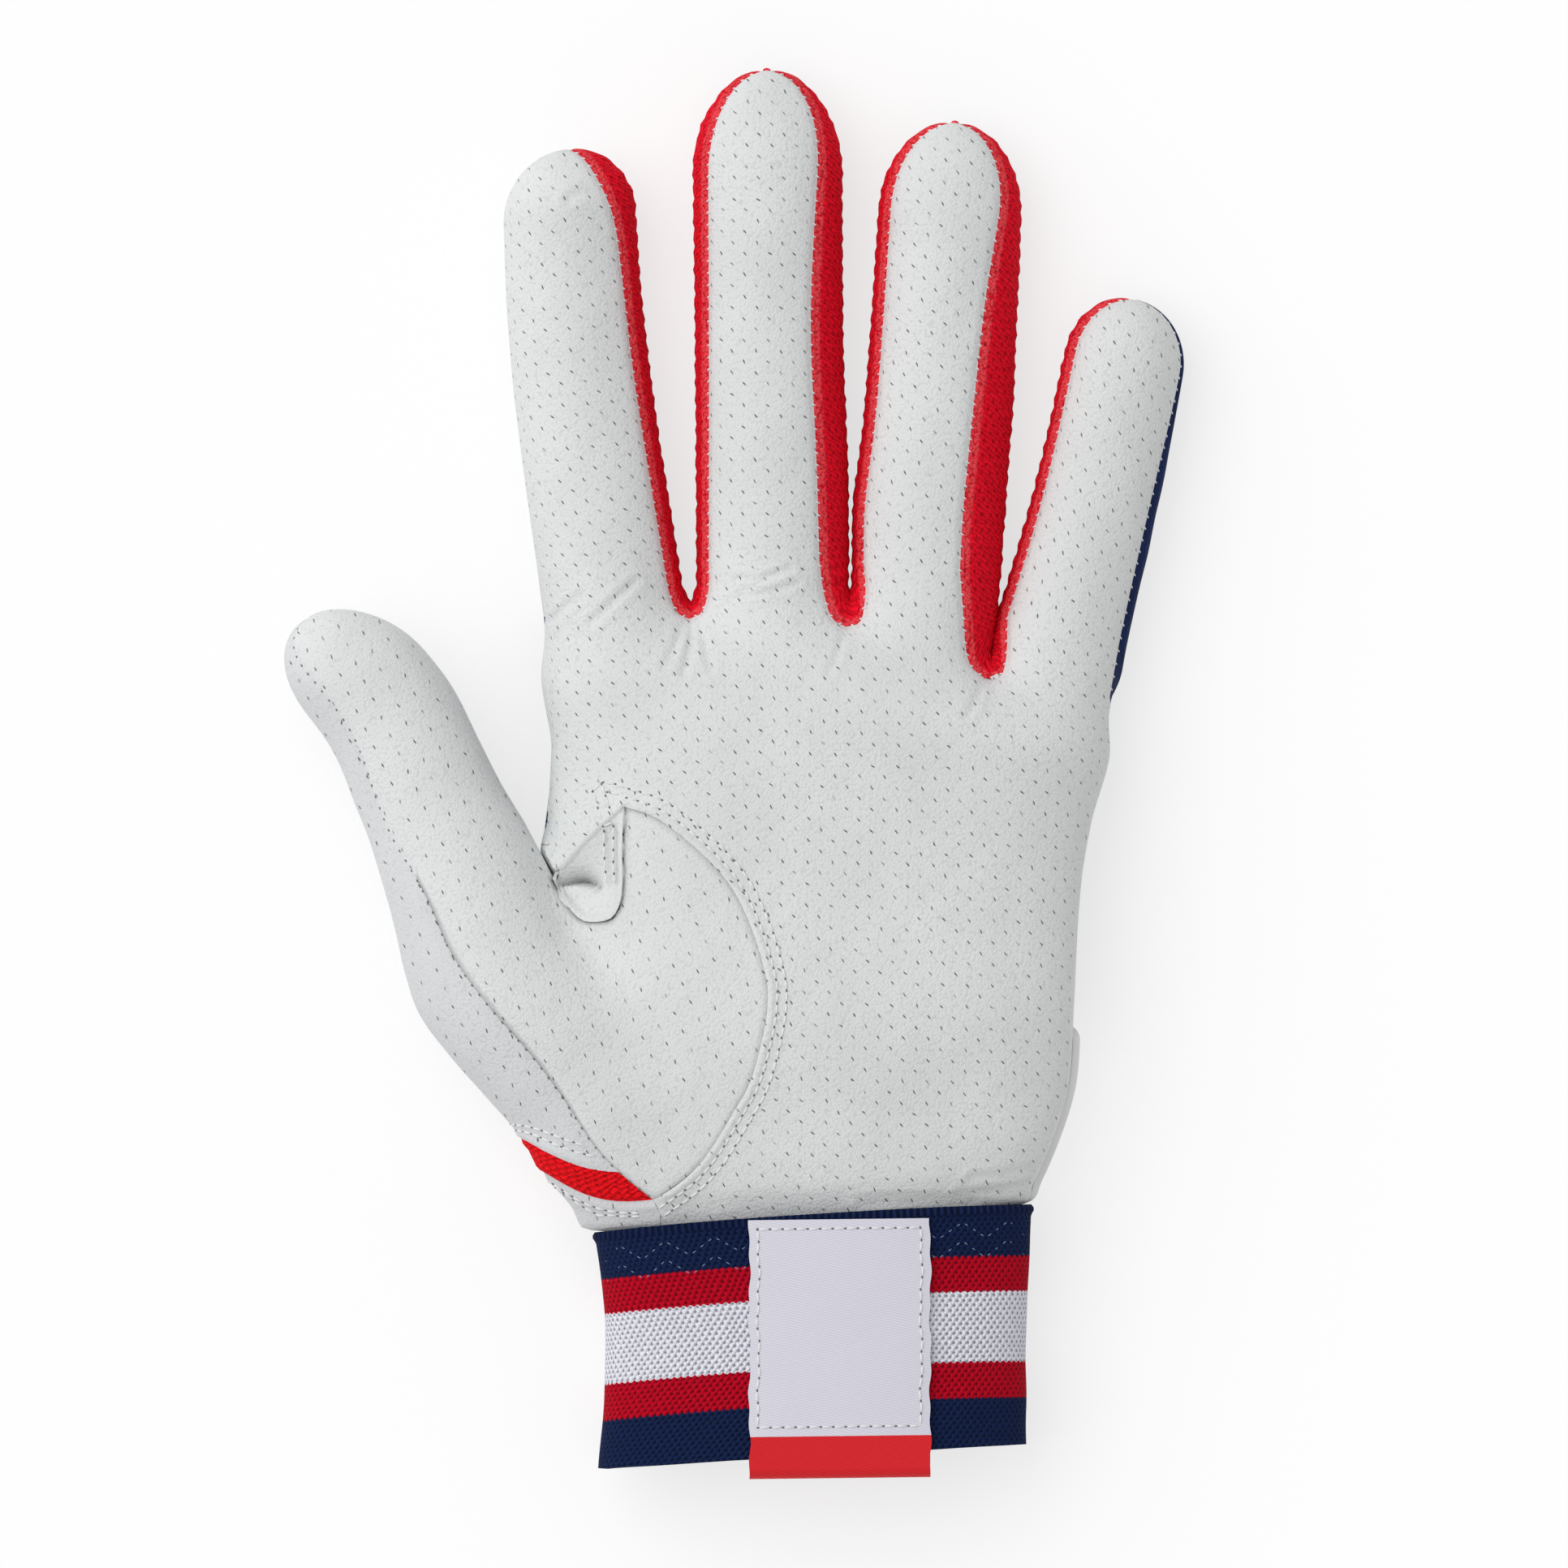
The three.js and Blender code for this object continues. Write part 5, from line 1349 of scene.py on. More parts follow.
def hide_chart(grid, stall=None):
    """The flat layout of the palm leather: lengths over the palm, and along and across each finger."""
    x, y = grid[..., 0], grid[..., 1]
    centre, half = read_table(PALM_CENTRE_X, y), read_table(PALM_HALF_WIDTH, y)
    palm = np.stack([centre + half * arc_share((x - centre) / half, PALM_ASPECT, PALM_ROUNDNESS), y], -1)
    if stall is None:
        return palm
    offset = grid[..., :2] - stall.base
    along = offset @ stall.along
    share = np.clip(along / stall.length, 0, 1)
    half = stall.read("half_width", share)
    aside = (offset @ stall.across - stall.read("drift", share)) / half
    across = half * arc_share(aside, FINGER_ASPECT, FINGER_ROUNDNESS)
    finger = stall.base + np.stack([across, along], -1)
    return mix(palm, finger, eased((along - CHART_START) / CHART_RUN)[..., None])


def along_row(row, pitch, shift):
    """Evenly spaced places on a row of points, and the row's direction at each."""
    lengths = run_lengths(row)
    count = max(1, int(lengths[-1] / pitch))
    at = (np.arange(count) + shift) * lengths[-1] / count
    ahead, behind = (read_row(row, lengths, at + step) for step in (pitch / 4, -pitch / 4))
    return read_row(row, lengths, at), unit(ahead - behind)


class Sheet:
    """Grids of skin points welded into one surface, so that shading runs on across its pieces' cuts."""

    # The third function gives each point's painted shade, from 0 to 1, which darkens the colour where shade
    # falls.
    def __init__(self, skin, relief=no_relief, soil=no_relief):
        self.skin = skin
        self.relief = relief
        self.soil = soil
        self.grids = []
        self.stitches = {}

    def add(self, piece, grid, chart):
        self.grids.append((piece, grid, chart))

    def pressed(self, p):
        """Points with the relief pressed in, and the skin's outward directions there."""
        outward = unit(gradient(self.skin, p))
        placed = p + outward * self.relief(p)[..., None]
        placed[..., 2] = np.maximum(0, placed[..., 2])
        return placed, outward

    def sew(self, piece, row, pitch, length, radius, turn=0.0, raised=0.0, kind=THREAD, shift=0.5):
        """Adds a row of stitches or needle holes to a piece, each turned from the row's direction."""
        places, direction = along_row(row, pitch, shift)
        placed, outward = self.pressed(places)
        aside = np.cross(outward, direction)
        direction = unit(direction * math.cos(turn) + aside * math.sin(turn))
        made = stitch_bars(placed + outward * raised, direction, outward, length / 2, radius)
        self.stitches.setdefault(piece, []).append((kind, made))

    def sew_line(self, piece, row, stitch, raised=0.0):
        """Adds a row of lockstitches with a needle hole between every two, a small bar coloured as painted
        shade.
        """
        self.sew(piece, row, stitch.pitch, stitch.length, stitch.radius, raised=raised)
        hole_radius = stitch.radius * HOLE_WIDTH_SHARE
        self.sew(piece, row, stitch.pitch, stitch.hole, hole_radius, kind=HOLE, shift=0.0)

    def close(self):
        """Welds the grids. Returns the pressed points, their normals, their painted shade and each piece's
        faces.
        """
        flat = np.concatenate([grid.reshape(-1, 3) for _, grid, _ in self.grids])
        keys = np.round(flat * WELD_PER_MM).astype(int)
        _, first, ids = np.unique(keys, axis=0, return_index=True, return_inverse=True)
        ids = ids.reshape(-1)
        placed, outward = self.pressed(flat[first])
        normals = np.zeros_like(placed)
        pieces = {}
        start = 0
        for piece, grid, chart in self.grids:
            rows, columns = grid.shape[:2]
            own = ids[start:start + rows * columns].reshape(rows, columns)
            start += rows * columns
            quads, corners, across = outward_quads(own, chart, placed, outward)
            for k in range(4):
                np.add.at(normals, quads[:, k], across)
            pieces.setdefault(piece, []).append((quads, corners))
        return placed, unit(normals), self.soil(flat[first]), pieces


def quads_of(values):
    """The four corner values of each face of a grid."""
    around = (values[:-1, :-1], values[:-1, 1:], values[1:, 1:], values[1:, :-1])
    return np.stack([corner.reshape((-1,) + values.shape[2:]) for corner in around], axis=1)


def outward_quads(numbers, chart, points, outward):
    """A grid's faces turned outwards, their layout, and their directions, longer for a larger face."""
    quads, corners = quads_of(numbers), quads_of(chart)
    a, b, c, d = (points[quads[:, k]] for k in range(4))
    across = np.cross(c - a, d - b)
    if (across * outward[quads[:, 0]]).sum() < 0:
        return quads[:, ::-1], corners[:, ::-1], -across
    return quads, corners, across


def stitch_bars(places, direction, outward, half_length, radius):
    """Small rounded bars of thread: points, normals and faces."""
    aside = unit(np.cross(outward, direction))
    up = np.cross(direction, aside)
    turns = np.arange(SIDES) * TURN / SIDES
    points, normals = [], []
    for station, width in STITCH_STATIONS:
        centre = places + direction * (half_length * station) - up * (radius * STITCH_SINK * station ** 2)
        for turn in turns:
            ray = aside * math.cos(turn) + up * math.sin(turn)
            points.append(centre + ray * (radius * width))
            normals.append(unit(ray + direction * station * STITCH_END_TURN))
    count = len(places)
    points = np.stack(points, axis=1).reshape(-1, 3)
    normals = np.stack(normals, axis=1).reshape(-1, 3)
    rings = len(STITCH_STATIONS)
    shape = [
        [ring * SIDES + side, ring * SIDES + (side + 1) % SIDES,
         (ring + 1) * SIDES + (side + 1) % SIDES, (ring + 1) * SIDES + side]
        for ring in range(rings - 1) for side in range(SIDES)
    ]
    shape.append(list(range(SIDES))[::-1])
    shape.append([(rings - 1) * SIDES + side for side in range(SIDES)])
    faces = [[n * rings * SIDES + v for v in face] for n in range(count) for face in shape]
    return points, normals, faces


class Build:
    """Collects the points, faces, layouts and shading of one piece and makes its object."""

    def __init__(self, name):
        self.name = name
        self.points, self.outward, self.soil = [], [], []
        self.faces, self.charts, self.shading, self.kinds = [], [], [], []

    def add(self, points, outward, soil, faces, charts, shading, kind):
        start = len(self.points)
        self.points.extend(points)
        self.outward.extend(outward)
        self.soil.extend(soil)
        self.faces.extend([[start + v for v in face] for face in faces])
        self.charts.extend(charts)
        self.shading.extend(shading)
        self.kinds.extend([kind] * len(faces))

    def add_shell(self, outer, inner, normals, quads, corners, soil):
        """Adds an outer and an inner layer, joined by a rim round their open edges."""
        count = len(outer)
        faces, charts, shading, edges = [], [], [], {}
        for quad, corner in zip(quads.tolist(), corners.tolist()):
            kept = [k for k in range(4) if quad[k] != quad[k - 1]]
            if len(kept) < 3:
                continue
            face, chart = [quad[k] for k in kept], [corner[k] for k in kept]
            faces += [face, [v + count for v in reversed(face)]]
            charts += [chart, chart[::-1]]
            shading += [[normals[v] for v in face], [-normals[v] for v in reversed(face)]]
            for k, v in enumerate(face):
                after = (k + 1) % len(face)
                edges[(v, face[after])] = (chart[k], chart[after])
        rim = {edge: layout for edge, layout in edges.items() if edge[::-1] not in edges}
        away = np.zeros_like(outer)
        for a, b in rim:
            side = np.cross(outer[b] - outer[a], normals[a])
            away[a] += side
            away[b] += side
        away = unit(away)
        for (a, b), (chart_a, chart_b) in rim.items():
            faces.append([b, a, a + count, b + count])
            charts.append([chart_b, chart_a, chart_a, chart_b])
            shading.append([away[b], away[a], away[a], away[b]])
        points, outward = np.concatenate([outer, inner]), np.concatenate([normals, -normals])
        self.add(points, outward, np.tile(soil, 2), faces, charts, shading, OWN)

    def add_loose(self, made, kind):
        points, normals, faces = made
        charts = [[(0.0, 0.0)] * len(face) for face in faces]
        shading = [[normals[v] for v in face] for face in faces]
        self.add(points, normals, np.zeros(len(points)), faces, charts, shading, kind)

    def make(self, materials):
        points, outward = np.array(self.points), np.array(self.outward)
        mesh = bpy.data.meshes.new(self.name)
        mesh.from_pydata((points * MM).tolist(), [], self.faces)
        for material in materials:
            mesh.materials.append(material)
        mesh.polygons.foreach_set("material_index", self.kinds)
        mesh.polygons.foreach_set("use_smooth", [True] * len(self.faces))
        layout = mesh.uv_layers.new(name="layout")
        layout.data.foreach_set("uv", np.array([uv for chart in self.charts for uv in chart]).ravel())
        rest = mesh.attributes.new("rest", "FLOAT_VECTOR", "POINT")
        rest.data.foreach_set("vector", points.ravel())
        facing = mesh.attributes.new("facing", "FLOAT", "POINT")
        facing.data.foreach_set("value", np.abs(outward[:, 2]))
        # Each point's painted shade, which darkens the leather's colour.
        soil = mesh.attributes.new("soil", "FLOAT", "POINT")
        soil.data.foreach_set("value", np.array(self.soil))
        mesh.normals_split_custom_set(np.array([n for face in self.shading for n in face]).tolist())
        obj = bpy.data.objects.new(self.name + "_look", mesh)
        bpy.context.scene.collection.objects.link(obj)
        return obj


def stand_in(piece, slot):
    """Hides the piece's solid, which its object stands in for."""
    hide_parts(piece)


def cut_pieces(sheet, slots, materials):
    """Makes an object of every piece of a sheet, with its inner layer and its stitches."""
    placed, normals, soil, pieces = sheet.close()
    made = {}
    for piece, parts in pieces.items():
        quads = np.concatenate([part[0] for part in parts])
        corners = np.concatenate([part[1] for part in parts])
        used, local = np.unique(quads, return_inverse=True)
        local = local.reshape(quads.shape)
        outer, own = placed[used], normals[used]
        inner = outer - own * THICKNESS[slots[piece]]
        inner[:, 2] = np.maximum(0, inner[:, 2])
        build = Build(piece)
        build.add_shell(outer, inner, own, local, corners, soil[used])
        for kind, stitches in sheet.stitches.get(piece, []):
            build.add_loose(stitches, kind)
        made[piece] = build.make([materials[name] for name in (slots[piece], "thread", "needle_hole")])
        stand_in(piece, slots[piece])
    return made


# Materials

def srgb(red, green, blue):
    """A colour as it shows on a screen, from 0 to 255, as linear light."""
    values = (v / 255 for v in (red, green, blue))
    return tuple(v / 12.92 if v <= 0.04045 else ((v + 0.055) / 1.055) ** 2.4 for v in values)


def shade(colour, factor):
    return tuple(min(1.0, v * factor) for v in colour[:3]) + (1.0,)


def pale(colour, share):
    """A colour mixed with some white."""
    return tuple(mix(v, 1.0, share) for v in colour[:3]) + (1.0,)


class Tree:
    """The nodes of one material, added by short calls."""

    def __init__(self, name, roughness, gloss=0.5):
        self.material = bpy.data.materials.new(name)
        self.material.use_nodes = True
        self.nodes = self.material.node_tree.nodes
        self.links = self.material.node_tree.links
        self.surface = self.nodes["Principled BSDF"]
        self.surface.inputs["Roughness"].default_value = roughness
        self.surface.inputs["Specular IOR Level"].default_value = gloss

    def put(self, socket, value):
        if isinstance(value, bpy.types.NodeSocket):
            self.links.new(value, socket)
        else:
            socket.default_value = value

    def add(self, kind, inputs, **settings):
        node = self.nodes.new(kind)
        for key, value in settings.items():
            setattr(node, key, value)
        for key, value in inputs.items():
            self.put(node.inputs[key], value)
        return node

    def attribute(self, name, output="Fac"):
        return self.add("ShaderNodeAttribute", {}, attribute_name=name).outputs[output]

    def chart(self):
        return self.add("ShaderNodeUVMap", {}, uv_map="layout").outputs["UV"]

    def math(self, operation, *values):
        return self.add("ShaderNodeMath", dict(enumerate(values)), operation=operation).outputs[0]

    def vector(self, operation, *values):
        node = self.add("ShaderNodeVectorMath", dict(enumerate(values)), operation=operation)
        return node.outputs["Value" if operation == "LENGTH" else "Vector"]

    def turned(self, place, angle):
        inputs = {"Vector": place, "Angle": angle}
        return self.add("ShaderNodeVectorRotate", inputs, rotation_type="Z_AXIS").outputs[0]

    def noise(self, place, scale, detail=2.0, distortion=0.0):
        inputs = {"Vector": place, "Scale": scale, "Detail": detail, "Distortion": distortion}
        return self.add("ShaderNodeTexNoise", inputs).outputs["Fac"]

    def noise_colour(self, place, scale):
        """Three noises at once, each from about -0.5 to 0.5."""
        colour = self.add("ShaderNodeTexNoise", {"Vector": place, "Scale": scale}).outputs["Color"]
        return self.vector("SUBTRACT", colour, (0.5, 0.5, 0.5))

    def cells(self, place, scale, randomness=1.0):
        inputs = {"Vector": place, "Scale": scale, "Randomness": randomness}
        return self.add("ShaderNodeTexVoronoi", inputs, feature="F1").outputs["Distance"]

    def ramp(self, value, low, high):
        """0 at the low value, 1 at the high one."""
        inputs = {"Value": value, "From Min": low, "From Max": high}
        return self.add("ShaderNodeMapRange", inputs, interpolation_type="SMOOTHSTEP").outputs[0]

    def blend(self, factor, first, second):
        node = self.add("ShaderNodeMix", {0: factor, 6: first, 7: second}, data_type="RGBA")
        return node.outputs[2]

    def split(self, value):
        """The three parts of a vector."""
        return self.add("ShaderNodeSeparateXYZ", {0: value}).outputs

    def wave(self, operation, value, pitch):
        """A sine or cosine with a pitch in millimetres."""
        return self.math(operation, self.math("MULTIPLY", value, TURN / pitch))

    def tint(self, value, limits, colour, first, second):
        """A colour that goes from one shade to another while a value goes from limit to limit."""
        return self.blend(self.ramp(value, *limits), shade(colour, first), shade(colour, second))

    def sum(self, *terms, offset=0.0):
        """A weighted sum of values, given as pairs of value and weight."""
        total = offset
        for value, weight in terms:
            total = self.math("MULTIPLY_ADD", value, weight, total)
        return total

    def finish(self, colour, height, depth):
        """Links the colour, and a bump of a depth in millimetres."""
        self.put(self.surface.inputs["Base Color"], colour)
        bump = self.add("ShaderNodeBump", {"Height": height, "Distance": depth * MM, "Strength": 1.0})
        self.links.new(bump.outputs[0], self.surface.inputs["Normal"])
        return self.material


# Noise scales count patches for each millimetre, and limits say where a mask starts and is full.

CLOUD_LIMITS = (0.3, 0.7)
SLIT_HALF_LENGTH = 0.39
SLIT_HALF_WIDTH = 0.1
SLIT_SLANT = math.radians(50)
SLIT_TURN = math.radians(110)
SLIT_TURN_SCALE = 0.33
SLIT_DRIFT = 0.5
SLIT_DRIFT_SCALE = 0.22
SLIT_DEPTH_SCALE = 0.4
SLIT_DEPTH_LIMITS = (0.15, 0.6)
SLIT_EDGE_LIMITS = (1.25, 0.5)
SLIT_VIEW_LIMITS = (0.03, 0.25)
PALM_LATTICE = ((4.06, 3.5), math.radians(1.5))
THUMB_LATTICE = ((4.1, 5.0), math.radians(14))


def fabric(name, roughness, gloss=0.5):
    """A new material, and the place of each of its points at rest."""
    tree = Tree(name, roughness, gloss)
    return tree, tree.attribute("rest", "Vector")


def lattice_distance(tree, chart, pitch, stretch, slant=None):
    """Distance to the nearest place of a staggered lattice, stretched and turned there."""
    half = (pitch[0] / 2, pitch[1] / 2, 1.0)
    near = []
    for share in (0, 1):
        moved = tree.vector("ADD", chart, (half[0] * share, half[1] * share, 0.0))
        cell = tree.vector("WRAP", moved, half, tuple(-v for v in half))
        if slant:
            cell = tree.turned(cell, slant)
        near.append(tree.vector("LENGTH", tree.vector("MULTIPLY", cell, stretch)))
    return tree.math("MINIMUM", *near)


def slits(tree, place, lattice):
    """A mask of small slanted slits on a staggered lattice, none alike, fading where the skin turns away."""
    pitch, tilt = lattice
    drift = tree.noise_colour(place, SLIT_DRIFT_SCALE)
    chart = tree.vector("MULTIPLY_ADD", drift, (SLIT_DRIFT,) * 3, tree.turned(tree.chart(), tilt))
    turn = tree.noise(place, SLIT_TURN_SCALE)
    slant = tree.sum((turn, SLIT_TURN), offset=SLIT_SLANT - SLIT_TURN / 2)
    stretch = (1 / SLIT_HALF_LENGTH, 1 / SLIT_HALF_WIDTH, 0.0)
    hole = tree.ramp(lattice_distance(tree, chart, pitch, stretch, slant), *SLIT_EDGE_LIMITS)
    depth = tree.ramp(tree.noise(place, SLIT_DEPTH_SCALE), *SLIT_DEPTH_LIMITS)
    edge = tree.ramp(tree.attribute("facing"), *SLIT_VIEW_LIMITS)
    return tree.math("MULTIPLY", hole, tree.math("MULTIPLY", edge, depth))


LEATHER_CLOUD_SCALE = 0.05
LEATHER_CLOUD_SHADES = (0.955, 1.01)
PEBBLE_SCALE = 2.1
PEBBLE_LIMITS = (0.45, 1.0)
PEBBLE_SHADE = 0.86
GRAIN_SCALE = 6.0
WRINKLE_SCALE = 0.5
# How dark the leather is painted at full painted shade, as a share of its colour.
PAINTED_SHADE_FACTOR = 0.05
# How dark the slits are painted, as painted shade in the holes.
SLIT_SHADE = 0.16
LEATHER_DEPTH = 0.12


def leather(name, colour, lattice=None):
    """Soft pebbled leather, with slits where it has a lattice for them."""
    tree, place = fabric(name, roughness=0.55, gloss=0.3)
    clouds = tree.noise(place, LEATHER_CLOUD_SCALE)
    shown = tree.tint(clouds, CLOUD_LIMITS, colour, *LEATHER_CLOUD_SHADES)
    pebbles = tree.cells(place, PEBBLE_SCALE)
    grain = tree.noise(place, GRAIN_SCALE)
    wrinkles = tree.noise(place, WRINKLE_SCALE, 3.0, 1.0)
    shown = tree.blend(tree.ramp(pebbles, *PEBBLE_LIMITS), shown, shade(colour, PEBBLE_SHADE))
    # Painted shade: the colour darkened in the arched fold, on the tongue's crease, under the lapped edge
    # and in the thumb seam.
    shown = tree.blend(tree.attribute("soil"), shown, shade(colour, PAINTED_SHADE_FACTOR))
    height = tree.sum((pebbles, -0.7), (grain, 0.3), (wrinkles, 0.9))
    if lattice:
        hole = slits(tree, place, lattice)
        # The slits are painted dark, as painted shade in the holes, and sunk by the bump.
        shown = tree.blend(hole, shown, shade(colour, SLIT_SHADE))
        height = tree.sum((height, 1.0), (hole, -1.5))
    return tree.finish(shown, height, LEATHER_DEPTH)


TERRY_WIDTH = 1.5
TERRY_EDGE = 0.3
TERRY_LIMITS = (0.3, 0.9)
# White mixed into the tops of the loops, as a painted highlight.
TERRY_PALE = 0.07
MESH_WAVER = 0.9
MESH_WAVER_SCALE = 0.5
# Painted shade and painted light: the knit darker where it sinks and lighter where it stands high.
MESH_SHADES = (0.72, 1.12)
MESH_LIMITS = (-0.6, 0.35)
MESH_DEPTH = 0.3
RIB_PITCH = 0.72
RIB_SLANT = math.radians(28)
LOOP_SCALE = 2.2
THREAD_SCALE = 5.0
EYE_PITCH = (1.7, 2.6)
EYE_STRETCH = (2.6, 1.9, 0.0)
EYE_LIMITS = (1.0, 0.35)
EYE_SHARE = 0.7
# How dark the eyes are painted, as painted shade in the openings.
EYE_SHADE = 0.46


def knit_mesh(name, colour, terry_width=TERRY_WIDTH):
    """Warp-knit mesh: a band of loops along the leather, then slanted rows with small eyes. Painted
    highlights and painted shade follow the loops and the rows, and the eyes are painted dark as painted
    shade.
    """
    tree, place = fabric(name, roughness=0.8, gloss=0.06)
    from_edge = tree.split(tree.chart())[0]
    wavy = tree.sum((tree.noise(place, 0.8), 0.8), (from_edge, 1.0), offset=-0.4)
    band = tree.ramp(wavy, terry_width + TERRY_EDGE, terry_width - TERRY_EDGE)
    waver = tree.noise_colour(place, MESH_WAVER_SCALE)
    chart = tree.vector("MULTIPLY_ADD", waver, (MESH_WAVER,) * 3, tree.chart())
    rib = tree.wave("SINE", tree.split(tree.turned(chart, RIB_SLANT))[1], RIB_PITCH)
    loops = tree.cells(place, LOOP_SCALE, 0.9)
    threads = tree.noise(place, THREAD_SCALE)
    eye = tree.ramp(lattice_distance(tree, chart, EYE_PITCH, EYE_STRETCH), *EYE_LIMITS)
    height = tree.sum((rib, 0.35), (loops, -0.7), (threads, 0.5))
    # Painted light and shade that follow the knit's height, with the eyes painted dark as painted shade.
    lit = tree.tint(height, MESH_LIMITS, colour, *MESH_SHADES)
    ribbed = tree.blend(tree.math("MULTIPLY", eye, EYE_SHARE), lit, shade(colour, EYE_SHADE))
    # Painted highlights on the tops of the loops and painted shade between them.
    in_loops = tree.ramp(loops, *TERRY_LIMITS)
    terry = tree.blend(in_loops, pale(colour, TERRY_PALE), shade(colour, MESH_SHADES[0]))
    shown = tree.blend(band, ribbed, terry)
    return tree.finish(shown, tree.sum((height, 1.0), (eye, -0.5)), MESH_DEPTH)


WALE_SCALE = 2.4
WALE_SHADE = 0.5
STRETCH_CLOUD_SCALE = 0.09
STRETCH_CLOUD_SHADES = (0.85, 1.2)
STRETCH_DEPTH = 0.16


def stretch_knit(name, colour):
    """Smooth two-way stretch with fine wales."""
    tree, place = fabric(name, roughness=0.8, gloss=0.1)
    wales = tree.cells(place, WALE_SCALE, 0.35)
    clouds = tree.noise(place, STRETCH_CLOUD_SCALE, 3.0)
    shown = tree.tint(clouds, CLOUD_LIMITS, colour, *STRETCH_CLOUD_SHADES)
    shown = tree.blend(tree.ramp(wales, *CLOUD_LIMITS), shown, shade(colour, WALE_SHADE))
    return tree.finish(shown, tree.sum((wales, -1.0)), STRETCH_DEPTH)


EYELET_PITCH = (1.15, 1.52)
EYELET_WAVER = 0.5
EYELET_WAVER_SCALE = 0.45
EYELET_LIMITS = (0.0, -0.65)
# The colour that the eyelets are multiplied by, as painted shade in the openings.
EYELET_SHADE = (0.3, 0.3, 0.34, 1.0)
FUZZ_SCALE = 6.0
CUFF_DEPTH = 0.3
ROLL_RIB = 1.1
ROLL_EDGE = 0.3
# The stripes of the cuff: how far down each starts. The first starts at STRIPE_TOP.
STRIPE_TOP = -70.7
STRIPE_ARCH = 0.9
STRIPE_SPAN = 44.0
STRIPE_SCALLOP = 0.16
STRIPES = ((0.0, "navy"), (9.0, "red"), (14.7, "white"), (26.1, "red"), (31.8, "navy"))


def stripe_depth(tree, place, scallop):
    """How far down the stripes a place lies: the stripes run straight, with a slight arch in front."""
    x, y, _ = tree.split(place)
    across = tree.sum((x, 1.0), offset=-WRIST_CENTRE_X)
    middle = float(read_table(CUFF_CENTRE_X, CUFF_TOP))
    half = float(read_table(CUFF_HALF_WIDTH, CUFF_TOP))
    share = tree.math("DIVIDE", tree.sum((x, 1.0), offset=-middle), half)
    arch = tree.sum((tree.math("MULTIPLY", share, share), -STRIPE_ARCH), offset=STRIPE_TOP + STRIPE_ARCH)
    level = tree.sum((across, -WRIST_SLOPE), (y, 1.0))
    return tree.sum((level, -1.0), (scallop, STRIPE_SCALLOP), (arch, 1.0))


def stripe_colours(tree, depth, colours):
    """The colour of each stripe at a depth under the top of the cuff."""
    stripes = tree.add("ShaderNodeValToRGB", {0: tree.math("DIVIDE", depth, STRIPE_SPAN)})
    ramp = stripes.color_ramp
    ramp.interpolation = "CONSTANT"
    for number, (start, colour) in enumerate(STRIPES):
        element = ramp.elements[0] if number == 0 else ramp.elements.new(start / STRIPE_SPAN)
        element.color = shade(colours[colour], 1.0)
    ramp.elements.remove(ramp.elements[-1])
    return stripes.outputs[0]


def cuff_knit(name, colours):
    """Knitted elastic: staggered loops with eyelets painted dark as painted shade, in stripes, with a ribbed
    roll on top.
    """
    tree, place = fabric(name, roughness=0.82, gloss=0.06)
    waver = tree.noise_colour(place, EYELET_WAVER_SCALE)
    chart = tree.vector("MULTIPLY_ADD", waver, (EYELET_WAVER,) * 3, tree.chart())
    across, along, _ = tree.split(chart)
    down = tree.split(tree.chart())[1]
    wave_across = tree.wave("COSINE", across, EYELET_PITCH[0])
    wave_down = tree.wave("COSINE", along, EYELET_PITCH[1])
    loop = tree.math("MULTIPLY", tree.math("MULTIPLY", wave_across, wave_down), -1.0)
    rib = tree.wave("COSINE", across, ROLL_RIB)
    in_roll = tree.ramp(down, CUFF_ROLL_WIDTH, CUFF_ROLL_WIDTH - ROLL_EDGE)
    height = tree.add("ShaderNodeMix", {0: in_roll, 2: loop, 3: rib}, data_type="FLOAT").outputs[0]
    lit = stripe_colours(tree, stripe_depth(tree, place, wave_across), colours)
    # Painted shade: the stripe colour darkened in the eyelets between the loops.
    multiply = {"data_type": "RGBA", "blend_type": "MULTIPLY"}
    dark = tree.add("ShaderNodeMix", {0: 1.0, 6: lit, 7: EYELET_SHADE}, **multiply).outputs[2]
    fuzz = tree.noise(place, FUZZ_SCALE)
    shown = tree.blend(tree.ramp(tree.sum((fuzz, 0.5), (height, 1.0)), *EYELET_LIMITS), lit, dark)
    return tree.finish(shown, tree.sum((height, 1.0), (fuzz, 0.3)), CUFF_DEPTH)


TWILL_PITCH = 0.42
TWILL_SLANT = math.radians(13)
TWILL_SHADES = (0.93, 1.03)
TWILL_DEPTH = 0.06


def twill(name, colour):
    """Fine satin twill."""
    tree, place = fabric(name, roughness=0.5, gloss=0.2)
    line = tree.wave("SINE", tree.split(tree.turned(place, TWILL_SLANT))[1], TWILL_PITCH)
    threads = tree.noise(place, THREAD_SCALE)
    shown = tree.tint(line, (-1.0, 1.0), colour, *TWILL_SHADES)
    return tree.finish(shown, tree.sum((line, 0.5), (threads, 0.5)), TWILL_DEPTH)


RUBBER_CLOUD_SCALE = 0.2
RUBBER_SHADES = (0.95, 1.0)
RUBBER_GRAIN_SCALE = 3.0
RUBBER_DEPTH = 0.04


def moulded(name, colour):
    """Soft moulded rubber with a fine grain."""
    tree, place = fabric(name, roughness=0.48)
    clouds = tree.noise(place, RUBBER_CLOUD_SCALE, 3.0)
    shown = tree.blend(clouds, *(shade(colour, factor) for factor in RUBBER_SHADES))
    return tree.finish(shown, tree.noise(place, RUBBER_GRAIN_SCALE, 3.0), RUBBER_DEPTH)


TUFT_LIMITS = (0.25, 0.8)
TUFT_SHADES = (1.0, 0.6)


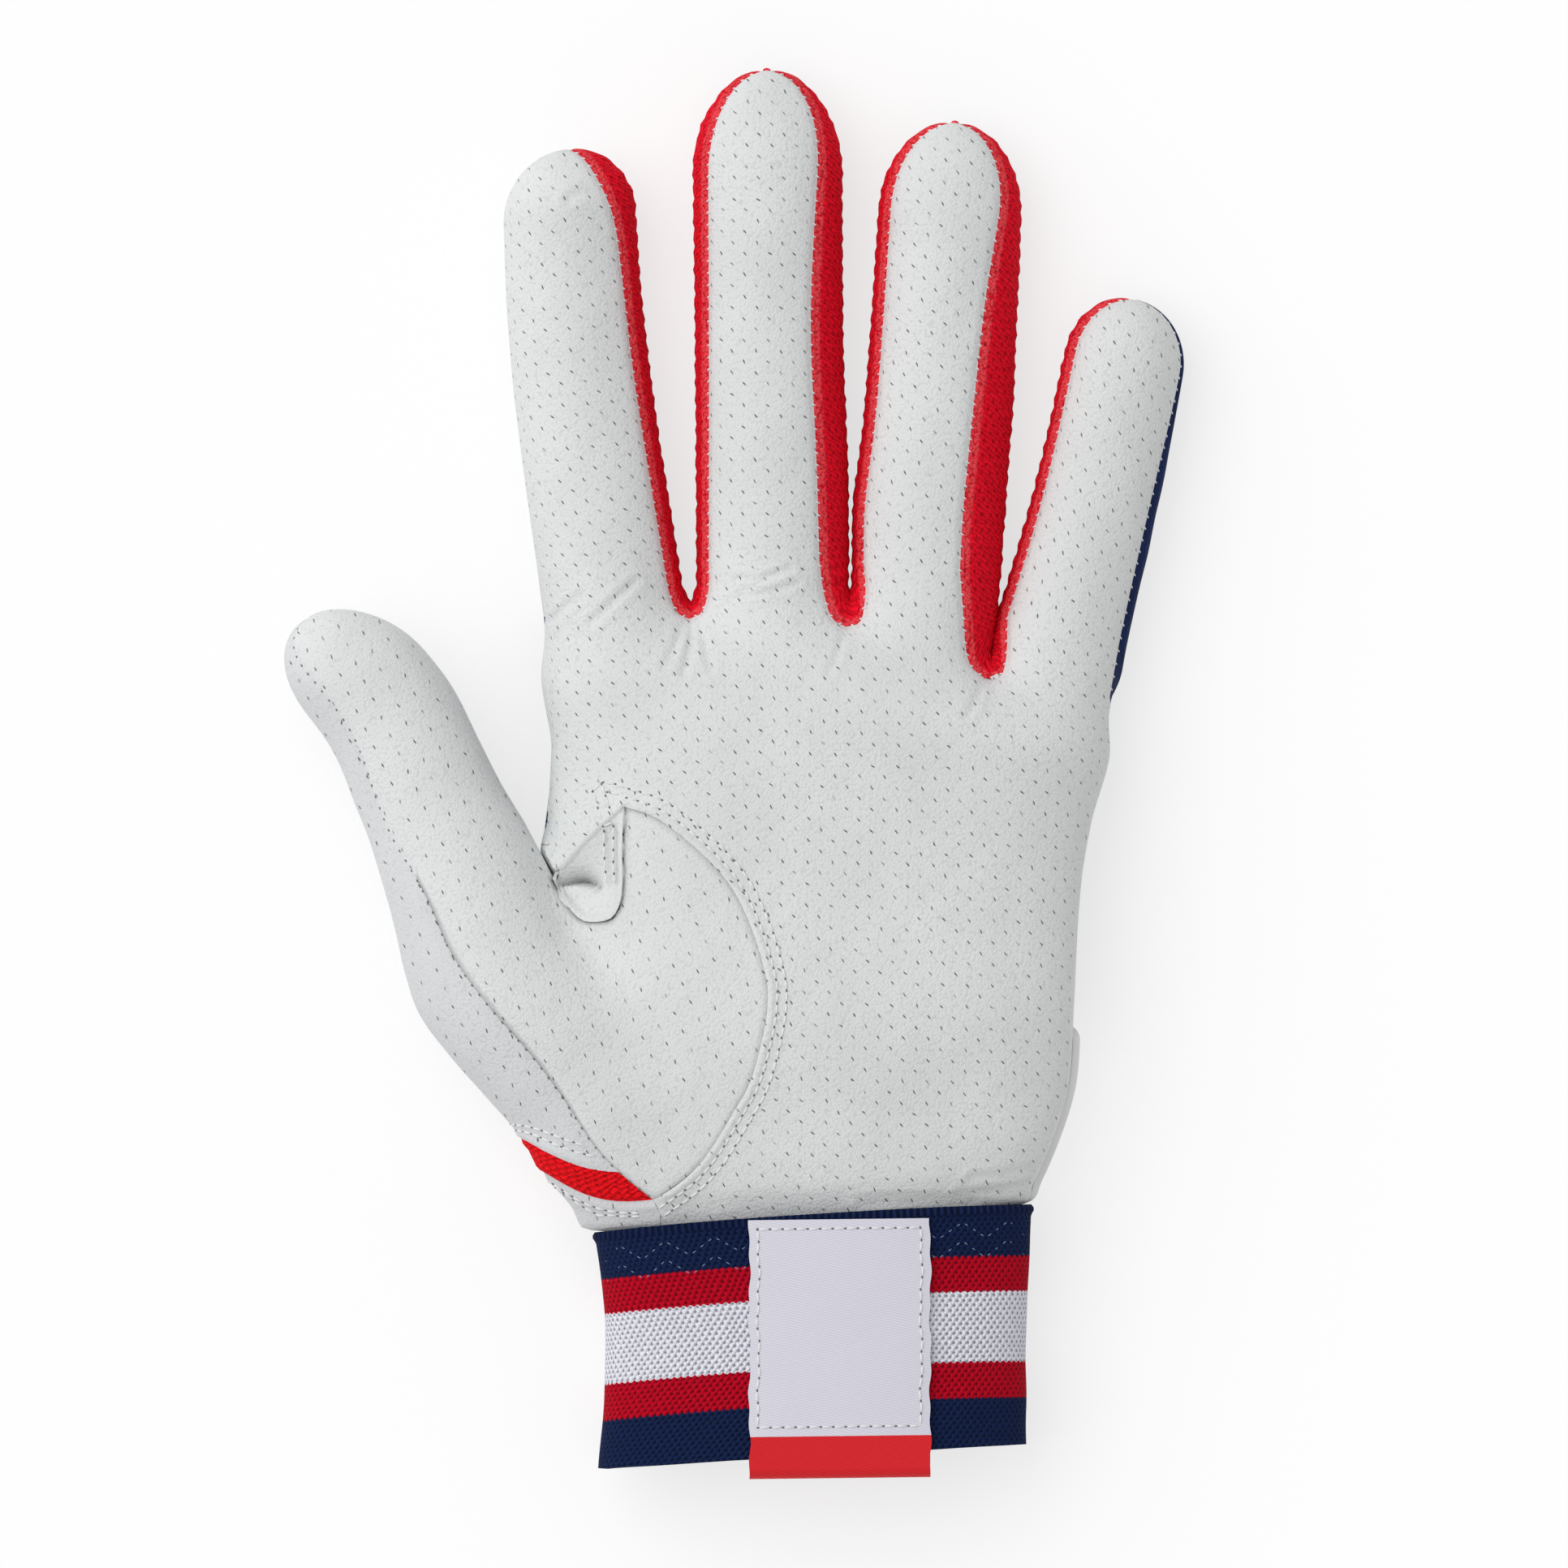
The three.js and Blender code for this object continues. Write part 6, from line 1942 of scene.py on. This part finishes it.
def pile(name, colour, scale, depth):
    """The hook or loop face of a touch fastener."""
    tree, place = fabric(name, roughness=0.8, gloss=0.2)
    tufts = tree.cells(place, scale, 0.6)
    shown = tree.tint(tufts, TUFT_LIMITS, colour, *TUFT_SHADES)
    return tree.finish(shown, tree.sum((tufts, -1.0)), depth)


TWIST_SCALE = 4.0
TWIST_SHADES = (0.85, 1.05)
TWIST_DEPTH = 0.05


def thread(name, colour):
    """Twisted sewing thread."""
    tree, place = fabric(name, roughness=0.6, gloss=0.2)
    twist = tree.noise(place, TWIST_SCALE)
    shown = tree.blend(twist, *(shade(colour, factor) for factor in TWIST_SHADES))
    return tree.finish(shown, twist, TWIST_DEPTH)


HOOK_PILE = (1.1, 0.3)
LOOP_PILE = (1.8, 0.25)


def colour_setting(name, description, red, green, blue):
    default = srgb(red, green, blue)
    return bpy.props.FloatVectorProperty(
        name=name, description=description, subtype="COLOR", size=3, min=0, max=1, default=default
    )


def length_setting(name, description, millimetres):
    default = millimetres * MM
    return bpy.props.FloatProperty(
        name=name, description=description, subtype="DISTANCE", unit="LENGTH", min=0, default=default
    )


class GloveColours(bpy.types.PropertyGroup):
    palm: colour_setting("Palm leather", "Colour of the perforated leather", 217, 219, 219)
    plain: colour_setting("Plain leather", "Colour of the smooth leather", 210, 211, 213)
    red: colour_setting("Red mesh", "Colour of the finger sides", 242, 18, 42)
    vent: colour_setting("Vent", "Colour of the mesh at the wrist", 246, 20, 30)
    navy: colour_setting("Navy stretch", "Colour of the back", 26, 42, 86)
    cuff_navy: colour_setting("Cuff navy", "Outer stripes of the cuff", 22, 37, 75)
    cuff_red: colour_setting("Cuff red", "Red stripes of the cuff", 192, 8, 36)
    cuff_white: colour_setting("Cuff white", "Middle stripe of the cuff", 238, 238, 248)
    label: colour_setting("Label", "Face of the woven label", 217, 215, 226)
    label_red: colour_setting("Label end", "Folded end of the label", 214, 28, 36)
    rubber: colour_setting("Tab", "Moulded closure tab", 250, 250, 250)
    hook: colour_setting("Hook patch", "Hook side of the touch fastener", 244, 244, 244)
    loop: colour_setting("Loop patch", "Loop side of the touch fastener", 233, 233, 236)
    thread: colour_setting("Thread", "White sewing thread", 232, 232, 233)
    zigzag: colour_setting("Zigzag thread", "Grey-blue thread on the cuff", 128, 146, 178)
    hole: colour_setting("Needle holes", "Shade in the needle holes", 106, 110, 116)
    floor: colour_setting("Floor", "Plain pale floor", 254, 254, 254)


class GloveStitches(bpy.types.PropertyGroup):
    pitch: length_setting("Pitch", "Distance from one stitch to the next", 1.9)
    length: length_setting("Length", "Length of one stitch", 1.45)
    width: length_setting("Width", "Thickness of the thread", 0.36)
    hole: length_setting("Needle hole", "Length of a needle hole", 0.5)
    tooth: length_setting("Tooth", "Length of a stitch across a finger seam", 0.75)


class GloveLight(bpy.types.PropertyGroup):
    sky: bpy.props.FloatProperty(
        name="Sky", description="Strength of the even light", default=0.56, min=0
    )
    sun: bpy.props.FloatProperty(
        name="Sun", description="Strength of the soft main light", default=1.78, min=0
    )
    softness: bpy.props.FloatProperty(
        name="Softness", description="Angle that the main light fills", default=1.2,
        subtype="ANGLE", unit="ROTATION"
    )


@functools.cache
def glove_materials():
    """All materials of the glove, by material slot and thread."""
    colours = bpy.context.scene.glove_colours
    stripes = {"navy": colours.cuff_navy, "red": colours.cuff_red, "white": colours.cuff_white}
    return {
        "palm_leather": leather("palm_leather", colours.palm, PALM_LATTICE),
        "thumb_leather": leather("thumb_leather", colours.palm, THUMB_LATTICE),
        "plain_leather": leather("plain_leather", colours.plain),
        "side_leather": leather("side_leather", colours.plain, THUMB_LATTICE),
        "red_mesh": knit_mesh("red_mesh", colours.red),
        "vent_mesh": knit_mesh("vent_mesh", colours.vent, terry_width=0.0),
        "navy_stretch": stretch_knit("navy_stretch", colours.navy),
        "cuff_knit": cuff_knit("cuff_knit", stripes),
        "label_weave": twill("label_weave", colours.label),
        "label_red": twill("label_red", colours.label_red),
        "moulded_rubber": moulded("moulded_rubber", colours.rubber),
        "hook_plastic": pile("hook_plastic", colours.hook, *HOOK_PILE),
        "loop_pile": pile("loop_pile", colours.loop, *LOOP_PILE),
        "thread": thread("thread", colours.thread),
        "zigzag": thread("zigzag", colours.zigzag),
        "needle_hole": thread("needle_hole", colours.hole),
        "tongue_leather": leather("tongue_leather", colours.palm),
    }


# Building the pieces

TOOTH_TURN = math.radians(60)
TOOTH_RAISE = 0.1
TOOTH_WIDTH_SHARE = 0.75
LAP_ROWS = (1.5, 3.0)
HEM_STITCH_ROWS = (2.4, 4.0)
NUB_LENGTH = 1.3
NUB_RADIUS = 0.45

# The bar tack at the end of the lapped edge and the two rows beside the tongue, in picture pixels.
TACK_ROWS = (
    ((741, 966), (757, 1012)),
    ((730, 975), (743, 1017)),
    ((730, 975), (741, 964)),
    ((743, 1018), (757, 1013)),
    ((743, 964), (758, 966), (775, 972)),
    ((748, 976), (760, 978), (771, 983)),
    ((744, 1024), (745, 1060), (748, 1092)),
    ((756, 1018), (756, 1060), (758, 1092)),
)


class Stitch:
    """The sizes of a lockstitch in millimetres."""

    def __init__(self, settings):
        self.pitch = settings.pitch / MM
        self.length = settings.length / MM
        self.radius = settings.width / MM / 2
        self.hole = settings.hole / MM
        self.tooth = settings.tooth / MM
        self.raise_height = self.radius / 4


BEND_MARGIN = 2.5
MIDDLE_BEND = {"index": 8, "middle": 8, "ring": 8, "little": 7}
THUMB_BEND = (54, 64)


def bend_root(obj, stall):
    start, end = BEND_MARGIN, 2 * stall.hinges[0] - BEND_MARGIN
    stall.axis_place(start)
    stall.axis_place(end)
    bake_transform(obj)


def bend_tip(obj, stall):
    reach = MIDDLE_BEND[stall.name]
    start, end = stall.hinges[1] - reach, stall.hinges[1] + reach
    stall.axis_place(start)
    stall.axis_place(end)
    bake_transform(obj)


def stall_of(piece):
    """The finger that a piece belongs to. The webs stay with the hand."""
    own = [stall for stall in fingers if piece.startswith(stall.name + "_") and not piece.endswith("_web")]
    return own[0] if own else None


def hang(made):
    """Parents the tab pieces to the tab's body and the other pieces to the hand's body. The finger pieces
    and the thumb's front and back only have their transforms baked into their meshes.
    """
    for piece, obj in made.items():
        stall = stall_of(piece)
        if stall and "_root_" in piece:
            bend_root(obj, stall)
        elif stall:
            bend_tip(obj, stall)
        elif piece in ("thumb_palm", "thumb_back"):
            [thumb.axis_place(along) for along in THUMB_BEND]
            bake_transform(obj)
        elif piece in ("closure_tab", "hook_patch"):
            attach(obj, "tab")
        else:
            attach(obj, "hand")


def beside(row, offset):
    """A row moved sideways in the picture plane, to the left of its direction, and lifted onto the skin."""
    ahead = unit(np.gradient(row[:, :2], axis=0))
    aside = np.stack([-ahead[:, 1], ahead[:, 0]], -1)
    flat = row[:, :2] + aside * offset
    return lift(flat[:, 0], flat[:, 1], UP)


def build_palm(stitch):
    """The palm leather with its tongue and the fronts of the fingers."""
    sheet = Sheet(hand_skin, palm_relief, palm_painted_shade)
    slots = {"palm_panel": "palm_leather", "thumb_tongue": "plain_leather"}
    for grid in palm_grids():
        sheet.add("palm_panel", grid, hide_chart(grid))
    sheet.add("thumb_tongue", tongue_grid(), hide_chart(tongue_grid()))
    for offset in LAP_ROWS:
        sheet.sew_line("palm_panel", beside(palm_arc, offset), stitch, stitch.raise_height)
    for points in TACK_ROWS:
        flat = close_points(np.pad(from_picture(points), ((0, 0), (0, 1))))
        sheet.sew_line("palm_panel", lift(flat[:, 0], flat[:, 1], UP), stitch, stitch.raise_height)
    for i, stall in enumerate(fingers):
        for part, grid in zip(("root", "tip"), finger_strips()[(i, "front")]):
            piece = f"{stall.name}_{part}_palm"
            slots[piece] = "palm_leather"
            sheet.add(piece, grid, hide_chart(grid, stall))
            for column, turn in ((0, -TOOTH_TURN), (-1, TOOTH_TURN)):
                radius = stitch.radius * TOOTH_WIDTH_SHARE
                sheet.sew(piece, grid[:, column], stitch.pitch, stitch.tooth, radius, turn, TOOTH_RAISE)
    materials = glove_materials()
    hang(cut_pieces(sheet, slots, dict(materials, plain_leather=materials["tongue_leather"])))


def sew_nub(sheet, piece, tip, stall):
    """A small nub of mesh across the very tip of a finger."""
    aside = np.append(stall.across, 0) * NUB_LENGTH / 2
    row = np.array([tip - aside, tip + aside])
    sheet.sew(piece, row, NUB_LENGTH, NUB_LENGTH, NUB_RADIUS, raised=NUB_RADIUS / 2, kind=OWN)


def build_sides():
    """The red strips between the fingers, with the webs across the crotches."""
    for i in range(len(fingers) - 1):
        sheet = Sheet(palm_and_fingers_skin, strip_relief)
        slots = {}
        web_name = f"{fingers[i].name}_{fingers[i + 1].name}_web"
        climbs = [web_climb(i, i, "right"), web_climb(i, i + 1, "left")]
        web = np.concatenate([climbs[0][WEB_ROWS::-1], climbs[1][1:WEB_ROWS + 1]])
        sheet.add(web_name, web, arc_chart(web))
        slots[web_name] = "red_mesh"
        for k, strip, climb in ((i, "right", climbs[0]), (i + 1, "left", climbs[1])):
            root = np.concatenate([climb[WEB_ROWS:], root_run(k, strip)])
            for part, grid in (("root", root), ("tip", tip_run(k, strip))):
                piece = f"{fingers[k].name}_{part}_fourchette_{strip}"
                slots[piece] = "red_mesh"
                sheet.add(piece, grid, arc_chart(grid))
                if part == "tip" and strip == "left" and len(fingers[k].sides) == 2:
                    sew_nub(sheet, piece, grid[-1, 0], fingers[k])
        hang(cut_pieces(sheet, slots, glove_materials()))


def build_back():
    """The stretch back of the hand and the backs of the fingers, pale leather on the index finger."""
    sheet = Sheet(hand_skin, back_relief)
    slots = {"back_panel": "navy_stretch"}
    for grid in back_grids():
        sheet.add("back_panel", grid, flat_chart(grid))
    for i, stall in enumerate(fingers):
        for part, grid in zip(("root", "tip"), finger_strips()[(i, "back")]):
            piece = f"{stall.name}_{part}_back"
            slots[piece] = "navy_stretch" if i else "plain_leather"
            sheet.add(piece, grid, flat_chart(grid))
    hang(cut_pieces(sheet, slots, glove_materials()))


def shifted(row, offset):
    """A row round the thumb side moved up the hand along the skin, as far as the thumb seam."""
    moved = settle(row + np.array([0.0, offset, 0.0]), hand_skin)
    seam_x = np.interp(moved[:, 1], thumb_seam[::-1, 1], thumb_seam[::-1, 0])
    return moved[moved[:, 0] <= seam_x]


def build_thumb(stitch):
    """The thumb front with its heel, the thumb side, the mesh vent and the wrist band."""
    materials = glove_materials()
    front = Sheet(hand_skin, thumb_relief, thumb_painted_shade)
    stall, heel = thenar_grids()
    front.add("thumb_palm", stall, flat_chart(stall))
    front.add("thenar_panel", heel, flat_chart(heel))
    # Rows of needle holes: small bars coloured as painted shade.
    for piece, row in (("thumb_palm", stall[:, 0]), ("thenar_panel", thumb_seam[CROTCH_ROW:])):
        front.sew(piece, row, stitch.pitch, stitch.hole, stitch.radius, kind=HOLE)
    slots = {"thumb_palm": "palm_leather", "thenar_panel": "palm_leather"}
    hang(cut_pieces(front, slots, dict(materials, palm_leather=materials["thumb_leather"])))
    side = Sheet(hand_skin, side_relief)
    grids = dict(zip(("thumb_back", "thumb_side_panel", "wrist_vent", "wrist_band"), thumb_side_grids()))
    for piece, grid in grids.items():
        side.add(piece, grid, arc_chart(grid) if piece == "wrist_vent" else flat_chart(grid))
    half = BACK_WRAP_COLUMNS // 2
    hem, vent_foot = grids["thumb_side_panel"][-1, half:], grids["wrist_vent"][-1, half:]
    for offset in HEM_STITCH_ROWS:
        side.sew_line("thumb_side_panel", shifted(hem, offset), stitch, stitch.raise_height)
        side.sew_line("wrist_band", shifted(vent_foot, -offset), stitch, stitch.raise_height)
    slots = {piece: "red_mesh" if piece == "wrist_vent" else "plain_leather" for piece in grids}
    own = dict(materials, plain_leather=materials["side_leather"], red_mesh=materials["vent_mesh"])
    hang(cut_pieces(side, slots, own))


def build_cuff():
    """The knitted elastic cuff with its rolled top edge and zigzag thread."""
    materials = glove_materials()
    sheet = Sheet(cuff_skin, cuff_relief)
    grid = cuff_grid()
    chart = arc_chart(grid)
    top = cuff_levels(0, CUFF_ANGLES)
    chart[..., 1] = top[None] - up_hand(grid[..., 0], grid[..., 1])
    sheet.add("cuff_band", grid, chart)
    for depths in ZIGZAG_DEPTHS:
        sew_zigzag(sheet, grid, *depths)
    hang(cut_pieces(sheet, {"cuff_band": "cuff_knit"}, dict(materials, thread=materials["zigzag"])))


ZIGZAG_LEG = 3.9
ZIGZAG_DASH = 1.4
ZIGZAG_SHOWN = 0.42
ZIGZAG_RADIUS = 0.08
ZIGZAG_RAISE = 0.08


def sew_zigzag(sheet, grid, top, bottom):
    """Zigzag thread round the cuff between two depths under its top edge, sunk into the knit in places."""
    lengths = run_lengths(grid[0])
    count = int(lengths[-1] / ZIGZAG_LEG / 2) * 2
    at = np.interp(np.arange(count + 1) * lengths[-1] / count, lengths, CUFF_ANGLES)
    depth = np.where(np.arange(count + 1) % 2 == 0, top, bottom)
    corners = cuff_point(cuff_levels(0, at) - depth, at)
    for leg in zip(corners[:-1], corners[1:]):
        shown = ZIGZAG_DASH * ZIGZAG_SHOWN
        sheet.sew("cuff_band", np.array(leg), ZIGZAG_DASH, shown, ZIGZAG_RADIUS, raised=ZIGZAG_RAISE)


def build_label(stitch):
    """The woven label with its dashed frame, and its red end folded round the cuff."""
    materials = glove_materials()
    sheet = Sheet(cuff_skin, label_relief)
    grid = label_grid()
    sheet.add("label_face", grid, flat_chart(grid))
    columns = round(LABEL_FRAME_INSET / (LABEL_RIGHT - LABEL_LEFT) * LABEL_COLUMNS)
    rows = round(LABEL_FRAME_INSET / (LABEL_TOP - LABEL_FOLD_LINE) * LABEL_ROWS)
    inset = grid[rows:-rows, columns:-columns]
    for row in (inset[0], inset[-1], inset[:, 0], inset[:, -1]):
        sheet.sew_line("label_face", row, stitch, stitch.raise_height)
    hang(cut_pieces(sheet, {"label_face": "label_weave"}, materials))
    build_fold(materials["label_red"])


def build_fold(material):
    """The red end of the label, a shell between its own outer and inner face."""
    outer, inner = fold_grids()
    numbers = np.arange(outer.shape[0] * outer.shape[1]).reshape(outer.shape[:2])
    chart = flat_chart(outer)
    outer, inner = outer.reshape(-1, 3), inner.reshape(-1, 3)
    away = outer - inner
    quads, corners, _ = outward_quads(numbers, chart, outer, away)
    build = Build("label_fold")
    build.add_shell(outer, inner, unit(away), quads, corners, np.zeros(len(outer)))
    fold = build.make([material])
    stand_in("label_fold", "label_red")
    hang({"label_fold": fold})


def build_closure():
    """The moulded tab with its hook patch, and the loop patch on the back of the hand."""
    pieces = (
        ("closure_tab", "moulded_rubber", tab_grid(), tab_relief),
        ("hook_patch", "hook_plastic", patch_grid(HOOK_OUTER), no_relief),
        ("loop_patch", "loop_pile", patch_grid(LOOP_OUTER), no_relief),
    )
    for piece, slot, grid, relief in pieces:
        sheet = Sheet(hand_skin, relief)
        sheet.add(piece, grid, flat_chart(grid))
        hang(cut_pieces(sheet, {piece: slot}, glove_materials()))


# Stage

# Camera height, floor size and how far the floor lies under the frame, in metres.
CAMERA_HEIGHT = 0.6
FLOOR_HALF = 3.0
FLOOR_DROP = 0.0001
# The share of the floor that glows white in the picture, so that the rest keeps the shadow.
FLOOR_GLOW = 0.7
SUN_TILT = (math.radians(-20), math.radians(-38), 0)


def shown_rays(node_tree):
    """1 for the rays that show the background: those of the camera, of mirrors and of glass."""
    rays = node_tree.nodes.new("ShaderNodeLightPath").outputs
    shown = rays["Is Camera Ray"]
    for name in ("Is Glossy Ray", "Is Transmission Ray"):
        either = node_tree.nodes.new("ShaderNodeMath")
        either.operation = "MAXIMUM"
        node_tree.links.new(shown, either.inputs[0])
        node_tree.links.new(rays[name], either.inputs[1])
        shown = either.outputs[0]
    return shown


def even_light(strength):
    """A plain sky that lights the glove evenly and looks white in the picture."""
    world = bpy.data.worlds.new("even_light")
    world.use_nodes = True
    nodes, links = world.node_tree.nodes, world.node_tree.links
    sky, white = nodes["Background"], nodes.new("ShaderNodeBackground")
    for background, level in ((sky, strength), (white, 1.0)):
        background.inputs["Color"].default_value = (1, 1, 1, 1)
        background.inputs["Strength"].default_value = level
    both = nodes.new("ShaderNodeMixShader")
    for socket, source in zip(both.inputs, (shown_rays(world.node_tree), sky.outputs[0], white.outputs[0])):
        links.new(source, socket)
    links.new(both.outputs[0], nodes["World Output"].inputs["Surface"])
    return world


def floor_material(colour):
    """A plain floor that looks pale in the picture and can be looked through from below."""
    tree = Tree("floor", roughness=0.9)
    tree.surface.inputs["Base Color"].default_value = shade(colour, 1.0)
    behind = tree.add("ShaderNodeNewGeometry", {}).outputs["Backfacing"]
    glow = tree.add("ShaderNodeEmission", {"Color": (1.0, 1.0, 1.0, 1.0), "Strength": 1.0}).outputs[0]
    share = tree.math("MULTIPLY", shown_rays(tree.material.node_tree), FLOOR_GLOW)
    front = tree.add("ShaderNodeMixShader", {0: share, 1: tree.surface.outputs[0], 2: glow}).outputs[0]
    clear = tree.add("ShaderNodeBsdfTransparent", {}).outputs[0]
    both = tree.add("ShaderNodeMixShader", {0: behind, 1: front, 2: clear})
    tree.links.new(both.outputs[0], tree.nodes["Material Output"].inputs["Surface"])
    return tree.material


def build_stage(colours, light):
    """The camera of the picture, the floor, the sun and the sky."""
    scene = bpy.context.scene
    scene.view_settings.view_transform = "Standard"
    middle = (from_picture([(PICTURE_SIZE / 2, PICTURE_SIZE / 2)])[0] * MM).tolist()
    camera_data = bpy.data.cameras.new("picture_camera")
    camera_data.type = "ORTHO"
    camera_data.ortho_scale = PICTURE_SIZE * PIXEL * MM
    camera = bpy.data.objects.new("picture_camera", camera_data)
    camera.location = (middle[0], middle[1], CAMERA_HEIGHT)
    scene.collection.objects.link(camera)
    scene.camera = camera
    bpy.ops.mesh.primitive_plane_add(size=2 * FLOOR_HALF, location=(0, 0, -FLOOR_DROP))
    floor = bpy.context.object
    floor.name = "floor"
    floor.data.materials.append(floor_material(colours.floor))
    sun_data = bpy.data.lights.new("main_light", "SUN")
    sun_data.energy = light.sun
    sun_data.angle = light.softness
    sun = bpy.data.objects.new("main_light", sun_data)
    sun.rotation_euler = SUN_TILT
    scene.collection.objects.link(sun)
    scene.world = even_light(light.sky)


class GLOVE_OT_palm(bpy.types.Operator):
    """Builds the palm leather and the fronts of the fingers"""
    bl_idname = "object.glove_palm"
    bl_label = "Palm leather"

    def execute(self, context):
        build_palm(Stitch(context.scene.glove_stitches))
        return {"FINISHED"}


class GLOVE_OT_sides(bpy.types.Operator):
    """Builds the red mesh between the fingers"""
    bl_idname = "object.glove_sides"
    bl_label = "Finger sides"

    def execute(self, context):
        build_sides()
        return {"FINISHED"}


class GLOVE_OT_back(bpy.types.Operator):
    """Builds the back of the hand and of the fingers"""
    bl_idname = "object.glove_back"
    bl_label = "Back"

    def execute(self, context):
        build_back()
        return {"FINISHED"}


class GLOVE_OT_thumb(bpy.types.Operator):
    """Builds the thumb, the thumb side and the wrist pieces"""
    bl_idname = "object.glove_thumb"
    bl_label = "Thumb and wrist"

    def execute(self, context):
        build_thumb(Stitch(context.scene.glove_stitches))
        return {"FINISHED"}


class GLOVE_OT_cuff(bpy.types.Operator):
    """Builds the knitted elastic cuff"""
    bl_idname = "object.glove_cuff"
    bl_label = "Cuff"

    def execute(self, context):
        build_cuff()
        return {"FINISHED"}


class GLOVE_OT_label(bpy.types.Operator):
    """Builds the woven label and its folded red end"""
    bl_idname = "object.glove_label"
    bl_label = "Label"

    def execute(self, context):
        build_label(Stitch(context.scene.glove_stitches))
        return {"FINISHED"}


class GLOVE_OT_closure(bpy.types.Operator):
    """Builds the closure tab and its hook and loop patches"""
    bl_idname = "object.glove_closure"
    bl_label = "Wrist closure"

    def execute(self, context):
        build_closure()
        return {"FINISHED"}


class GLOVE_OT_stage(bpy.types.Operator):
    """Adds the floor, the light and the camera"""
    bl_idname = "scene.glove_stage"
    bl_label = "Stage"

    def execute(self, context):
        build_stage(context.scene.glove_colours, context.scene.glove_light)
        return {"FINISHED"}


OPERATORS = (
    GLOVE_OT_palm, GLOVE_OT_sides, GLOVE_OT_back, GLOVE_OT_thumb, GLOVE_OT_cuff,
    GLOVE_OT_label, GLOVE_OT_closure, GLOVE_OT_stage,
)
SETTINGS = {"glove_colours": GloveColours, "glove_stitches": GloveStitches, "glove_light": GloveLight}


class GLOVE_PT_panel(bpy.types.Panel):
    """Lists the steps that build the glove"""
    bl_idname = "GLOVE_PT_panel"
    bl_label = "Batting glove"
    bl_space_type = "VIEW_3D"
    bl_region_type = "UI"
    bl_category = "Glove"

    def draw(self, context):
        for operator in OPERATORS:
            self.layout.operator(operator.bl_idname)
        for setting, group in SETTINGS.items():
            box = self.layout.box()
            for name in group.__annotations__:
                box.prop(getattr(context.scene, setting), name)


CLASSES = tuple(SETTINGS.values()) + OPERATORS + (GLOVE_PT_panel,)


def register():
    for kind in CLASSES:
        bpy.utils.register_class(kind)
    for setting, group in SETTINGS.items():
        setattr(bpy.types.Scene, setting, bpy.props.PointerProperty(type=group))


def unregister():
    for setting in SETTINGS:
        delattr(bpy.types.Scene, setting)
    for kind in reversed(CLASSES):
        bpy.utils.unregister_class(kind)


def main():
    register()
    for obj in bpy.context.selected_objects:
        obj.select_set(False)
    bpy.ops.object.glove_palm()
    bpy.ops.object.glove_sides()
    bpy.ops.object.glove_back()
    bpy.ops.object.glove_thumb()
    bpy.ops.object.glove_cuff()
    bpy.ops.object.glove_label()
    bpy.ops.object.glove_closure()
    bpy.ops.scene.glove_stage()


if __name__ == "__main__":
    main()
